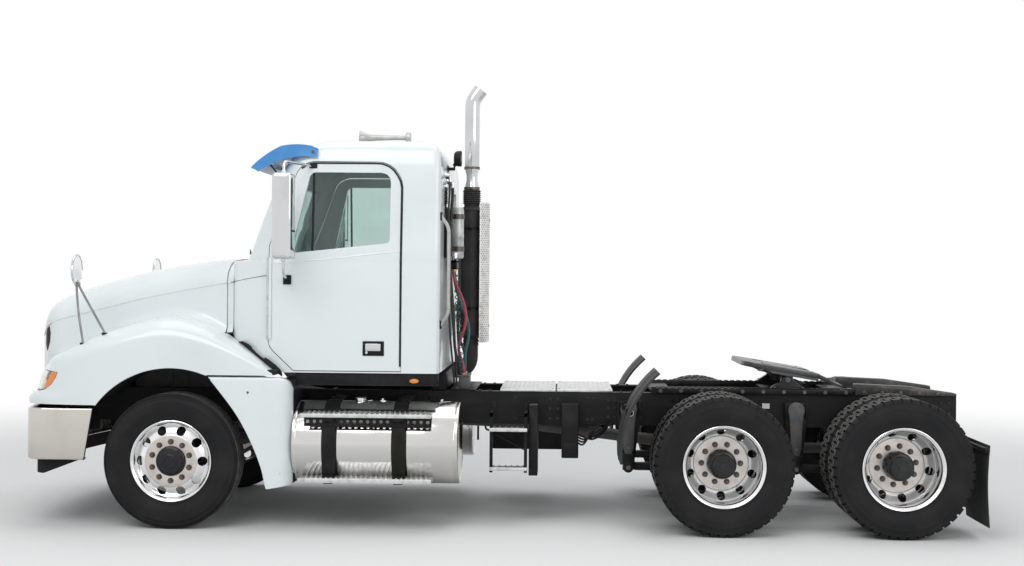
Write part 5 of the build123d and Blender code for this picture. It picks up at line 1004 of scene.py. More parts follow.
def spread(first, last, count):
    return [first + (last - first) * number / count for number in range(count + 1)]


def hood_skin():
    """Outer surface of the hood, both fenders and their tails."""
    nose = [-0.092, -0.090, -0.086, -0.080, -0.070, -0.056, -0.040]
    stations = nose + spread(-0.02, 0.16, 12) + spread(0.20, HOOD_REAR, 36)
    upper, outer = [], []
    for s in stations:
        line = upper_section(s)
        upper.append([(at(s) + chin(s, z), y, z) for y, z in line])
        outer_y, _, crown_y, crown_z, shoulder_z = blended(FENDER_SECTIONS, s)
        crown_y = max(crown_y, line[-1][0] + 0.001)
        outer_y = max(outer_y, crown_y + 0.001)
        side = outer_section(line[-1], crown_y, crown_z, outer_y, shoulder_z)
        outer.append([(at(s) + chin(s, z), y, z) for y, z in side])
    last_inner = upper[-1][-1]
    for s in spread(HOOD_REAR + 0.03, TAIL_SECTIONS[-1][0], 16):
        seam_z, shoulder_z = blended(TAIL_SECTIONS, s)
        inner_y = cowl_half(s) + SEAM_GAP
        ease = min(1, (s - HOOD_REAR) / 0.06)
        start = (last_inner[1] + (inner_y - last_inner[1]) * ease,
                 last_inner[2] + (seam_z - last_inner[2]) * ease)
        crown_y = max((inner_y + FENDER_HALF) / 2 - 0.03, start[0] + 0.002)
        side = outer_section(start, crown_y, seam_z, FENDER_HALF, shoulder_z)
        outer.append([(at(s), y, z) for y, z in side])
    left = gather(skin(upper), skin(outer))
    return gather(left, mirrored(left), nose_front(upper[0] + outer[0][1:]))


def nose_front(edge):
    """The flat front inside the first section, as one face from its left edge."""
    left = edge
    right = [(x, -y, z) for x, y, z in reversed(edge) if y > 1e-5]
    points = left + right
    return points, [tuple(range(len(points)))]


def solid_skin(name, part, depth):
    """A closed wall whose outer side is the surface."""
    thing = face_out(raw_object(name, part))
    return taken(thicken(thing, depth))


GRILLE_BOTTOM = 1.000
GRILLE_TOP = 1.480
GRILLE_OUTLINE = [(-0.345, GRILLE_BOTTOM), (0.345, GRILLE_BOTTOM), (0.300, GRILLE_TOP),
                  (-0.300, GRILLE_TOP)]
LAMP_IN_Y = 0.700
AMBER_IN_Y = 0.950
# (station, z) of the lamp's outline seen from the side, over the corner
LAMP_SIDE = [(-0.140, 0.999), (0.040, 0.999), (0.095, 1.002), (0.145, 1.018), (0.194, 1.051),
             (0.230, 1.101), (0.246, 1.140), (0.187, 1.146), (0.123, 1.148), (0.050, 1.140),
             (-0.140, 1.120)]
AMBER_SIDE = [(0.150, 1.019), (0.194, 1.051), (0.230, 1.101), (0.246, 1.140), (0.198, 1.145),
              (0.176, 1.112), (0.152, 1.070), (0.132, 1.016)]


def grown(outline, amount):
    """An outline moved outwards by the amount, about its middle."""
    middle = [sum(point[i] for point in outline) / len(outline) for i in (0, 1)]
    found = []
    for a, b in outline:
        reach = math.hypot(a - middle[0], b - middle[1])
        found.append((middle[0] + (a - middle[0]) * (1 + amount / reach),
                      middle[1] + (b - middle[1]) * (1 + amount / reach)))
    return found


def side_room(outline, inner_y, outer_y):
    """Cutting form over both sides of the hood, between two half widths."""
    return both(plate(outline, "Y", inner_y, outer_y, 0))


def lamp_room(amount):
    return side_room(grown(LAMP_SIDE, amount), LAMP_IN_Y - amount, PAST_SIDE)


def amber_room(amount):
    return side_room(grown(AMBER_SIDE, amount), AMBER_IN_Y - amount, PAST_SIDE)


TRIM_IN_Y = 0.372
TRIM_OUT_Y = 0.70
INSET_IN_Y = 0.440
# (station, z) of the bright surround on the nose's corner, and of the dark recess in it
TRIM_SIDE = [(-0.140, 1.190), (-0.040, 1.182), (-0.014, 1.230), (-0.004, 1.290), (0.008, 1.391),
             (0.018, 1.470), (0.010, 1.510), (-0.140, 1.500)]
INSET_SIDE = [(-0.010, 1.462), (0.000, 1.404), (-0.006, 1.340), (-0.026, 1.280),
              (-0.046, 1.262), (-0.060, 1.321), (-0.056, 1.403), (-0.036, 1.446)]


def trim_room(outline, inner_y):
    return side_room(outline, inner_y, TRIM_OUT_Y)


def arch_edge(y):
    """The wheel arch's edge on the fender's side, as (x, y, z) points."""
    low = math.asin((HOOD_BOTTOM - FRONT_TYRE_R) / ARCH_R)
    high = math.asin((HOOD_SEAM_Z - FRONT_TYRE_R) / ARCH_R)
    turns = spread(low, math.pi - high, 48)
    return [(at(FRONT_AXLE) + ARCH_R * math.cos(t), y, FRONT_TYRE_R + ARCH_R * math.sin(t))
            for t in turns]


def make_hood():
    wall = solid_skin("hood_blank", hood_skin(), SKIN_T)
    arch = disc_bar(ARCH_R, -1.4, 1.4, (at(FRONT_AXLE), 0, FRONT_TYRE_R), "Y", 160, 0)
    under_seam = block(HOOD_REAR - 0.072, 2.2, -1.4, 1.4, 0.7, HOOD_SEAM_Z, 0)
    grille_hole = plate(GRILLE_OUTLINE, "X", -0.2, -0.02, 0)
    trimmed = carved(wall, ("DIFFERENCE", arch), ("DIFFERENCE", under_seam), solver="EXACT")
    shell = carved(trimmed, ("DIFFERENCE", grille_hole), ("DIFFERENCE", lamp_room(0.004)),
                   ("DIFFERENCE", trim_room(TRIM_SIDE, TRIM_IN_Y)), solver="EXACT")
    trim = carved(trimmed, ("INTERSECT", trim_room(TRIM_SIDE, TRIM_IN_Y)),
                  ("DIFFERENCE", trim_room(INSET_SIDE, INSET_IN_Y)), solver="EXACT")
    inset = carved(trimmed, ("INTERSECT", trim_room(INSET_SIDE, INSET_IN_Y)), solver="EXACT")
    lens = carved(trimmed, ("INTERSECT", lamp_room(0)), ("DIFFERENCE", amber_room(0.001)),
                  solver="EXACT")
    amber = carved(trimmed, ("INTERSECT", amber_room(0)), solver="EXACT")
    lip = pipe(arch_edge(FENDER_HALF - 0.006), 0.007, 8)
    assembly("hood_and_fenders", [(gather(shell, both(lip)), WHITE), (trim, CHROME),
                                  (inset, BLACK)], "hood", ("hood_shell",), 30)
    bowls = gather(lamp_bowl(1), lamp_bowl(-1))
    assembly("headlamps_clear", [(lens, LAMP), (bowls, LAMP_BOWL), (amber, AMBER)],
             "hood", ("headlamps",), 30)


def lamp_bowl(side):
    """Two round reflectors behind one lamp's lens."""
    y = 0.800
    low = spin([(0.066, 0.000), (0.060, -0.010), (0.046, -0.030), (0.024, -0.044),
                (0.0001, -0.048)], (at(0.075), side * y, 1.075), "X", 36)
    high = spin([(0.060, 0.000), (0.054, -0.010), (0.040, -0.028), (0.020, -0.040),
                 (0.0001, -0.044)], (at(0.125), side * (y + 0.150), 1.075), "X", 36)
    return gather(low, high)


make_hood()


# Cab: plan outlines at rising heights, with rounded corners

# half width, station where the side ends, half width at the front corner,
# front corner station, front centre station, rear wall station
COWL_LEVEL = (CAB_HALF, COWL_SIDE, COWL_HALF, COWL_FRONT + 0.030, COWL_FRONT, CAB_REAR)
# the same with the height in front
UPPER_LEVELS = [
    (COWL_TOP, CAB_HALF, 1.800, 0.830, 1.598, 1.474, CAB_REAR),
    (2.290, 0.991, 1.850, 0.811, 1.703, 1.596, CAB_REAR),
    (2.590, 0.960, 1.900, 0.790, 1.812, 1.726, CAB_REAR),
    (2.680, 0.950, 1.930, 0.780, 1.852, 1.776, CAB_REAR),
    (2.745, 0.940, 1.965, 0.770, 1.900, 1.836, 3.046),
    (2.800, 0.924, 2.012, 0.752, 1.952, 1.896, 3.035),
    (2.838, 0.902, 2.070, 0.730, 2.016, 1.968, 3.014),
    (2.864, 0.872, 2.126, 0.700, 2.080, 2.036, 2.980),
    (2.880, 0.830, 2.190, 0.660, 2.150, 2.110, 2.925),
]


def round_corner(before, here, after, radius, count):
    """Points of a corner between two straight plan edges, rounded by a curve."""
    a, b, c = Vector(before), Vector(here), Vector(after)
    reach_in = min(radius, (a - b).length * 0.48)
    reach_out = min(radius, (c - b).length * 0.48)
    start, end = b + (a - b).normalized() * reach_in, b + (c - b).normalized() * reach_out
    return [tuple(curve(start, b, end, step / count)) for step in range(count + 1)]


def plan_row(level, z, inset=0.0):
    """One closed plan outline as (x, y, z) points, left side first."""
    half, side_s, corner_y, corner_s, front_s, rear_s = level
    half, corner_y = half - inset, corner_y - inset * 0.6
    side_s, corner_s, front_s = side_s + inset * 0.5, corner_s + inset, front_s + inset
    rear_s = rear_s - inset
    rear = round_corner((rear_s, 0), (rear_s, half), (side_s, half), 0.05, 8)
    side = [(rear_s - 0.05 - (rear_s - 0.05 - side_s - 0.16) * share, half)
            for share in (0.12, 0.3, 0.5, 0.7, 0.88)]
    shoulder = round_corner((rear_s, half), (side_s, half), (corner_s, corner_y), 0.14, 8)
    bow_start = (corner_s, corner_y)
    bow = []
    for number in range(1, 21):
        y = corner_y * (1 - number / 20)
        bow.append((front_s + (corner_s - front_s) * (y / corner_y) ** 2, y))
    corner = round_corner(shoulder[-1], bow_start, bow[1], 0.05, 6)
    left = rear + side + shoulder + corner + bow[2:]
    right = [(s, -y) for s, y in reversed(left[:-1])]
    return [(at(s), y, z) for s, y in left + right]


def cab_levels():
    """All plan levels from the floor to the roof, as (z, level) pairs."""
    rows = [(CAB_BOTTOM, COWL_LEVEL), (1.40, COWL_LEVEL), (1.70, COWL_LEVEL),
            (1.960, COWL_LEVEL), (1.972, tuple(v + d for v, d in zip(
                COWL_LEVEL, (-0.001, 0, -0.006, 0.006, 0.006, 0))))]
    for s in spread(COWL_TOP, 2.590, 6):
        rows.append((s, tuple(blended(UPPER_LEVELS, s))))
    for level in UPPER_LEVELS[3:]:
        rows.append((level[0], level[1:]))
    return rows


def cab_skin(inset=0.0):
    """The cab's closed outer surface, drawn in by the inset."""
    rows = [plan_row(level, z, inset) for z, level in cab_levels()]
    low, high = CAB_BOTTOM + inset, rows[-1][0][2] - inset
    rows[0] = [(x, y, low) for x, y, _ in rows[0]]
    rows = [[(x, y, min(z, high)) for x, y, z in row] for row in rows]
    middle_x = sum(point[0] for point in rows[-1]) / len(rows[-1])
    rim = rows[-1]
    for share in (0.8, 0.55, 0.3, 0.1):
        rows.append([(middle_x + (x - middle_x) * share, y * share,
                      high + 0.010 * (1 - share ** 2)) for x, y, _ in rim])
    return skin(rows, loop=True, ends=True)


DOOR_FRONT = 1.782
DOOR_REAR = 2.770
DOOR_OUTLINE = [
    (DOOR_FRONT, 1.392), (1.792, 1.345), (1.822, 1.308), (1.975, 1.166), (DOOR_REAR, 1.166),
    (DOOR_REAR, 2.520), (2.760, 2.575), (2.738, 2.618), (2.708, 2.660), (2.668, 2.690),
    (2.618, 2.708), (2.560, 2.712), (2.100, 2.712), (2.055, 2.700), (2.010, 2.672),
    (1.985, 2.640), (DOOR_FRONT, 2.090),
]
WINDOW_OUTLINE = [
    (1.952, 2.062), (1.957, 2.042), (1.975, 2.035), (2.655, 2.109), (2.674, 2.117),
    (2.682, 2.136), (2.682, 2.560), (2.676, 2.594), (2.655, 2.620), (2.622, 2.633),
    (2.600, 2.635), (2.120, 2.635), (2.094, 2.628), (2.075, 2.606),
]
WINDSHIELD = [
    (-0.800, 2.050), (-0.780, 2.020), (-0.700, 2.006), (0.700, 2.006), (0.780, 2.020),
    (0.800, 2.050), (0.748, 2.540), (0.730, 2.572), (0.690, 2.584), (-0.690, 2.584),
    (-0.730, 2.572), (-0.748, 2.540),
]
REAR_WINDOW = [
    (-0.600, 2.120), (-0.585, 2.092), (-0.555, 2.080), (0.555, 2.080), (0.585, 2.092),
    (0.600, 2.120), (0.600, 2.520), (0.585, 2.548), (0.555, 2.560), (-0.555, 2.560),
    (-0.585, 2.548), (-0.600, 2.520),
]
DOOR_DEPTH_Y = 0.700
WALL_T = 0.050


def cab_edge(z):
    """Half width, side-end station, corner and front values of the cab at a height."""
    return COWL_LEVEL if z < COWL_TOP else tuple(blended(UPPER_LEVELS, z))


def side_y(station, z):
    """Half width of the cab's side at a station and height."""
    half, side_s, corner_y, corner_s, _, _ = cab_edge(z)
    if station >= side_s:
        return half
    share = max(0, (station - corner_s) / (side_s - corner_s))
    return corner_y + (half - corner_y) * share


def front_s(y, z):
    """Station of the cab's front at a half width and height."""
    _, _, corner_y, corner_s, centre_s, _ = cab_edge(z)
    return centre_s + (corner_s - centre_s) * (y / corner_y) ** 2


def dense(outline, step=0.03, closed=True):
    """An outline with more points along its runs."""
    found = []
    ends = outline[1:] + outline[:1] if closed else outline[1:]
    for (a0, b0), (a1, b1) in zip(outline, ends):
        count = max(1, int(math.hypot(a1 - a0, b1 - b0) / step))
        found += [(a0 + (a1 - a0) * n / count, b0 + (b1 - b0) * n / count)
                  for n in range(count)]
    if not closed:
        found.append(outline[-1])
    return found


def on_side(outline, proud=0.0, closed=True):
    """A (station, z) line laid on the cab's left side."""
    return [(at(s), side_y(s, z) + proud, z) for s, z in dense(outline, closed=closed)]


def on_front(outline, proud=0.0):
    """A (y, z) outline laid on the cab's front."""
    return [(at(front_s(y, z) - proud), y, z) for y, z in dense(outline)]


def loop_pipe(route, radius, count=8):
    """A round strip along a closed route."""
    route = [Vector(point) for point in route]
    total = len(route)
    points = []
    side = None
    for index, here in enumerate(route):
        heading = (route[(index + 1) % total] - route[index - 1]).normalized()
        side = heading.orthogonal().normalized() if side is None else side
        side = (side - heading * side.dot(heading)).normalized()
        points.extend(ring(here, side, heading.cross(side), radius, count))
    return points, grid(total, count, join_sides=True)


def closed_route(route):
    return route + [route[0], route[1]]


def cowl_flange():
    """Painted lip of the cowl that shows in the gap behind the hood."""
    line = [(y, z) for y, z in upper_section(HOOD_REAR) if z > 1.440]
    front = [(at(HOOD_REAR + 0.006), y * 0.996, z - 0.005) for y, z in line]
    rear = [(at(COWL_FRONT + 0.034), y * 1.025, min(z, COWL_TOP - 0.004)) for y, z in line]
    return both(solid_skin("flange_blank", skin([front, rear]), 0.004))


def make_cab():
    wall = solid_skin("cab_blank", cab_skin(), WALL_T)
    door_cut = plate(DOOR_OUTLINE, "Y", DOOR_DEPTH_Y, PAST_SIDE, 0)
    hole = plate(grown(DOOR_OUTLINE, 0.007), "Y", DOOR_DEPTH_Y, PAST_SIDE, 0)
    window = plate(WINDOW_OUTLINE, "Y", DOOR_DEPTH_Y, PAST_SIDE, 0)
    front_cut = plate(WINDSHIELD, "X", 1.40, 2.2, 0)
    rear_cut = plate(REAR_WINDOW, "X", 2.9, 3.2, 0)
    sill = block(1.6, 2.9, 0.5, CAB_HALF - 0.070, CAB_BOTTOM - 0.02, CAB_BOTTOM + 0.075, 0)
    hole = carved(hole, ("DIFFERENCE", sill))
    shell = carved(wall, ("DIFFERENCE", both(hole)), ("DIFFERENCE", front_cut),
                   ("DIFFERENCE", rear_cut))
    # Painted shade: the thin grey pipe along the cab's side draws the shadow under the crease
    # that runs on from the hood.
    seam = pipe(on_side([(1.476, 1.812), (1.600, 1.838), (1.776, 1.868)], -0.0005, False),
                0.0026, 6)
    seals = gather(loop_pipe(closed_route(on_front(WINDSHIELD, 0.001)), 0.012),
                   loop_pipe(closed_route([(at(CAB_REAR + 0.001), y, z)
                                           for y, z in dense(REAR_WINDOW)]), 0.011))
    jambs = both(loop_pipe(closed_route(on_side(grown(DOOR_OUTLINE, 0.004), -0.012)), 0.010))
    assembly("cab_body", [(gather(shell, cowl_flange()), WHITE), (both(seam), CREASE_SHADE_GREY),
                          (seals, SEAL), (jambs, SEAL)],
             "chassis", ("cab_shell",), 30)
    pane = solid_skin("pane_blank", cab_skin(0.018), 0.006)
    assembly("cab_panes", [(carved(pane, ("INTERSECT", front_cut)), GLASS),
                           (carved(pane, ("INTERSECT", rear_cut)), GLASS)],
             "chassis", ("cab_glass",), 30)
    leaf = carved(wall, ("INTERSECT", door_cut), ("DIFFERENCE", window), ("DIFFERENCE", sill))
    side_pane = carved(pane, ("INTERSECT", window))
    return leaf, side_pane


door_leaf, door_pane = make_cab()


HANDLE_BOX = (2.488, 2.646, 1.278, 1.386)
DOOR_HINGE_S = 1.778
DOOR_HINGE_Z = 1.394
KNUCKLE_PITCH = 0.0304
KNUCKLE_COUNT = 20


def door_layers():
    """Skin, seals, hinge, belt moulding and handle of the left door."""
    seal_top = [(DOOR_REAR - 0.006, 1.20), (DOOR_REAR - 0.006, 2.520), (2.754, 2.572),
                (2.732, 2.612), (2.703, 2.653), (2.665, 2.682), (2.617, 2.700), (2.560, 2.704),
                (2.102, 2.704), (2.058, 2.692), (2.014, 2.665)]
    seals = gather(pipe(on_side(seal_top, 0.001, False), 0.0065, 8),
                   loop_pipe(closed_route(on_side(WINDOW_OUTLINE, 0.001)), 0.0115))
    belt = pipe(on_side([(1.860, 1.958), (1.996, 1.966), (2.300, 2.000), (2.762, 2.052)],
                        -0.001, False), 0.0055, 8)
    s0, s1, z0, z1 = HANDLE_BOX
    y = CAB_HALF
    frame_plate = block(s0, s1, y - 0.004, y + 0.006, z0, z1, 0.003)
    pocket = block(s0 + 0.012, s1 - 0.012, y + 0.004, y + 0.0072, z0 + 0.012, z1 - 0.012, 0.002)
    paddle = block(s0 + 0.020, s1 - 0.024, y + 0.005, y + 0.013, z0 + 0.036, z1 - 0.018, 0.004)
    lock = disc_bar(0.010, 0, 0.012, (at(s0 + 0.030), y + 0.004, z0 + 0.024), "Y", 20, 0.002)
    knuckles = [disc_bar(0.0085, 0.0008, KNUCKLE_PITCH - 0.0008,
                         (at(DOOR_HINGE_S), y, DOOR_HINGE_Z + number * KNUCKLE_PITCH), "Z", 12,
                         0.001) for number in range(KNUCKLE_COUNT)]
    leaf = block(1.781, 1.806, y - 0.010, y + 0.0015, 1.396, 1.998, 0.001)
    return [(door_leaf, WHITE), (seals, SEAL), (belt, WHITE), (frame_plate, BLACK),
            (pocket, LINER), (paddle, CHROME), (lock, CHROME), (gather(*knuckles), HINGE_STEEL),
            (leaf, WHITE)]


def door_trim():
    """Inner panel with an armrest and a pocket."""
    panel = block(1.90, 2.72, 0.948, 0.966, 1.23, 1.99, 0.006)
    rest = block(2.10, 2.62, 0.890, 0.955, 1.66, 1.71, 0.02)
    pocket = block(1.98, 2.60, 0.925, 0.955, 1.26, 1.40, 0.012)
    return gather(panel, rest, pocket)


def make_doors():
    bar = pipe([(at(2.105), side_y(2.105, 2.62) - 0.020, 2.630),
                (at(2.105), side_y(2.105, 2.05) - 0.020, 2.050)], 0.009, 8)
    left = door_layers() + [(door_trim(), CABIN_GREY), (bar, SEAL)]
    for side in (1, -1):
        name = side_name(side)
        layers = [(sided(part, side), finish) for part, finish in left]
        assembly(f"door_panel_{name}", layers, f"door_{name}",
                 (f"door_{name}",), 30)
        piece(f"door_window_{name}", sided(door_pane, side), GLASS, f"door_{name}",
              (f"door_{name}_glass",), 30)


make_doors()


# Shapes shared by the fittings


def laid(points):
    """(station, y, z) points as places in the truck's frame."""
    return [(at(s), y, z) for s, y, z in points]


def rod(points, radius, count=12):
    """A pipe in straight runs through (station, y, z) points."""
    return pipe(laid(points), radius, count)


def bent_pipe(points, corner, radius, count=12, steps=6):
    """A pipe through (station, y, z) points, its corners rounded by the corner radius."""
    return pipe(rounded_route(laid(points), corner, steps), radius, count)


def flowing_pipe(points, radius, count=12, steps=6):
    """A pipe that curves through (station, y, z) points."""
    return pipe(smooth_route(laid(points), steps), radius, count)


def arc_through(a, b, c, count):
    """Points of the circle arc that runs from a through b to c."""
    (ax, ay), (bx, by), (cx, cy) = a, b, c
    scale = 2 * (ax * (by - cy) + bx * (cy - ay) + cx * (ay - by))
    aa, bb, cc = ax * ax + ay * ay, bx * bx + by * by, cx * cx + cy * cy
    ux = (aa * (by - cy) + bb * (cy - ay) + cc * (ay - by)) / scale
    uy = (aa * (cx - bx) + bb * (ax - cx) + cc * (bx - ax)) / scale
    radius = math.hypot(ax - ux, ay - uy)
    first = math.atan2(ay - uy, ax - ux)
    middle = (math.atan2(by - uy, bx - ux) - first) % (2 * math.pi)
    turn = (math.atan2(cy - uy, cx - ux) - first) % (2 * math.pi)
    if middle > turn:
        turn -= 2 * math.pi
    return [(ux + radius * math.cos(first + turn * number / count),
             uy + radius * math.sin(first + turn * number / count))
            for number in range(count + 1)]


def tapered(route, radii, count=40, inner=None):
    """A round tube whose radius changes along its route, open if an inner wall is given."""
    whole = pipe(route, 1.0, count, capped=inner is None)
    middles = [Vector(point) for point in route]
    points = []
    for index, point in enumerate(whole[0]):
        row = index // count
        points.append(tuple(middles[row] + (Vector(point) - middles[row]) * radii[row]))
    if inner is None:
        return points, whole[1]
    faces = list(whole[1])
    first = len(points)
    for index, point in enumerate(whole[0]):
        row = index // count
        points.append(tuple(middles[row] + (Vector(point) - middles[row])
                            * (radii[row] - inner)))
    faces += [tuple(first + corner for corner in reversed(face)) for face in whole[1]]
    last = first - count
    for turn in range(count):
        after = (turn + 1) % count
        faces.append((turn, first + turn, first + after, after))
        faces.append((last + after, first + last + after, first + last + turn, last + turn))
    return points, faces


def soft_box(s0, s1, y0, y1, z0, z1, radius, segments=5):
    """A box with well rounded edges."""
    form = bmesh.new()
    bmesh.ops.create_cube(form, size=1.0)
    middle = Vector(((at(s0) + at(s1)) / 2, (y0 + y1) / 2, (z0 + z1) / 2))
    for vert in form.verts:
        vert.co = Vector((vert.co.x * abs(s1 - s0), vert.co.y * (y1 - y0),
                          vert.co.z * (z1 - z0))) + middle
    bmesh.ops.bevel(form, geom=form.edges[:], offset=radius, segments=segments,
                    affect="EDGES", profile=0.5)
    return from_bmesh(form)


def bolts_at(places, axis="Y", radius=0.011, height=0.009):
    """Bolt heads at (station, y, z) places."""
    return gather(*[bolt((at(s), y, z), axis, radius, height) for s, y, z in places])


def teeth(s0, s1, y0, y1, z0, z1, pitch, width, slant=0.0):
    """Raised bars across a tread, leaning along it by the slant."""
    bars = []
    count = int((s1 - s0) / pitch)
    for number in range(count):
        s = s0 + (number + 0.5) * (s1 - s0) / count
        foot = [(s - width / 2, y0), (s + width / 2, y0), (s + width / 2 + slant, y1),
                (s - width / 2 + slant, y1)]
        bars.append(plate(foot, "Z", z0, z1, 0))
    return gather(*bars)


LOZENGE_RISE = 0.0022
# half length and half width of a bar, as shares of the pitch
LOZENGE_LONG = 0.40
LOZENGE_THIN = 0.13
DIAGONAL = 0.7071


def lozenges(s0, s1, y0, y1, z, pitch):
    """The raised pattern of a tread plate: short bars, turned by quarter turns."""
    marks = []
    rows, columns = int((y1 - y0) / pitch), int((s1 - s0) / pitch)
    long, thin = pitch * LOZENGE_LONG, pitch * LOZENGE_THIN
    for row in range(rows):
        for column in range(columns):
            s = s0 + (column + 0.5) * (s1 - s0) / columns
            y = y0 + (row + 0.5) * (y1 - y0) / rows
            lean = 1 if (row + column) % 2 else -1
            a, b = long * DIAGONAL, thin * DIAGONAL
            base = [(s - a, y - a * lean), (s + b, y - b * lean), (s + a, y + a * lean),
                    (s - b, y + b * lean)]
            marks.append(([(at(p), q, z) for p, q in base] + [(at(s), y, z + LOZENGE_RISE)],
                          [(0, 1, 4), (1, 2, 4), (2, 3, 4), (3, 0, 4)]))
    return gather(*marks)


# Bumper with its air dam, brackets and hinge posts

BUMPER_TOP = 0.880
BUMPER_BOTTOM = 0.500
BUMPER_HALF = 1.170
BUMPER_CORNER_Y = 1.020
BUMPER_CROWN = 0.130
BUMPER_SIDE_S = 0.150
BUMPER_END_BOTTOM = 0.456
BUMPER_END_TOP = 0.520
DAM_BOTTOM = 0.394
DAM_FRONT = 0.140
DAM_REAR = 0.414
HINGE_STATION = -0.088
HINGE_Z = 0.8925
HINGE_Y = 0.330
HINGE_LEN = 0.040
# inset, height of the band's outer side from the top lip to the bottom lip
BUMPER_PROFILE = [
    (0.044, 0.8725), (0.038, 0.8785), (0.028, 0.880), (0.014, 0.880), (0.005, 0.8765),
    (0.001, 0.868), (0.0, 0.855), (0.0, 0.760), (0.0, 0.640), (0.0, 0.525), (0.0012, 0.512),
    (0.006, 0.5035), (0.015, 0.500), (0.040, 0.500),
]
BUMPER_BACK = [
    (0.040, 0.504), (0.016, 0.5045), (0.010, 0.507), (0.006, 0.515), (0.005, 0.525),
    (0.005, 0.640), (0.005, 0.760), (0.005, 0.855), (0.006, 0.866), (0.010, 0.872),
    (0.016, 0.875), (0.028, 0.8755), (0.038, 0.8735), (0.041, 0.870),
]


def bumper_end(z):
    """Station of the bumper's rear end at a height."""
    return BUMPER_END_BOTTOM + ((BUMPER_END_TOP - BUMPER_END_BOTTOM)
                                * (z - BUMPER_BOTTOM) / (BUMPER_TOP - BUMPER_BOTTOM))


def bumper_line(end, inset):
    """Plan line round the bumper's face, as (station, y) points from left to right."""
    half, corner_y = BUMPER_HALF - inset, BUMPER_CORNER_Y - inset * 0.4
    side_s = BUMPER_SIDE_S + inset * 0.4
    side = [(s, half) for s in spread(end, side_s, 8)]
    corner = arc_through((side_s, half), (0.038 + inset * 0.9,
                                          corner_y + 0.66 * (half - corner_y)),
                         (inset, corner_y), 14)
    crown = arc_through((inset, corner_y), (-BUMPER_CROWN + inset, 0), (inset, -corner_y), 32)
    left = side[:-1] + corner[:-1] + crown[:17]
    return left + [(s, -y) for s, y in reversed(left[:-1])]


def band_along(profile, end_of):
    """A closed band along the bumper's plan, its section given by (inset, z) points."""
    lines = [[(at(s), y, z) for s, y in bumper_line(end_of(z), inset)] for inset, z in profile]
    return skin([list(column) for column in zip(*lines)], loop=True, ends=True)


def air_dam():
    """Dark skirt under the bumper's front, rising towards its ends."""
    outer, inner = bumper_line(DAM_REAR, 0.060), bumper_line(DAM_REAR, 0.066)
    rows = []
    for (s, y), (back_s, back_y) in zip(outer, inner):
        low = DAM_BOTTOM + max(0, s - DAM_FRONT) / (DAM_REAR - DAM_FRONT) * 0.104
        rows.append(laid([(s, y, 0.501), (s, y, low), (back_s, back_y, low),
                          (back_s, back_y, 0.501)]))
    return skin(rows, loop=True, ends=True)


def hinge_barrels(spots, pin):
    """Knuckles of the hood's hinge at these distances from its middle."""
    parts = []
    for y in spots:
        low, high = HINGE_Y + y - HINGE_LEN / 2, HINGE_Y + y + HINGE_LEN / 2
        parts.append(disc_bar(0.011, low, high, (at(HINGE_STATION), 0, HINGE_Z), "Y", 24, 0.001))
        if pin:
            parts.append(block(HINGE_STATION - 0.009, HINGE_STATION + 0.009, low, high,
                               BUMPER_TOP - 0.012, HINGE_Z, 0.001))
        else:
            parts.append(block(HINGE_STATION - 0.004, HINGE_STATION + 0.008, low, high, HINGE_Z,
                               HOOD_BOTTOM + 0.012, 0.001))
    if pin:
        parts.append(disc_bar(0.006, HINGE_Y - 0.062, HINGE_Y + 0.062,
                              (at(HINGE_STATION), 0, HINGE_Z), "Y", 16, 0.001))
    return both(gather(*parts))


def make_bumper():
    face = band_along(BUMPER_PROFILE + BUMPER_BACK, bumper_end)
    slot = plate([(-0.290, 0.610), (0.290, 0.610), (0.270, 0.690), (-0.270, 0.690)], "X",
                 -0.2, -0.02, 0)
    face = carved(welded(face), ("DIFFERENCE", slot))
    lines = [bumper_line(BUMPER_END_BOTTOM, inset) for inset in (0.010, 0.075)]
    shelf = skin([laid([(s, y, 0.5065), (a, b, 0.5065), (a, b, 0.512), (s, y, 0.512)])
                  for (s, y), (a, b) in zip(*lines)], loop=True, ends=True)
    bracket = block(-0.098, 0.090, 0.344, 0.430, 0.727, 0.858, 0.006)
    arm = block(-0.075, 0.085, 0.352, 0.422, 0.560, 0.730, 0.006)
    edge = pipe([(at(bumper_end(z) + 0.001), BUMPER_HALF - 0.006, z)
                 for z in spread(0.504, 0.874, 4)], 0.006, 8)
    rear = block(-0.060, -0.052, -0.300, 0.300, 0.595, 0.705, 0.001)
    bars = [block(-0.072, -0.062, -0.284, 0.284, z - 0.004, z + 0.004, 0.001)
            for z in (0.630, 0.650, 0.670)]
    hooks = both(gather(spin([(0.040, -0.004), (0.040, 0.004), (0.030, 0.006), (0.028, -0.004)],
                             (at(-0.103), 0.500, 0.640), "X", 32, closed=True),
                        disc_bar(0.030, -0.004, 0.001, (at(-0.103), 0.500, 0.640), "X", 32, 0)))
    assembly("bumper_band", [
        (face, BUMPER_FACE), (air_dam(), LINER), (shelf, BLACK), (both(bracket), BLACK),
        (both(arm), BLACK), (both(edge), BLACK), (rear, LINER), (gather(*bars), BLACK),
        (hooks, BLACK), (hinge_barrels((-0.044, 0.044), True), NUT_STEEL)],
        "chassis", ("bumper",), 32)
    piece("hood_hinges", hinge_barrels((0,), False), NUT_STEEL, "hood")


make_bumper()


# Grille, hood mirrors, latches and wipers

HOOD_FACE = -0.092


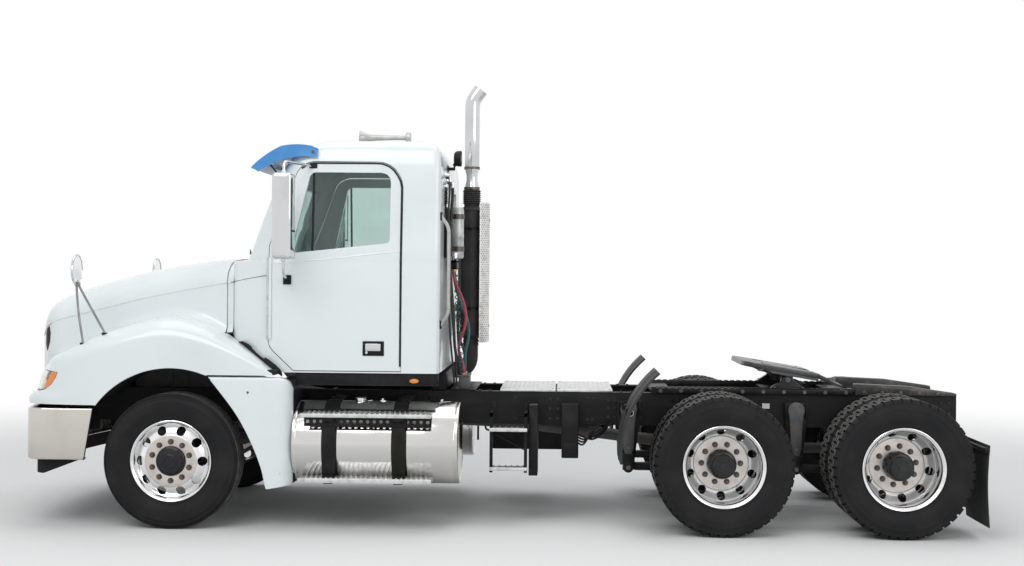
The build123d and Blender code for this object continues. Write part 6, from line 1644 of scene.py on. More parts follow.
def make_grille():
    face = HOOD_FACE + 0.006
    rim = [(at(face + 0.011), y * 0.974, z) for y, z in dense(
        [(-0.338, 1.012), (0.338, 1.012), (0.295, 1.468), (-0.295, 1.468)], 0.05)]
    surround = loop_pipe(closed_route(rim), 0.0125, 12)
    slats, bars = [], []
    for number in range(8):
        z = 1.022 + (number + 0.5) * 0.436 / 8
        half = 0.334 - (z - 1.0) / 0.48 * 0.043
        section = [(face + 0.006, z - 0.004), (face + 0.010, z - 0.009),
                   (face + 0.022, z + 0.002), (face + 0.020, z + 0.009),
                   (face + 0.010, z + 0.004)]
        slats.append(plate(section, "Y", -half, half, 0.0015))
    for number in range(11):
        y = -0.30 + number * 0.06
        top = 1.462 if abs(y) < 0.285 else 1.25
        bars.append(block(face + 0.021, face + 0.027, y - 0.003, y + 0.003, 1.014, top, 0.001))
    screen = block(face + 0.026, face + 0.029, -0.300, 0.300, 1.010, 1.468, 0.001)
    assembly("grille_bars", [(surround, CHROME), (gather(*slats), CHROME),
                             (gather(*bars), BLACK), (screen, SCREEN)],
             "hood", ("grille",), 40)


make_grille()

HOOD_MIRROR = (0.352, 1.050, 1.895)


def hood_mirror():
    s, y, z = HOOD_MIRROR
    bowl = spin([(0.0001, 0.017), (0.050, 0.0155), (0.085, 0.011), (0.107, 0.003),
                 (0.117, -0.005), (0.118, -0.011), (0.115, -0.016), (0.110, -0.017),
                 (0.109, -0.0135), (0.0001, -0.0135)], (at(s), y, z), "X", 48)
    glass = spin([(0.1085, -0.0130), (0.060, -0.0155), (0.0001, -0.0165)], (at(s), y, z), "X", 48)
    front = flowing_pipe([(0.358, y, 1.800), (0.364, y, 1.700), (0.378, y, 1.560),
                          (0.400, y, 1.420), (0.412, y, 1.334)], 0.0085, 12)
    back = bent_pipe([(0.360, y, 1.812), (0.420, y, 1.700), (0.577, y, 1.424)], 0.12, 0.0085, 12)
    yoke = disc_bar(0.020, -0.014, 0.014, (at(0.366), y, 1.790), "Y", 20, 0.003)
    stem = disc_bar(0.013, 0.0, 0.040, (at(s + 0.004), y, 1.782), "Z", 16, 0.003)
    feet = gather(disc_bar(0.024, -0.002, 0.012, (at(0.411), y, 1.345), "Z", 20, 0.003),
                  disc_bar(0.024, -0.002, 0.012, (at(0.573), y, 1.420), "Z", 20, 0.003))
    return bowl, glass, gather(front, back, yoke, stem), feet


def make_hood_mirrors():
    bowl, glass, legs, feet = hood_mirror()
    assembly("hood_mirror_pair", [(both(bowl), CHROME), (both(glass), MIRROR),
                                  (both(legs), STALK), (both(feet), BLACK)],
             "hood", ("hood_mirrors",), 40)


make_hood_mirrors()


# station, height above the seam of the strap's upper edge
LATCH_SHAPE = [(1.548, 0.004), (1.560, 0.012), (1.583, 0.030), (1.629, 0.040), (1.652, 0.042),
               (1.660, 0.030), (1.700, 0.024), (1.740, 0.026), (1.762, 0.030), (1.766, 0.046),
               (1.800, 0.052), (1.850, 0.050), (1.884, 0.040), (1.896, 0.020)]


def hood_latch():
    """Rubber strap on edge over the seam, its wide pull in front and its anchor behind."""
    rows = []
    for s, width in LATCH_SHAPE:
        seam_z = blended(TAIL_SECTIONS, min(s, TAIL_SECTIONS[-1][0]))[0]
        seam_z -= max(0, s - TAIL_SECTIONS[-1][0]) * 0.7
        low, high = seam_z - 0.004, seam_z - 0.004 + width
        inner = cowl_half(s) + 0.016
        bulge = min(0.004, width / 4)
        rows.append(laid([(s, inner, low), (s, inner + 0.020, low),
                          (s, inner + 0.024, low + bulge), (s, inner + 0.024, high - bulge),
                          (s, inner + 0.020, high), (s, inner, high)]))
    strap = skin(rows, loop=True, ends=True)
    y = cowl_half(1.86) + 0.030
    roll = disc_bar(0.013, -0.030, 0.018, (at(1.872), y, 1.156), "Y", 16, 0.002)
    pad = block(1.790, 1.872, 1.020, 1.172, 1.138, 1.176, 0.008)
    return gather(strap, roll, pad)


piece("hood_latches", both(hood_latch()), SEAL, "hood", (), 35)


def wiper(side):
    """Arm and blade lying along the foot of the windshield."""
    inner, outer = side * 0.12, side * 0.62
    blade = [(at(front_s(y, 2.030 + lift) - 0.012), y, 2.030 + lift)
             for y, lift in [(inner + (outer - inner) * n / 10, 0.028 * n / 10)
                             for n in range(11)]]
    middle = blade[5]
    foot_y = side * 0.10
    foot = (at(front_s(foot_y, 1.992) - 0.010), foot_y, 1.992)
    lift = (middle[0] + 0.006, middle[1], middle[2])
    return gather(pipe(blade, 0.005, 8), pipe([foot, ((foot[0] + lift[0]) / 2 + 0.004,
                                                      (foot[1] + lift[1]) / 2,
                                                      (foot[2] + lift[2]) / 2), lift], 0.006, 8),
                  disc_bar(0.014, -0.006, 0.012, foot, "X", 16, 0.002))


piece("wipers", gather(wiper(1), wiper(-1)), BLACK, "chassis", (), 40)


# Fuel tanks with their straps and steps

TANK_FRONT = 1.985
TANK_REAR = 3.205
TANK_R = 0.305
TANK_Y = 0.850
TANK_Z = 0.628
TANK_MIDDLE = (TANK_FRONT + TANK_REAR) / 2
STRAP_STATIONS = (2.263, 2.775)
STRAP_W = 0.106
STEP_OUT_Y = 1.215
STEP_IN_Y = 1.018
STEP_FRONT = 2.060
STEP_REAR = 3.014


def tank_shell():
    half = (TANK_REAR - TANK_FRONT) / 2
    ahead = [(0.0001, half - 0.020), (0.120, half - 0.0185), (0.210, half - 0.014),
             (0.262, half - 0.007), (0.284, half - 0.004), (0.290, half - 0.0005),
             (0.298, half), (0.3035, half - 0.004), (0.305, half - 0.012),
             (0.305, half - 0.026), (0.3032, half - 0.029), (0.305, half - 0.033)]
    joint = [(0.305, 0.006), (0.3036, 0.0), (0.305, -0.006)]
    profile = ahead + joint + [(radius, -offset) for radius, offset in reversed(ahead)]
    return spin(profile, (at(TANK_MIDDLE), TANK_Y, TANK_Z), "X", 96)


def tank_fittings():
    top = TANK_Z + TANK_R
    neck = disc_bar(0.036, -0.012, 0.010, (at(2.455), TANK_Y, top), "Z", 32, 0.002)
    cap = spin([(0.0001, 0.026), (0.030, 0.026), (0.038, 0.024), (0.042, 0.020), (0.042, 0.008),
                (0.038, 0.004), (0.0001, 0.004)], (at(2.455), TANK_Y, top), "Z", 48,
               ripple=lambda row, turn: 0.0015 if row in (3, 4) and turn % 4 < 2 else 0)
    sender = disc_bar(0.026, -0.006, 0.006, (at(2.620), TANK_Y, top), "Z", 24, 0.002)
    plug = disc_bar(0.012, 0.004, 0.018, (at(2.620), TANK_Y, top), "Z", 6, 0.001)
    outlet = disc_bar(0.014, -0.008, 0.014, (at(3.060), TANK_Y - 0.04, top - 0.003), "Z", 16,
                      0.002)
    chain = flowing_pipe([(2.490, TANK_Y + 0.02, top + 0.010),
                          (2.520, TANK_Y + 0.05, top + 0.004),
                          (2.545, TANK_Y + 0.03, top + 0.006)], 0.0025, 6)
    return gather(neck, cap, sender, plug, outlet, chain)


def make_tanks():
    assembly("fuel_tank_pair", [(both(tank_shell()), TANK), (both(tank_fittings()), ALLOY)],
             "chassis", ("fuel_tanks",), 32)


make_tanks()


def strap(station):
    """Strap round the tank, its bracket to the frame and the step's arms."""
    front, back = station - STRAP_W / 2, station + STRAP_W / 2
    centre = (at(station), TANK_Y, TANK_Z)
    band = spin([(0.3055, -0.053), (0.3105, -0.053), (0.3115, -0.050), (0.3115, 0.050),
                 (0.3105, 0.053), (0.3055, 0.053)], centre, "X", 80, closed=True)
    liner = hoop(0.3052, 0.3075, -0.056, 0.056, centre, "X", 80)
    round_tank = disc_bar(0.3056, -0.2, 0.2, centre, "X", 80, 0)
    bracket = carved(block(front, back, 0.430, 0.700, 0.438, 0.950, 0.004),
                     ("DIFFERENCE", round_tank), solver="EXACT")
    arm = plate([(0.985, 0.800), (1.020, 0.800), (1.205, 0.812), (1.205, 0.838), (1.000, 0.838)],
                "X", front + 0.012, back - 0.012, 0.002)
    foot = plate([(0.980, 0.436), (1.060, 0.400), (1.205, 0.400), (1.205, 0.412), (1.110, 0.436)],
                 "X", front + 0.012, back - 0.012, 0.002)
    upright = block(front + 0.004, back - 0.004, 1.156, 1.170, 0.420, 0.815, 0.004)
    pads = block(front + 0.02, back - 0.02, 1.060, 1.190, 0.352, 0.362, 0.002)
    fixings = bolts_at([(station - 0.03, 0.432, z) for z in (0.50, 0.90)]
                       + [(station + 0.03, 0.432, z) for z in (0.50, 0.90)])
    fold = bolts_at([(station, 1.170, 0.560), (station, 1.170, 0.700)], "Y", 0.009, 0.006)
    return gather(band, bracket, arm, foot, upright, pads, fixings, fold), liner


def step_tread(front, rear, low, high):
    """Bright tread with a folded front lip and slanted teeth."""
    tray = block(front, rear, STEP_IN_Y, STEP_OUT_Y - 0.004, low + 0.004, high - 0.008, 0.003)
    lip = block(front, rear, STEP_OUT_Y - 0.008, STEP_OUT_Y, low, high - 0.006, 0.002)
    back = block(front, rear, STEP_IN_Y, STEP_IN_Y + 0.006, low, high - 0.004, 0.002)
    bars = teeth(front + 0.02, rear - 0.04, STEP_IN_Y + 0.012, STEP_OUT_Y - 0.010, high - 0.010,
                 high, 0.036, 0.014, 0.022)
    return gather(tray, lip, back, bars)


def punched_bar():
    """Dark bar with a row of holes under the upper step's edge."""
    bar = block(2.085, 3.018, 1.174, 1.178, 0.770, 0.838, 0.001)
    holes = [disc_bar(0.013, 1.16, 1.19, (at(2.112 + number * 0.0487), 0, 0.806), "Y", 16, 0)
             for number in range(19)]
    return carved(bar, ("DIFFERENCE", gather(*holes)), solver="EXACT")


def make_tank_steps():
    dark, liners = zip(*[strap(station) for station in STRAP_STATIONS])
    upper = step_tread(STEP_FRONT, STEP_REAR, 0.838, 0.872)
    lower = step_tread(STEP_FRONT - 0.014, STEP_REAR + 0.006, 0.362, 0.402)
    assembly("tank_step_pair", [
        (both(gather(*dark)), BLACK), (both(gather(*liners)), SEAL),
        (both(punched_bar()), BLACK), (both(gather(upper, lower)), TREADPLATE)],
        "chassis", ("tank_steps",), 32)


make_tank_steps()


# Splash panels behind the front wheels

SPLASH_REAR = 1.984
SPLASH_TOP = 1.122
SPLASH_HALF = 1.180
SPLASH_IN_Y = 0.760
SPLASH_BEND_S = 1.862
SPLASH_BEND_Y = 1.062
# height, station of the front edge
SPLASH_FRONT = [(0.306, 1.812), (0.336, 1.804), (0.458, 1.776), (0.640, 1.704), (0.848, 1.592),
                (1.084, 1.412), (1.122, 1.376)]


def splash_top(s):
    if s < 1.900:
        return SPLASH_TOP
    if s < 1.955:
        return SPLASH_TOP - (s - 1.900) / 0.055 * 0.022
    return 1.100 - (s - 1.955) / 0.029 * 0.060


def splash_skin():
    """Flat side, rounded rear corner and rear return, with a rolled top edge."""
    rows = []
    levels = [(z, 0.0) for z in (0.306, 0.336, 0.400, 0.458, 0.550, 0.640, 0.740, 0.848, 0.930,
                                 1.010, 1.060, 1.092)]
    levels += [(1.106, 0.0015), (1.115, 0.005), (1.120, 0.011), (1.122, 0.020), (1.122, 0.060)]
    for z, lean in levels:
        front = blended(SPLASH_FRONT, z)[0]
        plan = [(s, SPLASH_HALF - lean) for s in spread(front, SPLASH_BEND_S, 14)]
        for number in range(1, 13):
            turn = math.pi / 2 * number / 12
            plan.append((SPLASH_BEND_S + (SPLASH_REAR - SPLASH_BEND_S - lean) * math.sin(turn),
                         SPLASH_BEND_Y + (SPLASH_HALF - SPLASH_BEND_Y - lean) * math.cos(turn)))
        plan += [(SPLASH_REAR - lean, y) for y in spread(SPLASH_BEND_Y, SPLASH_IN_Y, 4)[1:]]
        low = [0.306 + 0.030 * max(0, s - 1.812) / 0.172 for s, _ in plan]
        rows.append([(at(s), y, min(max(z, floor), splash_top(s)))
                     for (s, y), floor in zip(plan, low)])
    return skin(rows)


def parted(part, test):
    """The faces whose corners pass the test, and the others, on the same points."""
    points, faces = part
    passed = [face for face in faces if test([points[index] for index in face])]
    failed = [face for face in faces if not test([points[index] for index in face])]
    return (points, passed), (points, failed)


def make_splash_panels():
    panel = solid_skin("splash_blank", splash_skin(), 0.006)
    edge = [(at(blended(SPLASH_FRONT, z)[0]), SPLASH_HALF - 0.007, z)
            for z in spread(0.312, 1.100, 24)]
    hem = pipe(edge, 0.0065, 8)
    stay = block(1.924, 1.976, 0.430, 0.775, 0.880, 0.940, 0.005)
    tie = block(1.930, 1.980, 0.755, 0.776, 0.860, 1.000, 0.004)
    screws = gather(disc_bar(0.0085, SPLASH_HALF - 0.001, SPLASH_HALF + 0.004,
                             (at(1.671), 0, 1.011), "Y", 20, 0.002),
                    disc_bar(0.007, SPLASH_HALF - 0.001, SPLASH_HALF + 0.003,
                             (at(1.905), -0.012, 0.420), "Y", 20, 0.001))
    # Painted shade: the panel's rear return, inward of the rounded corner, takes the black finish
    # to stand for the shadow behind the panel, while the flat side and corner stay white.
    side, back = parted(
        panel, lambda corners: min(y for _, y, _ in corners) > SPLASH_BEND_Y - 0.02)
    assembly("splash_panel_pair", [(both(gather(side, hem)), WHITE),
                                   (both(gather(back, stay, tie)), BLACK),
                                   (both(screws), NUT_STEEL)],
             "chassis", ("splash_panels",), 30)


make_splash_panels()


# Deck plates, ladder, boxes and lines along the frame

RAIL_Y = 0.430
RAIL_TOP = 0.980
RAIL_BOTTOM = 0.727


def make_deck():
    trays, marks = [], []
    for start in (3.481, 3.922):
        trays.append(block(start, start + 0.430, -0.436, 0.436, 0.9815, 1.0000, 0.003))
        marks.append(lozenges(start + 0.012, start + 0.418, -0.424, 0.424, 0.9998, 0.034))
    screws = bolts_at([(s, y, 0.999) for s in (3.50, 3.89, 3.94, 4.33) for y in (-0.38, 0.38)],
                      "Z", 0.008, 0.003)
    assembly("deck_tread_plates", [(gather(*trays), TREADPLATE), (gather(*marks), TREADPLATE),
                                   (screws, NUT_STEEL)],
             "chassis", ("deck_plates",), 25)


make_deck()


def ladder():
    legs = [rail for s in (3.430, 3.690) for rail in (
        block(s - 0.012, s + 0.012, 0.738, 0.762, 0.393, 0.846, 0.003),
        block(s - 0.012, s + 0.012, 0.430, 0.762, 0.812, 0.846, 0.003),
        block(s - 0.020, s + 0.020, 0.430, 0.440, 0.760, 0.900, 0.002))]
    brace = [rod([(3.436, 0.740, 0.690), (3.684, 0.740, 0.560)], 0.0035, 6),
             block(3.55, 3.69, 0.735, 0.745, 0.700, 0.708, 0.001)]
    treads = []
    for z in (0.427, 0.721):
        treads.append(block(3.420, 3.700, 0.664, 0.806, z - 0.010, z + 0.004, 0.002))
        treads.append(block(3.418, 3.702, 0.804, 0.810, z - 0.014, z + 0.012, 0.001))
        treads.append(teeth(3.425, 3.695, 0.668, 0.800, z + 0.002, z + 0.012, 0.040, 0.010, 0.0))
    return gather(*legs, *brace), gather(*treads)


def frame_boxes():
    """Hanger post, valve block with its lines, and a guard bar on the right side."""
    post = block(3.712, 3.780, 0.430, 0.700, 0.364, 0.900, 0.006)
    valve = block(3.960, 4.090, 0.430, 0.560, 0.482, 0.900, 0.008)
    cover = block(3.976, 4.074, 0.556, 0.566, 0.500, 0.600, 0.004)
    lines = []
    for number, sag in enumerate((0.70, 0.665, 0.640, 0.62)):
        y = 0.530 - number * 0.022
        lines.append(flowing_pipe([
            (4.080, y, 0.600 + number * 0.02), (4.130, y + 0.01, 0.590 + number * 0.016),
            (4.200, y, sag), (4.270, y - 0.012, sag + 0.040), (4.330, y - 0.03, 0.735),
            (4.360, y - 0.04, 0.770)], 0.0075, 8))
    guard = bent_pipe([(3.330, -0.300, 0.730), (3.330, -0.300, 0.600), (4.420, -0.300, 0.600),
                       (4.420, -0.300, 0.730)], 0.03, 0.008, 10)
    drop = block(3.262, 3.278, -0.30, -0.27, 0.520, 0.730, 0.003)
    return gather(post, valve, cover, *lines, guard, drop)


def battery_box():
    case = block(3.384, 3.976, -0.895, -0.430, 0.430, 0.880, 0.010)
    lid = block(3.380, 3.980, -0.900, -0.440, 0.846, 0.900, 0.008)
    face = block(3.388, 3.972, -0.900, -0.890, 0.440, 0.840, 0.003)
    latches = [block(s - 0.018, s + 0.018, -0.900, -0.889, 0.800, 0.866, 0.004)
               for s in (3.50, 3.86)]
    tread = block(3.400, 3.960, -0.900, -0.800, 0.424, 0.436, 0.003)
    return case, gather(lid, face, tread), gather(*latches)


def air_tank():
    half = 0.140
    cap = [(0.0001, half), (0.050, half - 0.006), (0.090, half - 0.020), (0.112, half - 0.040),
           (0.119, half - 0.056), (0.120, half - 0.070)]
    body = spin(mirrored_section(cap), (at(4.200), -0.600, 0.640), "X", 48)
    bands = [hoop(0.120, 0.123, -0.012, 0.012, (at(s), -0.600, 0.640), "X")
             for s in (4.13, 4.27)]
    stay = block(4.160, 4.240, -0.600, -0.430, 0.690, 0.800, 0.005)
    return gather(body, *bands, stay)


def make_side_steps():
    frame_part, treads = ladder()
    case, lid, latches = battery_box()
    assembly("frame_side_fittings", [
        (frame_part, BLACK), (treads, TREADPLATE), (frame_boxes(), BLACK), (case, BLACK),
        (lid, TREADPLATE), (latches, NUT_STEEL), (air_tank(), BLACK)],
        "chassis", ("side_steps",), 32)


make_side_steps()


def make_rail_bolts():
    """Bolt heads on both rails, and the lines that run inside them."""
    places = []
    for s in (2.960, 3.900, 4.850, 5.300, 6.280, 6.560, 6.900):
        places += [(s + across, RAIL_Y, z) for across in (-0.030, 0.030)
                   for z in (0.775, 0.850, 0.925)]
    places += [(s, RAIL_Y, z) for s in (3.60, 4.16, 4.20) for z in (0.770, 0.935)]
    places += [(s, RAIL_Y, z) for s in (4.32, 4.37, 4.42, 4.56) for z in (0.79, 0.86, 0.92)]
    places += [(s, RAIL_Y, z) for s in (0.62, 0.90, 1.30, 1.66) for z in (0.77, 0.83)]
    upper = bolts_at([(s, RAIL_Y - 0.043, RAIL_TOP) for s in (3.32, 3.40, 4.42, 4.50, 6.95)],
                     "Z", 0.010, 0.008)
    heads = gather(bolts_at(places), upper)
    lines = []
    for number in range(3):
        y = 0.300 - number * 0.022
        lines.append(flowing_pipe([
            (2.30, y, 0.950), (3.10, y + 0.01, 0.944), (3.80, y - 0.01, 0.950),
            (4.60, y + 0.006, 0.940), (5.30, y, 0.948), (6.30, y + 0.01, 0.944)],
            0.008, 8, steps=4))
    label = block(5.506, 5.562, RAIL_Y, RAIL_Y + 0.001, 0.868, 0.908, 0)
    assembly("rail_fixings", [(both(heads), BLACK_GLOSS), (gather(*lines), HOSE_BLACK),
                              (label, LABEL)], "chassis", (), 40)


make_rail_bolts()


# Rear fenders, mud flaps and their bars

QUARTER_IN_Y = 0.640
QUARTER_OUT_Y = 1.215
QUARTER_LINE = [(4.657, 1.190), (4.452, 0.916), (4.384, 0.523)]
FLAP_BAR_S = 7.000
FLAP_BAR_Z = 0.655


def quarter_fender():
    """Curved blade with folded edges and a raised middle rib."""
    line = arc_through(*QUARTER_LINE, 36)
    rows = []
    for index, (s, z) in enumerate(line):
        before, after = line[max(index - 1, 0)], line[min(index + 1, 36)]
        run_s, run_z = after[0] - before[0], after[1] - before[1]
        size = math.hypot(run_s, run_z)
        back_s, back_z = -run_z / size, run_s / size
        row = []
        for y, depth in [(QUARTER_IN_Y, 0.017), (QUARTER_IN_Y, 0.004), (QUARTER_IN_Y + 0.004, 0),
                         (0.905, 0), (0.915, -0.0045), (0.940, -0.0045), (0.950, 0),
                         (QUARTER_OUT_Y - 0.004, 0), (QUARTER_OUT_Y, 0.004),
                         (QUARTER_OUT_Y, 0.017)]:
            row.append((at(s + back_s * depth), y, z + back_z * depth))
        rows.append(row)
    return solid_skin("quarter_blank", skin(rows), 0.0035)


def make_quarter_fenders():
    centre = (at(4.462), 0, 0.880)
    post = spin([(0.0001, 0.4903), (0.024, 0.4903), (0.024, 1.055), (0.0205, 1.055),
                 (0.0205, 1.030), (0.0001, 1.030)], centre, "Y", 32)
    flange = disc_bar(0.044, 0.4903, 0.500, centre, "Y", 32, 0.002)
    clamps = []
    for y in (0.700, 0.990):
        clamps.append(hoop(0.0243, 0.028, y - 0.018, y + 0.018, centre, "Y", 32))
        clamps.append(block(4.430, 4.450, y - 0.018, y + 0.018, 0.862, 0.912, 0.003))
    mouth = hoop(0.0205, 0.0238, 1.056, 1.054, centre, "Y", 32)
    assembly("quarter_fender_pair", [
        (both(quarter_fender()), FLAP), (both(gather(post, flange)), BLACK),
        (both(gather(*clamps)), BLACK), (both(mouth), SATIN_ALLOY)],
        "chassis", ("quarter_fenders",), 30)


make_quarter_fenders()


def mud_flap():
    """Thin rubber sheet that hangs from a bar and bows a little at its foot."""
    rows = []
    for z in spread(0.690, 0.100, 26):
        bow = 0.012 * math.sin(math.pi * min(1.0, (0.690 - z) / 0.59))
        rows.append([(at(7.0245 - bow - 0.002 * math.sin(9 * y + 7 * z)), y, z)
                     for y in spread(0.622, 1.198, 22)])
    return solid_skin("flap_blank", skin(rows), 0.007)


def make_mud_flaps():
    bar = disc_bar(0.018, 0.460, 1.190, (at(FLAP_BAR_S), 0, FLAP_BAR_Z), "Y", 24, 0.004)
    ball = spin([(0.0001, -0.024), (0.012, -0.021), (0.021, -0.012), (0.024, 0), (0.021, 0.012),
                 (0.012, 0.021), (0.0001, 0.024)], (at(FLAP_BAR_S), 1.192, FLAP_BAR_Z), "Y", 24)
    strip = block(7.0165, 7.0225, 0.630, 1.190, 0.630, 0.684, 0.002)
    screws = gather(*[bolt((at(7.0170), y, 0.655), "X", 0.010, 0.007, 1)
                      for y in spread(0.665, 1.155, 5)])
    plate_part = plate([(6.896, 0.640), (7.004, 0.634), (7.020, 0.662), (7.004, 0.700),
                        (6.960, 0.800), (6.896, 0.800)], "Y", 0.430, 0.460, 0.003)
    arm = plate([(6.905, 0.735), (6.925, 0.762), (7.012, 0.690), (7.012, 0.640)], "Y", 0.460,
                0.490, 0.003)
    heads = bolts_at([(6.915, 0.460, 0.775), (6.945, 0.460, 0.775), (6.925, 0.490, 0.735)])
    assembly("mud_flap_pair", [(both(mud_flap()), FLAP), (both(gather(bar, ball)), BLACK),
                               (both(gather(strip, plate_part, arm)), BLACK),
                               (both(gather(screws, heads)), NUT_STEEL)],
             "chassis", ("mud_flaps",), 35)


make_mud_flaps()


# Slide rails, pedestals, ramps and the jaw plate

PIVOT_S = 5.702
PIVOT_Z = 1.092
PIVOT_BORE_R = 0.0202
PLATE_TILT = math.radians(9.3)
JAW_S = 5.660
KINGPIN_R = 0.0254
SLIDE_TOP = 1.026
PEDESTAL_Y = 0.372


def make_slide_base():
    bar = block(4.650, 6.200, 0.344, 0.460, RAIL_TOP + 0.0005, SLIDE_TOP - 0.006, 0.004)
    rack = teeth(4.690, 6.160, 0.404, 0.444, SLIDE_TOP - 0.007, SLIDE_TOP, 0.050, 0.028, 0.0)
    lip = block(4.650, 6.200, 0.344, 0.362, SLIDE_TOP - 0.010, SLIDE_TOP, 0.003)
    stops = [block(s, s + 0.040, 0.350, 0.456, SLIDE_TOP - 0.008, SLIDE_TOP + 0.002, 0.004)
             for s in (4.650, 6.160)]
    plates = [block(s, s + length, -0.340, 0.340, RAIL_TOP + 0.0005, RAIL_TOP + 0.024, 0.004)
              for s, length in ((4.650, 0.160), (6.040, 0.160), (5.552, 0.300))]
    low, high = SLIDE_TOP - 0.006, PIVOT_Z + 0.026
    outline = [(PIVOT_S - 0.130, low), (PIVOT_S + 0.130, low), (PIVOT_S + 0.126, low + 0.012),
               (PIVOT_S + 0.052, high - 0.040), (PIVOT_S + 0.038, high - 0.010),
               (PIVOT_S + 0.018, high), (PIVOT_S - 0.018, high), (PIVOT_S - 0.038, high - 0.010),
               (PIVOT_S - 0.052, high - 0.040), (PIVOT_S - 0.126, low + 0.012)]
    bore = disc_bar(PIVOT_BORE_R, 0.30, 0.50, (at(PIVOT_S), 0, PIVOT_Z), "Y", 40, 0)
    pedestal = carved(plate(outline, "Y", PEDESTAL_Y, PEDESTAL_Y + 0.060, 0.003),
                      ("DIFFERENCE", bore), solver="EXACT")
    heel = block(PIVOT_S - 0.128, PIVOT_S + 0.128, PEDESTAL_Y - 0.010, PEDESTAL_Y + 0.070,
                 low, low + 0.012, 0.003)
    collar = hoop(PIVOT_BORE_R, 0.034, 0.4322, 0.438, (at(PIVOT_S), 0, PIVOT_Z), "Y", 40)
    fixings = bolts_at([(PIVOT_S + across, 0.447, low + 0.012) for across in (-0.105, 0.105)],
                       "Z", 0.012, 0.010)
    side_bolts = bolts_at([(s, 0.460, 1.000) for s in spread(4.72, 6.14, 9)], "Y", 0.012, 0.010)
    ramps = plate([(6.215, 0.9805), (6.215, 1.060), (6.221, 1.066), (6.622, 1.050),
                   (6.980, 1.001), (6.985, 0.996), (6.985, 0.9805)], "Y", 0.344, 0.450, 0.003)
    ramp_bolts = bolts_at([(s, 0.450, 1.005) for s in (6.28, 6.42, 6.56, 6.70, 6.84)], "Y",
                          0.012, 0.009)
    ram = disc_bar(0.030, -0.280, 0.280, (at(5.860), 0, 1.024), "Y", 28, 0.003)
    assembly("slide_assembly", [
        (both(gather(bar, rack, lip, *stops)), BLACK), (gather(*plates), BLACK),
        (both(gather(pedestal, heel, collar)), BLACK_GLOSS),
        (both(gather(fixings, side_bolts, ramp_bolts)), NUT_STEEL), (both(ramps), RAMP),
        (ram, BLACK)],
        "chassis", ("slide_base",), 30)


make_slide_base()


def tilted(part):
    """A part of the jaw plate, drawn level and then tilted on its pivot."""
    pivot = Vector((at(PIVOT_S), 0, PIVOT_Z))
    turn = Matrix.Rotation(-PLATE_TILT, 4, "Y")
    return moved(part, Matrix.Translation(pivot) @ turn @ Matrix.Translation(-pivot))


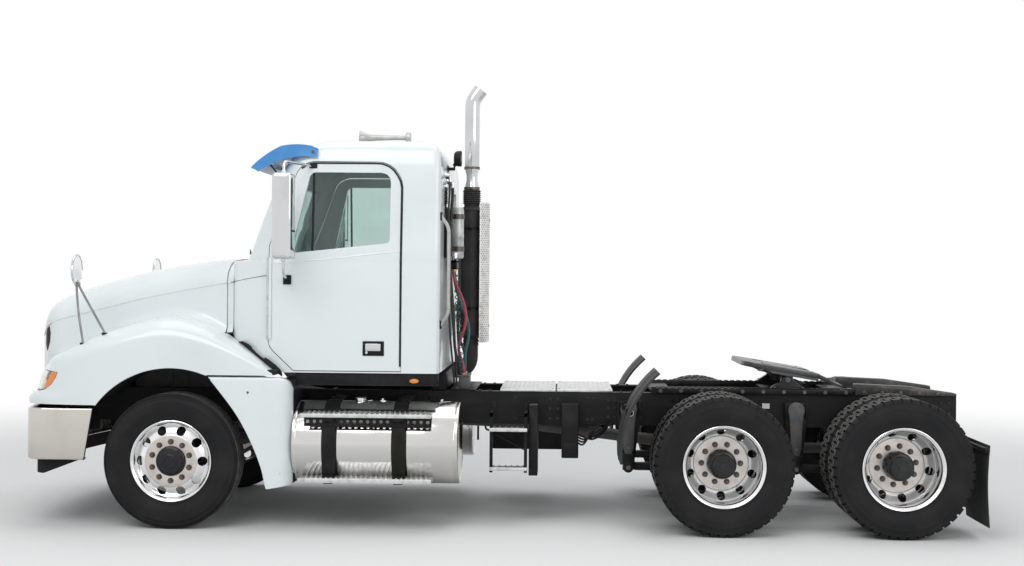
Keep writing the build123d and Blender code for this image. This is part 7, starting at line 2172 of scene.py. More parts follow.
def make_jaw_plate():
    top = PIVOT_Z + 0.086
    through = (top - 0.3, top + 0.1)
    nose = arc_through((5.468, 0.455), (5.372, 0.400), (5.338, 0.300), 8)
    outline = [(5.935, 0.440), (5.920, 0.455)] + nose
    outline += [(s, -y) for s, y in reversed(outline)]
    deck = plate(outline, "Z", top - 0.038, top, 0.004)
    throat = plate([(5.670, -0.034), (5.670, 0.034), (5.800, 0.060), (6.160, 0.250),
                    (6.160, -0.250), (5.800, -0.060)], "Z", *through, 0)
    bore = disc_bar(KINGPIN_R, *through, (at(JAW_S), 0, 0), "Z", 48, 0)
    lighten = both(plate([(5.500, 0.215), (5.585, 0.215), (5.585, 0.330), (5.500, 0.330)],
                         "Z", *through, 0))
    deck = carved(deck, ("DIFFERENCE", throat), ("DIFFERENCE", bore), ("DIFFERENCE", lighten),
                  solver="EXACT")
    prong = plate([(5.925, top), (6.105, top - 0.048), (6.136, top - 0.060),
                   (6.140, top - 0.070), (6.134, top - 0.078), (5.925, top - 0.038)], "Y",
                  0.130, 0.334, 0.003)
    prong = carved(prong, ("DIFFERENCE", throat), solver="EXACT")
    frame_part = [block(5.470, 5.930, 0.443, 0.453, top - 0.056, top - 0.030, 0.003),
                  block(5.480, 5.930, 0.300, 0.310, top - 0.062, top - 0.030, 0.003),
                  block(5.905, 5.925, 0.310, 0.443, top - 0.056, top - 0.030, 0.003)]
    ribs = [block(s, s + 0.010, 0.070, 0.443, top - 0.054, top - 0.030, 0.003)
            for s in (5.470, 5.610, 5.760, 5.850)]
    jaw = block(5.590, 5.730, -0.150, 0.150, top - 0.080, top - 0.022, 0.006)
    jaw = carved(jaw, ("DIFFERENCE", throat), ("DIFFERENCE", bore), solver="EXACT")
    lock = hoop(0.0258, 0.052, -0.062, -0.030, (at(JAW_S), 0, top), "Z", 40)
    lock = carved(lock, ("DIFFERENCE", throat), solver="EXACT")
    ear = plate([(PIVOT_S - 0.045, top - 0.012), (PIVOT_S + 0.045, top - 0.012),
                 (PIVOT_S + 0.045, PIVOT_Z + 0.010), (PIVOT_S + 0.028, PIVOT_Z - 0.030),
                 (PIVOT_S, PIVOT_Z - 0.040), (PIVOT_S - 0.028, PIVOT_Z - 0.030),
                 (PIVOT_S - 0.045, PIVOT_Z + 0.010)], "Y", 0.322, 0.369, 0.003)
    pin = disc_bar(0.020, 0.330, 0.442, (at(PIVOT_S), 0, PIVOT_Z), "Y", 32, 0.002)
    grooves = both(gather(*[plate([(s, 0.170), (s + 0.006, 0.170), (s + 0.046, 0.420),
                                   (s + 0.040, 0.420)], "Z", top - 0.0002, top + 0.0010, 0)
                            for s in (5.600, 5.680, 5.760, 5.840)]))
    handle = bent_pipe([(5.640, 0.150, top - 0.050), (5.600, 0.240, top - 0.050),
                        (5.560, 0.436, top - 0.052)], 0.03, 0.008, 10)
    grip = bent_pipe([(5.560, 0.430, top - 0.052), (5.556, 0.452, top - 0.052),
                      (5.530, 0.456, top - 0.046), (5.500, 0.456, top - 0.042)], 0.01, 0.008, 10)
    nipples = both(gather(*[disc_bar(0.006, top, top + 0.004, (at(s), y, 0), "Z", 12, 0.001)
                            for s, y in ((5.52, 0.18), (5.88, 0.40))]))
    assembly("jaw_plate", [
        (tilted(deck), GREASE), (tilted(both(prong)), GREASE),
        (tilted(both(gather(*frame_part, *ribs))), IRON), (tilted(jaw), IRON),
        (tilted(lock), NUT_STEEL), (tilted(both(gather(ear, pin))), IRON),
        (tilted(grooves), IRON), (tilted(gather(handle, grip)), BLACK),
        (tilted(nipples), NUT_STEEL)],
        "fifth_wheel", ("fifth_wheel_plate",), 30)


make_jaw_plate()


# Springs, axles and what turns the wheels

# half widths of the front springs' and the rear arms' sides
SPRING_Y = (0.350, 0.424)
ARM_Y = (0.346, 0.434)
STEER_PIN_Y = 0.880
TRAIL = 0.660
ARM_LOW = 0.380
ARM_HIGH = 0.436


def air_bag(station):
    """Two rubber convolutions between steel plates."""
    low, high = ARM_HIGH, RAIL_BOTTOM
    height = high - low
    profile = [(0.0001, 0.006), (0.075, 0.006), (0.080, 0.030)]
    for number in range(25):
        share = number / 24
        swell = 0.030 * abs(math.sin(2 * math.pi * share)) ** 0.7
        profile.append((0.086 + swell, 0.030 + (height - 0.060) * share))
    profile += [(0.080, height - 0.030), (0.075, height - 0.006), (0.0001, height - 0.006)]
    place = (at(station), 0.390, low)
    girdle = hoop(0.084, 0.092, height / 2 - 0.006, height / 2 + 0.006, place, "Z", 40)
    plates = gather(disc_bar(0.100, 0.0, 0.012, place, "Z", 40, 0.003),
                    disc_bar(0.100, height - 0.012, height, place, "Z", 40, 0.003))
    return spin(profile, place, "Z", 48), gather(girdle, plates)


def hanger_outline(pivot, inset, top, low):
    """The tapered hanger's outline, drawn in by the inset."""
    return [(pivot - 0.090 + inset, top), (pivot + 0.090 - inset, top),
            (pivot + 0.088 - inset, top - 0.120), (pivot + 0.050 - inset, low + 0.030),
            (pivot + 0.036 - inset, low), (pivot - 0.036 + inset, low),
            (pivot - 0.050 + inset, low + 0.030), (pivot - 0.088 + inset, top - 0.120)]


def trailing_group(station):
    """Hanger, arm, axle seat and shock absorber of one wheel station."""
    pivot = station - TRAIL
    hanger = plate(hanger_outline(pivot, 0.0, 0.920, 0.430), "Y", 0.430, 0.462, 0.004)
    walls = [block(pivot - 0.086, pivot - 0.074, 0.440, 0.490, 0.800, 0.918, 0.003),
             block(pivot + 0.074, pivot + 0.086, 0.440, 0.490, 0.800, 0.918, 0.003)]
    foot = block(pivot - 0.050, pivot + 0.050, 0.346, 0.490, 0.430, 0.520, 0.010)
    eye = disc_bar(0.040, 0.340, 0.496, (at(pivot), 0, 0.408), "Y", 36, 0.004)
    lift = block(pivot - 0.040, pivot + 0.040, *ARM_Y, ARM_LOW, 0.440, 0.004)
    arm = plate([(pivot - 0.010, 0.392), (pivot + 0.060, ARM_LOW), (station + 0.380, ARM_LOW),
                 (station + 0.430, 0.392), (station + 0.430, ARM_HIGH), (pivot, ARM_HIGH)],
                "Y", *ARM_Y, 0.006)
    tube = disc_bar(0.0704, 0.30, 0.50, (at(station), 0, REAR_TYRE_R), "Y", 48, 0)
    seat = carved(block(station - 0.080, station + 0.080, *ARM_Y, 0.418, 0.566, 0.005),
                  ("DIFFERENCE", tube), solver="EXACT")
    bolts = []
    for across in (-0.066, 0.066):
        for y in (0.360, 0.420):
            bolts.append(rod([(station + across, y, 0.366), (station + across, y, 0.590)],
                             0.008, 10))
            for low, high in ((0.372, 0.382), (0.566, 0.580)):
                bolts.append(disc_bar(0.015, low, high, (at(station + across), y, 0), "Z", 6,
                                      0.001))
    shock = gather(rod([(station + 0.120, 0.470, 0.440), (station + 0.075, 0.470, 0.640)],
                       0.028, 20),
                   rod([(station + 0.080, 0.470, 0.620), (station + 0.040, 0.470, 0.850)],
                       0.034, 20),
                   disc_bar(0.020, 0.430, 0.500, (at(station + 0.122), 0, 0.425), "Y", 20, 0.003),
                   disc_bar(0.020, 0.430, 0.500, (at(station + 0.038), 0, 0.862), "Y", 20, 0.003))
    pivot_nut = disc_bar(0.020, 0.496, 0.510, (at(pivot), 0, 0.408), "Y", 6, 0.002)
    return (gather(hanger, *walls, foot, eye, lift), gather(arm, seat, shock),
            gather(*bolts, pivot_nut))


def hanger_cover(station):
    """Rounded plate over the hanger, with its bolts."""
    pivot = station - TRAIL
    round_top = [(pivot + 0.065 * math.cos(turn), 0.858 + 0.065 * math.sin(turn))
                 for turn in spread(-0.5, math.pi + 0.5, 18)]
    sides = [(pivot - 0.046, 0.720), (pivot - 0.040, 0.560), (pivot - 0.024, 0.510),
             (pivot + 0.024, 0.510), (pivot + 0.040, 0.560), (pivot + 0.046, 0.720)]
    cover = plate(round_top + sides, "Y", 0.462, 0.490, 0.005)
    disc = disc_bar(0.044, 0.486, 0.4895, (at(pivot), 0, 0.858), "Y", 40, 0.002)
    heads = bolts_at([(pivot + across, 0.490, z) for across, z in
                      ((0.0, 0.858), (-0.034, 0.895), (0.034, 0.895), (-0.034, 0.800),
                       (0.034, 0.800), (0.0, 0.560))], "Y", 0.010, 0.009)
    return gather(cover, disc), heads


def make_rear_suspension():
    hangers, arms, bolts, covers, heads, bags, bag_plates = zip(*[
        (*trailing_group(station), *hanger_cover(station), *air_bag(station + 0.330))
        for station in REAR_AXLES])
    assembly("rear_air_suspension", [
        (both(gather(*hangers)), BLACK), (both(gather(*arms)), BLACK),
        (both(gather(*bolts, *heads)), NUT_STEEL), (both(gather(*covers)), COVER_GREY),
        (both(gather(*bags)), SEAL), (both(gather(*bag_plates)), IRON)],
        "chassis", ("rear_suspension",), 32)


make_rear_suspension()


def brake_chamber(station, y, z):
    """Round spring-brake chamber lying along the truck, with its clamp and push rod."""
    return gather(
        spin([(0.0001, -0.085), (0.050, -0.083), (0.070, -0.066), (0.074, -0.010),
              (0.080, -0.006), (0.080, 0.006), (0.074, 0.010), (0.070, 0.060),
              (0.046, 0.078), (0.0001, 0.080)], (at(station), y, z), "X", 36),
        rod([(station, y, z), (station + 0.14, y, z + 0.01)], 0.010, 10))


def make_rear_axles():
    z = REAR_TYRE_R
    castings, cans = [], []
    for station in REAR_AXLES:
        tube = [(0.0001, -0.606), (0.058, -0.606), (0.062, -0.600), (0.070, -0.520),
                (0.070, -0.330), (0.078, -0.270), (0.105, -0.215), (0.140, -0.170)]
        castings.append(spin(mirrored_section(tube), (at(station), 0, z), "Y", 56))
        castings.append(disc_bar(0.045, -1.050, 1.050, (at(station), 0, z), "Y", 36, 0.004))
        bowl = [(0.0001, -0.130), (0.080, -0.128), (0.140, -0.112), (0.172, -0.080),
                (0.182, -0.048), (0.190, -0.044), (0.190, 0.040), (0.180, 0.060),
                (0.150, 0.110), (0.112, 0.160), (0.086, 0.230), (0.075, 0.262), (0.075, 0.286),
                (0.048, 0.290), (0.048, 0.300), (0.0001, 0.300)]
        castings.append(spin(bowl, (at(station), 0, z + 0.014), "X", 64))
        for across, up in (polar(0.180, turn) for turn in circle(12)):
            castings.append(disc_bar(0.010, -0.062, -0.040,
                                     (at(station), across, z + 0.014 + up), "X", 6, 0.001))
        for side in (-1, 1):
            castings.append(disc_bar(0.205, 0, 0.012, (at(station), side * 0.586 - 0.006, z), "Y",
                                     48, 0.003))
            cans.append(brake_chamber(station - 0.215, side * 0.505, z + 0.075))
    route = smooth_route(laid([(2.254, 0, 0.760), (2.900, 0, 0.728), (3.500, 0, 0.700),
                               (4.100, 0, 0.640), (4.832, 0, 0.554)]), 4)
    shaft = pipe(route, 0.046, 28)
    joints = [disc_bar(0.062, -0.050, 0.050, (at(s), 0, height), "X", 28, 0.006)
              for s, height in ((2.310, 0.757), (3.500, 0.700), (4.780, 0.560))]
    carrier = block(3.455, 3.545, -0.10, 0.10, 0.745, 0.860, 0.008)
    link = rod([(REAR_AXLES[0] + 0.134, 0, 0.522), (REAR_AXLES[1] - 0.304, 0, 0.522)], 0.040, 24)
    assembly("driven_axles", [(gather(*castings), IRON), (gather(*cans), BLACK),
                              (gather(shaft, link, *joints), IRON), (carrier, BLACK)],
             "chassis", ("rear_axles",), 35)


make_rear_axles()


def leaf_spring():
    """Three curved leaves with an eye at each end."""
    leaves = []
    for number, half in enumerate((0.650, 0.600, 0.470)):
        upper, lower = [], []
        for s in spread(-half, half, 25):
            z = 0.518 + 0.160 * (s / 0.65) ** 2 - number * 0.0148
            upper.append((FRONT_AXLE + s, z + 0.0135))
            lower.append((FRONT_AXLE + s, z))
        leaves.append(plate(upper + list(reversed(lower)), "Y", *SPRING_Y, 0))
    eyes = [disc_bar(0.030, 0.349, 0.425, (at(FRONT_AXLE + s), 0, 0.675), "Y", 32, 0.003)
            for s in (-0.640, 0.640)]
    return gather(*leaves, *eyes)


def make_front_axle():
    hub = FRONT_TYRE_R
    beam = gather(*[block(FRONT_AXLE - half, FRONT_AXLE + half, -0.720, 0.720, low, high, soft)
                    for half, low, high, soft in ((0.045, 0.454, 0.478, 0.006),
                                                  (0.045, 0.398, 0.422, 0.006),
                                                  (0.014, 0.410, 0.466, 0.004))])
    rise = plate([(0.690, 0.398), (0.820, hub - 0.050), (STEER_PIN_Y, hub - 0.050),
                  (STEER_PIN_Y, hub + 0.040), (0.690, 0.478)], "X", FRONT_AXLE - 0.040,
                 FRONT_AXLE + 0.040, 0.006)
    boss = disc_bar(0.046, hub - 0.055, hub + 0.055, (at(FRONT_AXLE), STEER_PIN_Y, 0), "Z",
                    36, 0.004)
    pin = disc_bar(0.022, hub - 0.089, hub + 0.089, (at(FRONT_AXLE), STEER_PIN_Y, 0), "Z",
                   28, 0.002)
    seat = block(FRONT_AXLE - 0.070, FRONT_AXLE + 0.070, *SPRING_Y, 0.468, 0.560, 0.006)
    hangers = []
    for s in (-0.630, 0.630):
        station = FRONT_AXLE + s
        hangers.append(plate([(station - 0.045, 0.727), (station + 0.045, 0.727),
                              (station + 0.034, 0.660), (station + 0.018, 0.642),
                              (station - 0.018, 0.642), (station - 0.034, 0.660)], "Y",
                             0.349, 0.425, 0.004))
    straps = [bent_pipe([(FRONT_AXLE + s, y, z) for y, z in (
        (0.338, 0.400), (0.338, 0.580), (0.436, 0.580), (0.436, 0.400))], 0.02, 0.009, 10)
              for s in (-0.052, 0.052)]
    shock = gather(*[rod([(FRONT_AXLE + s0, 0.470, z0), (FRONT_AXLE + s1, 0.470, z1)], radius, 18)
                     for s0, z0, s1, z1, radius in ((0.06, 0.470, -0.03, 0.650, 0.026),
                                                    (-0.02, 0.630, -0.11, 0.800, 0.032))])
    assembly("steer_axle", [
        (beam, IRON), (both(gather(rise, boss, pin)), IRON), (both(leaf_spring()), IRON),
        (both(gather(seat, *hangers, shock)), BLACK), (both(gather(*straps)), NUT_STEEL)],
        "chassis", ("front_axle",), 32)


make_front_axle()


def make_engine():
    """Engine with covers, pipes and fan, gearbox and radiator, inside the room they have."""
    crank = block(0.560, 1.360, -0.230, 0.230, 0.650, 1.130, 0.020)
    head = block(0.580, 1.350, -0.170, 0.170, 1.130, 1.380, 0.020)
    covers = [soft_box(0.590 + number * 0.255, 0.830 + number * 0.255, -0.130, 0.130, 1.375,
                       1.485, 0.030) for number in range(3)]
    ribs = [block(0.600 + number * 0.125, 0.616 + number * 0.125, -0.240, 0.240, 0.700, 1.090,
                  0.003) for number in range(7)]
    pan = plate([(0.480, 0.640), (0.480, 0.600), (0.620, 0.562), (1.300, 0.562), (1.300, 0.640)],
                "Y", -0.196, 0.196, 0.010)
    feet = [block(s, s + 0.090, -0.418, 0.418, 0.792, 0.848, 0.006) for s in (0.720, 2.120)]
    case = [plate([(1.400, 0.640), (1.400, 1.070), (1.560, 1.020), (1.900, 0.960),
                   (2.246, 0.900), (2.246, 0.640)], "Y", -0.200, 0.200, 0.014),
            disc_bar(0.225, -0.045, 0.045, (at(1.400), 0, 0.850), "X", 56, 0.006)]
    case += [block(s, s + 0.014, -0.212, 0.212, 0.650, 0.950, 0.003) for s in (1.62, 1.86, 2.10)]
    runners = [bent_pipe([(0.640 + number * 0.125, y, z) for y, z in (
        (0.160, 1.250), (0.245, 1.240), (0.252, 1.180))], 0.04, 0.024, 14)
               for number in range(6)]
    manifold = rod([(0.600, 0.245, 1.180), (1.320, 0.245, 1.180)], 0.032, 20)
    turbo = gather(spin([(0.0001, -0.050), (0.070, -0.048), (0.085, -0.020), (0.085, 0.020),
                         (0.070, 0.048), (0.0001, 0.050)], (at(1.080), -0.195, 1.240), "X", 32),
                   bent_pipe([(1.130, -0.195, 1.240), (1.260, -0.205, 1.220),
                              (1.320, -0.215, 1.060), (1.360, -0.215, 0.900)], 0.10, 0.045, 20))
    filters = [disc_bar(0.046, 0.760, 0.960, (at(s), 0.232, 0), "Z", 28, 0.010)
               for s in (0.860, 0.980)]
    belt = [disc_bar(radius, -0.024, 0.024, (at(0.500), y, z), "X", 36, 0.005)
            for radius, y, z in ((0.105, 0, 0.760), (0.070, 0.130, 1.010), (0.060, -0.140, 1.080),
                                 (0.085, 0, 1.180))]
    blades = []
    for turn in circle(9):
        blade = plate([(0.060, -0.035), (0.300, -0.055), (0.310, 0.045), (0.060, 0.035)], "Z",
                      -0.003, 0.003, 0.001)
        blade = moved(blade, Matrix.Translation((-at(0), 0, 0)))
        place = (Matrix.Translation((at(0.440), 0, 1.180)) @ Matrix.Rotation(turn, 4, "X")
                 @ Matrix.Rotation(math.radians(90), 4, "Y")
                 @ Matrix.Rotation(math.radians(24), 4, "X"))
        blades.append(moved(blade, place))
    hub = disc_bar(0.075, -0.022, 0.022, (at(0.440), 0, 1.180), "X", 36, 0.006)
    core = block(0.140, 0.226, -0.360, 0.360, 1.040, 1.500, 0.004)
    tanks = [block(0.124, 0.238, -0.388, 0.388, low, high, 0.016)
             for low, high in ((0.992, 1.050), (1.490, 1.558))]
    sides = [block(0.128, 0.234, y - 0.014, y + 0.014, 1.030, 1.500, 0.006)
             for y in (-0.372, 0.372)]
    mount = block(0.104, 0.256, -0.298, 0.298, 0.972, 0.992, 0.004)
    shroud = spin([(0.330, -0.070), (0.335, -0.010), (0.345, -0.008), (0.340, -0.072)],
                  (at(0.350), 0, 1.240), "X", 56, closed=True)
    hoses = [bent_pipe(points, 0.08, radius, 18) for points, radius in (
        ([(0.200, -0.250, 1.535), (0.360, -0.250, 1.530), (0.520, -0.160, 1.420),
          (0.600, -0.060, 1.390)], 0.032),
        ([(0.200, 0.260, 1.020), (0.360, 0.260, 0.990), (0.520, 0.240, 0.900),
          (0.600, 0.180, 0.860)], 0.034),
        ([(0.190, 0.330, 1.520), (0.380, 0.262, 1.500), (0.520, 0.250, 1.360),
          (0.640, 0.245, 1.180)], 0.034))]
    assembly("engine_group", [
        (gather(crank, head, *ribs, pan, *feet), IRON), (gather(*covers), SATIN_ALLOY),
        (gather(*case), SATIN_ALLOY), (gather(*runners, manifold), SATIN_ALLOY), (turbo, IRON),
        (gather(*filters), WHITE), (gather(*belt, hub), BLACK), (gather(*blades), BLACK),
        (core, FINS), (gather(*tanks, *sides, mount, shroud), BLACK), (gather(*hoses), SEAL)],
        "chassis", ("engine",), 32)


make_engine()


# Exhaust: muffler, shield and stack

EXHAUST_S = 3.173
EXHAUST_Y = -0.750
MUFFLER_LOW = 1.333
MUFFLER_HIGH = 2.477
COLLAR_TOP = 2.616
PIPE_R = 0.0635
PIPE_Z = 1.062
CLAMP_LEVELS = (1.600, 2.280)
STACK_BEND_Z = 3.375
SHIELD_R = 0.156
SHIELD_LEVELS = (1.309, 2.500)
# rows and columns of the shield's holes
SHIELD_HOLES = (62, 14)
SHIELD_HOLE_R = 0.0038


def band_clamp(z, radius):
    """Strap round a pipe with its bolt block."""
    band = hoop(radius, radius + 0.004, z - 0.011, z + 0.011, (at(EXHAUST_S), EXHAUST_Y, 0), "Z",
                56)
    ear = block(EXHAUST_S - 0.012, EXHAUST_S + 0.012, EXHAUST_Y + radius,
                EXHAUST_Y + radius + 0.026, z - 0.010, z + 0.010, 0.002)
    return gather(band, ear)


def on_shield(radius, turn, z):
    """A place at a turn round the exhaust's upright axis."""
    return at(EXHAUST_S + radius * math.cos(turn)), EXHAUST_Y + radius * math.sin(turn), z


def shield():
    """Bright quarter shell behind the muffler with rows of small dark round marks where its holes
    are.
    """
    first = math.acos(0.080 / SHIELD_R)
    low, high = SHIELD_LEVELS
    rows, columns = SHIELD_HOLES
    sheet = solid_skin("shield_blank", skin([
        [on_shield(SHIELD_R, turn, z) for turn in spread(-first, first, 28)]
        for z in spread(low, high, 4)]), 0.003)
    dots = []
    for row in range(rows):
        z = 1.330 + row * (1.150 / (rows - 1))
        for column in range(columns):
            share = (column + 0.5 + (0.25 if row % 2 else -0.25)) / columns
            turn = -first * 0.94 + share * first * 1.88
            points = [on_shield(SHIELD_R + 0.0006,
                                turn + SHIELD_HOLE_R * math.cos(lean) / SHIELD_R,
                                z + SHIELD_HOLE_R * math.sin(lean)) for lean in circle(6)]
            dots.append((points, [(0, 1, 2, 3, 4, 5)]))
    edges = [pipe([on_shield(SHIELD_R, turn, z) for z in spread(low, high, 3)], 0.004, 8)
             for turn in (-first, first)]
    return gather(sheet, *edges), gather(*dots)


def make_muffler():
    place = (at(EXHAUST_S), EXHAUST_Y, 0)
    low, high = MUFFLER_LOW, MUFFLER_HIGH
    can = spin([(0.0001, low), (0.064, low), (0.066, low + 0.010), (0.080, low + 0.022),
                (0.094, low + 0.030), (0.098, low + 0.034), (0.098, low + 0.046),
                (0.095, low + 0.049), (0.0955, high - 0.049), (0.098, high - 0.046),
                (0.098, high - 0.034), (0.094, high - 0.030), (0.080, high - 0.020),
                (0.066, high - 0.008), (0.064, high), (0.0001, high)], place, "Z", 72)
    seam = block(EXHAUST_S - 0.006, EXHAUST_S + 0.006, EXHAUST_Y + 0.0945, EXHAUST_Y + 0.0985,
                 low + 0.05, high - 0.05, 0.001)
    ribs = [(0.066, high), (0.066, high + 0.012)]
    for number in range(7):
        z = high + 0.016 + number * 0.0172
        ribs += [(0.069, z), (0.0775, z + 0.004), (0.0775, z + 0.010), (0.069, z + 0.014)]
    ribs += [(0.066, COLLAR_TOP - 0.006), (0.066, COLLAR_TOP), (0.0001, COLLAR_TOP)]
    collar = spin([(0.0001, high)] + ribs, place, "Z", 56)
    lower = bent_pipe([(EXHAUST_S, EXHAUST_Y, low + 0.005), (EXHAUST_S, EXHAUST_Y, PIPE_Z),
                       (2.350, EXHAUST_Y, PIPE_Z)], 0.130, PIPE_R, 36, steps=12)
    rings = [hoop(PIPE_R + 0.0002, 0.0675, z - 0.010, z + 0.010, place, "Z", 44)
             for z in (1.290, 1.318)]
    along = hoop(PIPE_R + 0.0002, 0.068, -0.012, 0.012, (at(2.900), EXHAUST_Y, PIPE_Z), "X", 44)
    clamps = [band_clamp(z, 0.0982) for z in CLAMP_LEVELS]
    brackets = []
    for z in CLAMP_LEVELS:
        brackets.append(block(BACK_WALL_S, 3.060, EXHAUST_Y - 0.060, EXHAUST_Y + 0.060, z - 0.030,
                              z + 0.030, 0.003))
        brackets += [block(3.055, EXHAUST_S - 0.080, y - 0.004, y + 0.004, z - 0.026, z + 0.026,
                           0.002) for y in (EXHAUST_Y - 0.052, EXHAUST_Y + 0.052)]
        brackets += [rod([(3.058, EXHAUST_Y - 0.05, z), (3.10, EXHAUST_Y, z)], 0.007, 8)]
    arms = [block(EXHAUST_S + 0.094, EXHAUST_S + 0.158, EXHAUST_Y - 0.012, EXHAUST_Y + 0.012,
                  z - 0.015, z + 0.015, 0.003) for z in (1.450, 2.350)]
    shell, dots = shield()
    assembly("exhaust_muffler", [
        (can, MUFFLER), (gather(seam, *rings, along), MUFFLER), (collar, MUFFLER),
        (lower, MUFFLER), (gather(*clamps), BLACK), (gather(*brackets, *arms), BLACK),
        (shell, SHIELD_FINISH), (dots, LINER)],
        "chassis", ("muffler",), 35)


make_muffler()


def make_stack():
    tip = (EXHAUST_S + 0.072, EXHAUST_Y, STACK_BEND_Z + 0.098)
    corner = rounded_route(laid([(EXHAUST_S, EXHAUST_Y, 2.800),
                                 (EXHAUST_S, EXHAUST_Y, STACK_BEND_Z), tip]), 0.100, 16)
    low = laid([(EXHAUST_S, EXHAUST_Y, z) for z in (COLLAR_TOP, 2.640, 2.690, 2.740, 2.770)])
    route = [Vector(point) for point in low] + corner
    radii = [PIPE_R, 0.0600, 0.0480, 0.0480, 0.0560] + [PIPE_R] * len(corner)
    tube = tapered(route, radii, 48, inner=0.004)
    rings = [band_clamp(z, radius) for z, radius in ((2.626, 0.064), (2.800, 0.0637))]
    assembly("exhaust_stack", [(tube, CHROME), (gather(*rings), NUT_STEEL)],
             "chassis", ("stack",), 40)


make_stack()


# Rack, couplings, dryer can, joint box and cables on the cab's back

RACK = (BACK_WALL_S, 3.130, 0.130, 0.350, 1.925, 1.995)


def coupling(y):
    """Round glad-hand coupling above a hose, on the rack's face."""
    body = spin([(0.0001, -0.012), (0.032, -0.012), (0.036, -0.006), (0.036, 0.006),
                 (0.028, 0.012), (0.014, 0.016), (0.0001, 0.016)],
                (at(3.118), y, 2.022), "X", 32)
    neck = block(3.088, 3.112, y - 0.016, y + 0.016, 1.990, 2.020, 0.004)
    lug = block(3.106, 3.120, y + 0.020, y + 0.052, 2.012, 2.032, 0.003)
    return gather(body, neck, lug)


def spiral(start, end, radius, turns, thick, sag):
    """A coiled cable that hangs in a curve between two places."""
    a, b = Vector(start), Vector(end)
    steps = int(turns * 12)
    heading = (b - a).normalized()
    side = heading.cross(Vector((0, 0, 1)))
    side = (side if side.length > 0.01 else heading.orthogonal()).normalized()
    over = heading.cross(side)
    route = []
    for step in range(steps + 1):
        share = step / steps
        middle = a.lerp(b, share) + Vector((0, 0, -sag * math.sin(math.pi * share)))
        angle = 2 * math.pi * turns * share
        route.append(middle + side * radius * math.cos(angle) + over * radius * math.sin(angle))
    return pipe(route, thick, 6)


def make_hose_rack():
    s0, s1, y0, y1, z0, z1 = RACK
    back = block(s0, s0 + 0.008, y0 - 0.02, y1 + 0.02, z0 - 0.020, z1 + 0.030, 0.003)
    shelf = block(s0, s1, y0, y1, z0 + 0.050, z1, 0.004)
    lip = block(s1 - 0.008, s1, y0, y1, z0, z1, 0.003)
    cheeks = [block(s0, s1, y, y + 0.008, z0, z1, 0.003) for y in (y0, y1 - 0.008)]
    floor = block(s0, s1, y0, y1, z0 + 0.001, z0 + 0.010, 0.003)
    hands = [coupling(y) for y in HOSE_TOP_Y]
    nuts = [disc_bar(0.016, z0 - 0.018, z0 + 0.002, (at(HOSE_TOP_S), y, 0), "Z", 6, 0.002)
            for y in HOSE_TOP_Y]
    ground = block(3.090, 3.290, -0.430, 0.430, RAIL_TOP + 0.0005, RAIL_TOP + 0.012, 0.003)
    box_part = block(3.150, 3.230, 0.090, 0.370, RAIL_TOP + 0.010, 1.090, 0.008)
    lid = block(3.144, 3.236, 0.084, 0.376, 1.084, 1.0985, 0.004)
    collars = [disc_bar(0.0165, 1.098, 1.114, (at(HOSE_FOOT_S), y, 0), "Z", 6, 0.002)
               for y in HOSE_FOOT_Y]
    can = spin([(0.0001, 2.010), (0.030, 2.010), (0.044, 2.016), (0.0485, 2.030), (0.0485, 2.180),
                (0.050, 2.184), (0.050, 2.196), (0.0485, 2.200), (0.0485, 2.400), (0.044, 2.420),
                (0.030, 2.430), (0.0001, 2.430)], (at(3.112), 0.030, 0), "Z", 48)
    straps = [hoop(0.0488, 0.0525, z, z + 0.040, (at(3.112), 0.030, 0), "Z")
              for z in (2.070, 2.330)]
    clamps = [block(s0, 3.066, 0.0, 0.060, z, z + 0.040, 0.003) for z in (2.070, 2.330)]
    wall_box = block(BACK_WALL_S, 3.095, 0.420, 0.620, 2.010, 2.290, 0.010)
    cover = block(3.0900, 3.099, 0.430, 0.610, 2.022, 2.278, 0.004)
    cables = [flowing_pipe(points, radius, 10) for points, radius in (
        ([(3.060, 0.400, 2.600), (3.096, 0.400, 2.560), (3.086, 0.395, 2.350),
          (3.070, 0.402, 2.100), (3.092, 0.398, 1.800), (3.110, 0.380, 1.560),
          (3.120, 0.370, 1.330), (3.150, 0.360, 1.180), (3.170, 0.350, 1.090)], 0.012),
        ([(3.070, 0.500, 2.010), (3.080, 0.500, 1.900), (3.096, 0.470, 1.700),
          (3.112, 0.430, 1.480), (3.130, 0.400, 1.250), (3.140, 0.395, 1.010)], 0.009),
        ([(3.066, -0.060, 2.160), (3.110, -0.070, 2.080), (3.120, -0.060, 1.800),
          (3.110, -0.040, 1.500), (3.130, -0.020, 1.200), (3.140, 0.000, 1.000)], 0.010),
        ([(3.060, 0.640, 2.620), (3.092, 0.640, 2.590), (3.086, 0.650, 2.300),
          (3.094, 0.640, 2.000), (3.090, 0.610, 1.700), (3.100, 0.560, 1.400),
          (3.120, 0.500, 1.150), (3.130, 0.450, 0.990)], 0.008))]
    wall_x = at(BACK_WALL_S)
    elbows = [gather(disc_bar(0.020, wall_x - 0.02, wall_x, (0, y, z), "X", 24, 0.003),
                     bent_pipe([(3.055, y, z), (3.096, y, z), (3.096, y, z - 0.05)], 0.03,
                               0.013, 14))
              for y, z in ((0.400, 2.610), (0.640, 2.640))]
    coil = spiral((at(3.112), 0.245, 1.900), (at(3.175), 0.380, 1.130), 0.016, 15, 0.0042, -0.02)
    assembly("air_rack", [
        (gather(back, shelf, lip, *cheeks, floor), BLACK), (gather(*hands), ALLOY),
        (gather(*nuts, *collars), BRASS), (ground, BLACK), (gather(box_part, lid), IRON),
        (can, DRYER), (gather(*straps, *clamps), NUT_STEEL), (gather(wall_box, cover), LINER),
        (gather(*cables), HOSE_BLACK), (gather(*elbows), CHROME), (coil, HOSE_GREEN)],
        "chassis", ("hose_rack",), 35)


make_hose_rack()


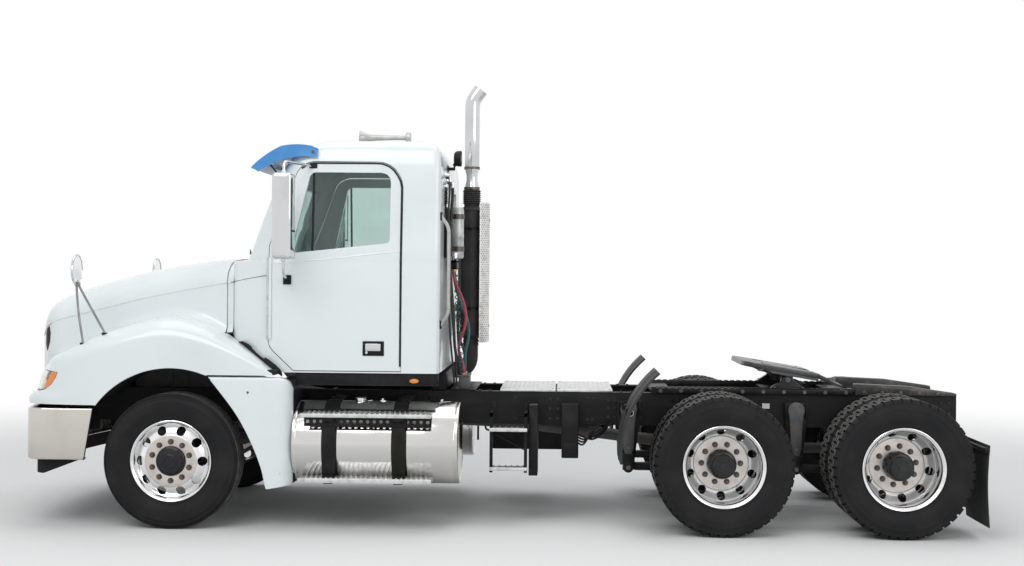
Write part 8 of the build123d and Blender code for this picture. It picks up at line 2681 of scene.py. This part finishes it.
# Fittings on the cab: skirts, visor, horn, lamp, handles and mirrors


def make_skirts():
    strip = block(1.990, 3.050, 0.982, 1.006, 1.058, 1.1495, 0.003)
    foot = block(1.990, 3.050, 0.960, 1.008, 1.056, 1.064, 0.003)
    beam = block(2.950, 3.060, -0.420, 0.420, 0.984, 1.120, 0.006)
    lips = [block(s, s + 0.010, 0.979, 1.008, 1.062, 1.146, 0.002) for s in (2.02, 2.53, 3.03)]
    rounded = [(2.870 + 0.034 * math.cos(turn), 1.094 + 0.016 * math.sin(turn))
               for turn in circle(33)]
    marker = plate(rounded, "Y", 1.006, 1.018, 0.003)
    seat = plate([(s + (s - 2.870) * 0.18, z + (z - 1.094) * 0.30) for s, z in rounded], "Y",
                 1.0045, 1.010, 0.002)
    assembly("cab_skirt_pair", [(gather(both(gather(strip, foot, *lips)), beam), BLACK),
                                (both(marker), AMBER), (both(seat), BLACK_GLOSS)],
             "chassis", ("cab_skirts",), 32)


make_skirts()

VISOR_HALF = 0.968


def make_visor():
    """Visor sheet: curved hood over the windshield, with rounded cheeks."""
    top = arc_through((1.640, 2.668), (1.740, 2.754), (1.863, 2.826), 16)
    top += arc_through((1.863, 2.826), (1.970, 2.838), (2.130, 2.817), 8)[1:]
    low = arc_through((2.130, 2.748), (1.905, 2.736), (1.690, 2.638), 14)
    outline = top + low
    inner_top = [(s + (0.006 if s < 1.70 else 0.0), z - 0.009) for s, z in top]
    room = [(1.624, 2.648)] + inner_top[1:] + [(2.160, 2.804), (2.160, 2.500), (1.624, 2.500)]
    sheet = plate(outline, "Y", -VISOR_HALF, VISOR_HALF, 0)
    hollow = plate(room, "Y", -VISOR_HALF + 0.009, VISOR_HALF - 0.009, 0)
    shell = carved(sheet, ("DIFFERENCE", hollow), solver="EXACT")
    shell = carved(shell, ("DIFFERENCE", cab_skin(-0.002)))
    hem = [rod([(s, side * (VISOR_HALF - 0.0045), z) for s, z in top[:-1]], 0.0052, 8)
           for side in (-1, 1)]
    front = rod([(1.6425, y, 2.666) for y in spread(-0.963, 0.963, 8)], 0.0055, 8)
    screws = both(disc_bar(0.012, VISOR_HALF - 0.002, VISOR_HALF + 0.006, (at(2.100), 0, 2.786),
                           "Y", 20, 0.002))
    stays = [rod([(1.710, y, 2.716), (front_s(y, 2.62) - 0.004, y, 2.620)], 0.006, 8)
             for y in (-0.62, 0.0, 0.62)]
    assembly("sun_visor", [(shell, BLUE), (gather(*hem, front), BLUE), (screws, NUT_STEEL),
                           (gather(*stays), BLACK)],
             "chassis", ("visor",), 32)


make_visor()


def make_horn():
    bell = [(0.041, -2.3745), (0.054, -2.3745), (0.0545, -2.378), (0.048, -2.392),
            (0.038, -2.412), (0.029, -2.440), (0.024, -2.490), (0.021, -2.560), (0.0185, -2.640),
            (0.018, -2.734), (0.040, -2.736), (0.043, -2.740), (0.043, -2.768), (0.038, -2.773),
            (0.0001, -2.773)]
    inside = [(0.0001, -2.560), (0.010, -2.540), (0.016, -2.480), (0.023, -2.430),
              (0.034, -2.396), (0.041, -2.3745)]
    body = spin(inside + bell[1:], (at(0), 0.450, 2.942), "X", 48)
    feet = []
    for s in (2.400, 2.754):
        feet.append(block(s - 0.006, s + 0.006, 0.436, 0.464, 2.886, 2.920, 0.003))
        feet.append(block(s - 0.016, s + 0.016, 0.430, 0.470, 2.8822, 2.890, 0.002))
    assembly("air_horn", [(body, HORN_PAINT), (gather(*feet), CHROME)],
             "chassis", ("horn",), 40)


make_horn()


def make_work_light():
    place = (at(3.098), 0.300, 2.795)
    shell = spin([(0.0001, 0.0), (0.034, 0.0), (0.052, -0.008), (0.060, -0.024),
                  (0.062, -0.040), (0.062, -0.058), (0.058, -0.060), (0.056, -0.054),
                  (0.0001, -0.050)], place, "X", 40)
    lens = spin([(0.0001, -0.058), (0.030, -0.0575), (0.055, -0.054), (0.056, -0.052),
                 (0.0001, -0.052)], place, "X", 40)
    stem = block(BACK_WALL_S, 3.108, 0.288, 0.312, 2.702, 2.726, 0.005)
    stay = gather(block(3.096, 3.108, 0.286, 0.314, 2.704, 2.790, 0.004),
                  disc_bar(0.014, 0.280, 0.320, (at(3.104), 0, 2.745), "Y", 20, 0.002))
    foot = block(BACK_WALL_S, 3.058, 0.266, 0.334, 2.690, 2.740, 0.003)
    assembly("rear_work_light", [(shell, BLACK), (lens, LAMP_GLOW), (gather(stem, stay, foot),
                                                                     BLACK)],
             "chassis", ("work_light",), 40)


make_work_light()


def make_grab_handles():
    y, out = 0.925, 3.112
    bar = bent_pipe([(3.052, y, 2.315), (out, y, 2.236), (out, y, 1.588), (3.052, y, 1.509)],
                    0.045, 0.0135, 20, steps=8)
    pads = [gather(block(BACK_WALL_S, 3.060, y - 0.022, y + 0.022, z - 0.032, z + 0.032,
                         0.004),
                   bolt((at(3.060), y, z + 0.022), "X", 0.006, 0.004, -1),
                   bolt((at(3.060), y, z - 0.022), "X", 0.006, 0.004, -1))
            for z in (2.315, 1.509)]
    assembly("grab_handle_pair", [(both(bar), RUBBER_GRIP), (both(gather(*pads)), BLACK)],
             "chassis", ("grab_handles",), 40)


make_grab_handles()

MIRROR_Y = 1.290
MIRROR_BOX = (1.874, 2.018, 1.195, 1.385, 1.984, 2.603)


def door_mirror():
    s0, s1, y0, y1, z0, z1 = MIRROR_BOX
    middle = (s0 + s1) / 2
    head = soft_box(s0, s1 - 0.010, y0, y1, z0, z1, 0.030, 6)
    rim_part = soft_box(s1 - 0.050, s1, y0, y1, z0, z1, 0.022, 4)
    pocket = block(s1 - 0.012, s1 + 0.05, y0 + 0.010, y1 - 0.010, z0 + 0.012, z1 - 0.012, 0)
    rim_part = carved(rim_part, ("DIFFERENCE", pocket), solver="EXACT")
    flat = block(s1 - 0.012, s1 - 0.006, y0 + 0.013, y1 - 0.013, 2.195, z1 - 0.016, 0.002)
    rows = []
    for z in spread(z0 + 0.016, 2.180, 8):
        row = []
        for y in spread(y0 + 0.013, y1 - 0.013, 8):
            u = (y - MIRROR_Y) / 0.082
            v = (z - 2.090) / 0.090
            row.append((at(s1 - 0.010 + 0.006 * (1 - 0.5 * (u * u + v * v))), y, z))
        rows.append(row)
    convex = solid_skin("convex_blank", skin(rows), 0.003)
    divide = block(s1 - 0.012, s1 - 0.002, y0 + 0.010, y1 - 0.010, 2.181, 2.193, 0.002)
    upper = bent_pipe([(middle, MIRROR_Y, z1 - 0.013), (middle, MIRROR_Y, 2.690),
                       (2.091, 0.944, 2.682)], 0.045, 0.0105, 16, steps=8)
    lower = bent_pipe([(middle, MIRROR_Y, z0 + 0.016), (middle, MIRROR_Y, 1.880),
                       (middle - 0.021, 1.030, 1.835)], 0.055, 0.0105, 16, steps=8)
    foot = gather(block(1.895, 1.955, 1.0205, 1.032, 1.800, 1.870, 0.004),
                  disc_bar(0.018, 1.026, 1.048, (at(1.925), 0, 1.835), "Y", 24, 0.003))
    top_foot = block(2.070, 2.130, 0.938, 0.958, 2.664, 2.700, 0.004)
    swivels = [disc_bar(0.017, z, z + 0.030, (at(middle), MIRROR_Y, 0), "Z", 24, 0.004)
               for z in (z0 - 0.022, z1 - 0.008)]
    return [(head, CHROME), (rim_part, CHROME), (gather(flat, convex), MIRROR),
            (divide, BLACK), (gather(upper, lower, *swivels), CHROME),
            (gather(foot, top_foot), BLACK)]


def make_door_mirrors():
    left = door_mirror()
    for side in (1, -1):
        name = side_name(side)
        layers = [(sided(part, side), finish) for part, finish in left]
        assembly(f"door_mirror_{name}", layers, f"door_{name}", (f"mirror_{name}",), 35)


make_door_mirrors()


# Cabin: dashboard, steering wheel and seats

STEER_PLACE = (2.035, 0.480, 1.865)
STEER_R = 0.225


def steering_wheel():
    s, y, z = STEER_PLACE
    rim_part = spin([(STEER_R + 0.0145 * math.cos(turn), 0.0145 * math.sin(turn))
                     for turn in circle(17)], (0, 0, 0), "Z", 64, closed=True)
    hub = disc_bar(0.060, -0.030, 0.010, (0, 0, 0), "Z", 36, 0.010)
    spokes = []
    for turn in (math.radians(20), math.radians(160), math.radians(270)):
        route = [(*polar(0.050, turn), -0.012), (*polar(0.130, turn), -0.008),
                 (*polar(0.220, turn), 0.0)]
        spokes.append(pipe(route, 0.013, 12))
    turned = (Matrix.Translation((at(s), y, z)) @ Matrix.Rotation(math.radians(-40), 4, "Y")
              @ Matrix.Rotation(math.radians(-90), 4, "Z"))
    return moved(gather(rim_part, hub, *spokes), turned)


def make_dashboard():
    lower = [(1.486, 1.405), (1.486, 1.826), (1.560, 1.856), (1.640, 1.868), (1.720, 1.864),
             (1.785, 1.850), (1.830, 1.815), (1.848, 1.780), (1.838, 1.700), (1.820, 1.560),
             (1.760, 1.405)]
    desk = plate(lower, "Y", -0.885, 0.885, 0.010)
    inside = cab_skin(0.066)
    desk = carved(desk, ("INTERSECT", inside))
    cluster = plate([(1.700, 1.856), (1.730, 1.905), (1.800, 1.900), (1.862, 1.812),
                     (1.850, 1.700), (1.800, 1.640), (1.700, 1.640)], "Y", 0.270, 0.690, 0.014)
    panel = block(1.846, 1.858, -0.240, 0.230, 1.600, 1.770, 0.006)
    dials = [disc_bar(0.036, -0.002, 0.006, (at(1.861), y, 1.755), "X", 28, 0.002)
             for y in (0.370, 0.480, 0.590)]
    vents = [block(1.848, 1.862, y - 0.050, y + 0.050, z - 0.026, z + 0.026, 0.004)
             for y, z in ((-0.140, 1.735), (0.120, 1.735), (-0.700, 1.740))]
    knobs = [disc_bar(0.012, -0.006, 0.010, (at(1.862), y, 1.650), "X", 16, 0.003)
             for y in spread(-0.18, 0.17, 6)]
    wheel_y = STEER_PLACE[1]
    column = flowing_pipe([(1.800, wheel_y, 1.700), (1.900, wheel_y, 1.770),
                           (2.026, wheel_y, 1.858)], 0.030, 24)
    shroud = soft_box(1.860, 1.960, 0.430, 0.530, 1.720, 1.815, 0.022, 4)
    stalks = [rod([(1.945, wheel_y + side * 0.045, 1.800),
                   (1.985, wheel_y + side * 0.150, 1.832)], 0.006, 8) for side in (-1, 1)]
    assembly("cab_dashboard", [
        (gather(desk, cluster), CABIN_GREY), (gather(panel, *knobs), LINER),
        (gather(*dials), LAMP_BOWL), (gather(*vents), LINER), (gather(column, shroud), LINER),
        (steering_wheel(), LINER), (gather(*stalks), LINER)],
        "chassis", ("dashboard",), 35)


make_dashboard()


def soft_form(half_a, half_b, depth, channels, crown):
    """A crowned pad in its own axes: a across, b along, and depth through. Sewn channels
    run along b, the sides pull in between the corners, and the faces swell."""
    form = bmesh.new()
    bmesh.ops.create_cube(form, size=2.0)
    bmesh.ops.subdivide_edges(form, edges=form.edges[:], cuts=31, use_grid_fill=True)
    for vert in form.verts:
        u, v, w = vert.co
        pull = 1 - 0.035 * (1 - v * v) if abs(u) > 0.9 else 1
        pull_b = 1 - 0.03 * (1 - u * u) if abs(v) > 0.9 else 1
        round_u = math.copysign(abs(u) ** 0.92, u)
        round_v = math.copysign(abs(v) ** 0.92, v)
        edge = (1 - abs(u) ** 5) * (1 - abs(v) ** 5)
        height = depth * w * (0.52 + 0.48 * edge ** 0.35) * (1 + crown * edge)
        if w > 0:
            for channel in channels:
                height -= 0.012 * math.exp(-((u - channel) / 0.035) ** 2) * min(1, edge * 4)
        vert.co = Vector((round_u * half_a * pull, round_v * half_b * pull_b, height))
    return from_bmesh(form)


def piping(half_a, half_b, height):
    """Cord sewn round the edge of a pad's upper face."""
    route = []
    for turn in circle(64):
        u = math.copysign(abs(math.cos(turn)) ** 0.35, math.cos(turn))
        v = math.copysign(abs(math.sin(turn)) ** 0.35, math.sin(turn))
        route.append((u * half_a * 0.985, v * half_b * 0.985, height))
    return loop_pipe(route, 0.006)


SEAT_Y = 0.480


def seat_pads():
    """Cushion, backrest and head rest of one seat, with their piping."""
    across = Matrix(((0, 1, 0, 0), (1, 0, 0, 0), (0, 0, -1, 0), (0, 0, 0, 1)))
    flip = Matrix.Scale(-1, 4, Vector((0, 0, 1)))
    base = flip @ across
    seat_at = Matrix.Translation((at(2.580), SEAT_Y, 1.628))
    pads = [moved(soft_form(0.238, 0.240, 0.052, (-0.52, 0.52), 0.12), seat_at @ base)]
    cords = [moved(piping(0.240, 0.242, 0.030), seat_at @ base)]
    lean = math.atan2(2.907 - 2.825, 2.290 - 1.650)
    back_at = (Matrix.Translation((at(2.866), SEAT_Y, 1.965))
               @ Matrix.Rotation(math.radians(90) - lean, 4, "Y"))
    pads.append(moved(soft_form(0.222, 0.300, 0.052, (-0.5, 0.5), 0.10), back_at @ base))
    cords.append(moved(piping(0.224, 0.302, 0.028), back_at @ base))
    rest_at = (Matrix.Translation((at(2.908), SEAT_Y, 2.362))
               @ Matrix.Rotation(math.radians(90) - lean * 0.3, 4, "Y"))
    pads.append(moved(soft_form(0.124, 0.072, 0.040, (), 0.10), rest_at @ base))
    return gather(*pads), gather(*cords)


def seat_frame():
    """Pedestal with its folds, pan, back shell, the head rest's rods and the lever."""
    pedestal = block(2.430, 2.750, 0.320, 0.640, 1.2105, 1.500, 0.020)
    folds = [block(2.424, 2.756, 0.314, 0.646, z, z + 0.012, 0.003)
             for z in (1.270, 1.310, 1.350, 1.390, 1.430)]
    pan = block(2.345, 2.815, 0.262, 0.698, 1.500, 1.562, 0.016)
    shell = plate([(2.850, 1.660), (2.886, 1.660), (2.938, 2.260), (2.906, 2.260)], "Y", 0.280,
                  0.680, 0.012)
    rods = [rod([(2.905, SEAT_Y + side * 0.055, 2.240),
                 (2.910, SEAT_Y + side * 0.055, 2.310)], 0.007, 10) for side in (-1, 1)]
    lever = rod([(2.430, 0.715, 1.535), (2.400, 0.722, 1.530)], 0.008, 10)
    return gather(pedestal, *folds, pan, shell, *rods, lever)


def make_seats():
    pads, cords = seat_pads()
    for side in (1, -1):
        name = side_name(side)
        soft = assembly(f"seat_pads_{name}", [(sided(pads, side), SEAT),
                                              (sided(cords, side), SEAT_CORD)],
                        "chassis", ("seats",) if side > 0 else (), 60)
    assembly("seat_frames", [(both(seat_frame()), SEAT_FRAME_FINISH)], "chassis",
             (), 35)


make_seats()


# Remaining pieces that keep their CAD form

repaint("frame_rails", RAIL_FINISH)
repaint("crossmembers", RAIL_FINISH)
repaint("fender_liners", LINER)
for number_side in ("left", "right"):
    repaint(f"knuckle_{number_side}", IRON)
repaint("tie_rod", IRON)


# Floor, backdrop, lights


def soft_light(name, place, target, size, power):
    data = bpy.data.lights.new(name, "AREA")
    data.shape = "RECTANGLE"
    data.size, data.size_y = size
    data.energy = power
    lamp = bpy.data.objects.new(name, data)
    lamp.location = place
    lamp.rotation_euler = (Vector(target) - Vector(place)).to_track_quat("-Z", "Y").to_euler()
    bpy.context.scene.collection.objects.link(lamp)


FLOOR_COLOUR = (0.80, 0.80, 0.79, 1)
FLOOR_NEAR = 4.5
FLOOR_FAR = 12.0
FLOOR_HALF = 60


def seen_directly(nodes, links):
    """1 for the camera's own rays and for those by way of metal or glass."""
    path = nodes.new("ShaderNodeLightPath")
    total = path.outputs["Is Camera Ray"]
    for name in ("Is Glossy Ray", "Is Transmission Ray"):
        either = nodes.new("ShaderNodeMath")
        either.operation = "MAXIMUM"
        links.new(total, either.inputs[0])
        links.new(path.outputs[name], either.inputs[1])
        total = either.outputs["Value"]
    return total


def make_floor():
    material, nodes, links, shader = node_material("studio_floor")
    shader.inputs["Base Color"].default_value = FLOOR_COLOUR
    shader.inputs["Roughness"].default_value = 0.9
    white = nodes.new("ShaderNodeEmission")
    white.inputs["Color"].default_value = (1, 1, 1, 1)
    white.inputs["Strength"].default_value = 1.0
    place = nodes.new("ShaderNodeTexCoord")
    length = nodes.new("ShaderNodeVectorMath")
    length.operation = "LENGTH"
    links.new(place.outputs["Object"], length.inputs[0])
    far = nodes.new("ShaderNodeMapRange")
    far.interpolation_type = "SMOOTHSTEP"
    far.inputs["From Min"].default_value = FLOOR_NEAR
    far.inputs["From Max"].default_value = FLOOR_FAR
    links.new(length.outputs["Value"], far.inputs["Value"])
    seen = nodes.new("ShaderNodeMath")
    seen.operation = "MULTIPLY"
    links.new(far.outputs["Result"], seen.inputs[0])
    links.new(seen_directly(nodes, links), seen.inputs[1])
    mix = nodes.new("ShaderNodeMixShader")
    links.new(seen.outputs["Value"], mix.inputs["Fac"])
    links.new(shader.outputs[0], mix.inputs[1])
    links.new(white.outputs[0], mix.inputs[2])
    links.new(mix.outputs["Shader"], nodes["Material Output"].inputs["Surface"])
    half = FLOOR_HALF
    points = [(-half, -half, 0), (half, -half, 0), (half, half, 0), (-half, half, 0)]
    floor = raw_object("studio_floor", (points, [(0, 1, 2, 3)]))
    floor.data.materials.append(material)


def make_world():
    world = bpy.data.worlds.new("studio")
    bpy.context.scene.world = world
    world.use_nodes = True
    nodes, links = world.node_tree.nodes, world.node_tree.links
    dim = nodes["Background"]
    dim.inputs["Color"].default_value = (0.92, 0.96, 1.0, 1)
    dim.inputs["Strength"].default_value = 0.50
    bright = nodes.new("ShaderNodeBackground")
    bright.inputs["Color"].default_value = (1, 1, 1, 1)
    bright.inputs["Strength"].default_value = 1.0
    mix = nodes.new("ShaderNodeMixShader")
    links.new(seen_directly(nodes, links), mix.inputs["Fac"])
    links.new(dim.outputs["Background"], mix.inputs[1])
    links.new(bright.outputs["Background"], mix.inputs[2])
    links.new(mix.outputs["Shader"], nodes["World Output"].inputs["Surface"])


make_floor()
make_world()
soft_light("key", (3.5, 9.0, 9.5), (0, 0, 1.2), (9.0, 6.0), 520)
soft_light("fill", (-7.0, 8.0, 5.0), (-0.5, 0, 1.0), (6.0, 5.0), 200)
soft_light("top", (0.0, -1.0, 11.0), (0, 0, 0), (12.0, 8.0), 380)
bpy.context.scene.view_settings.view_transform = "Standard"
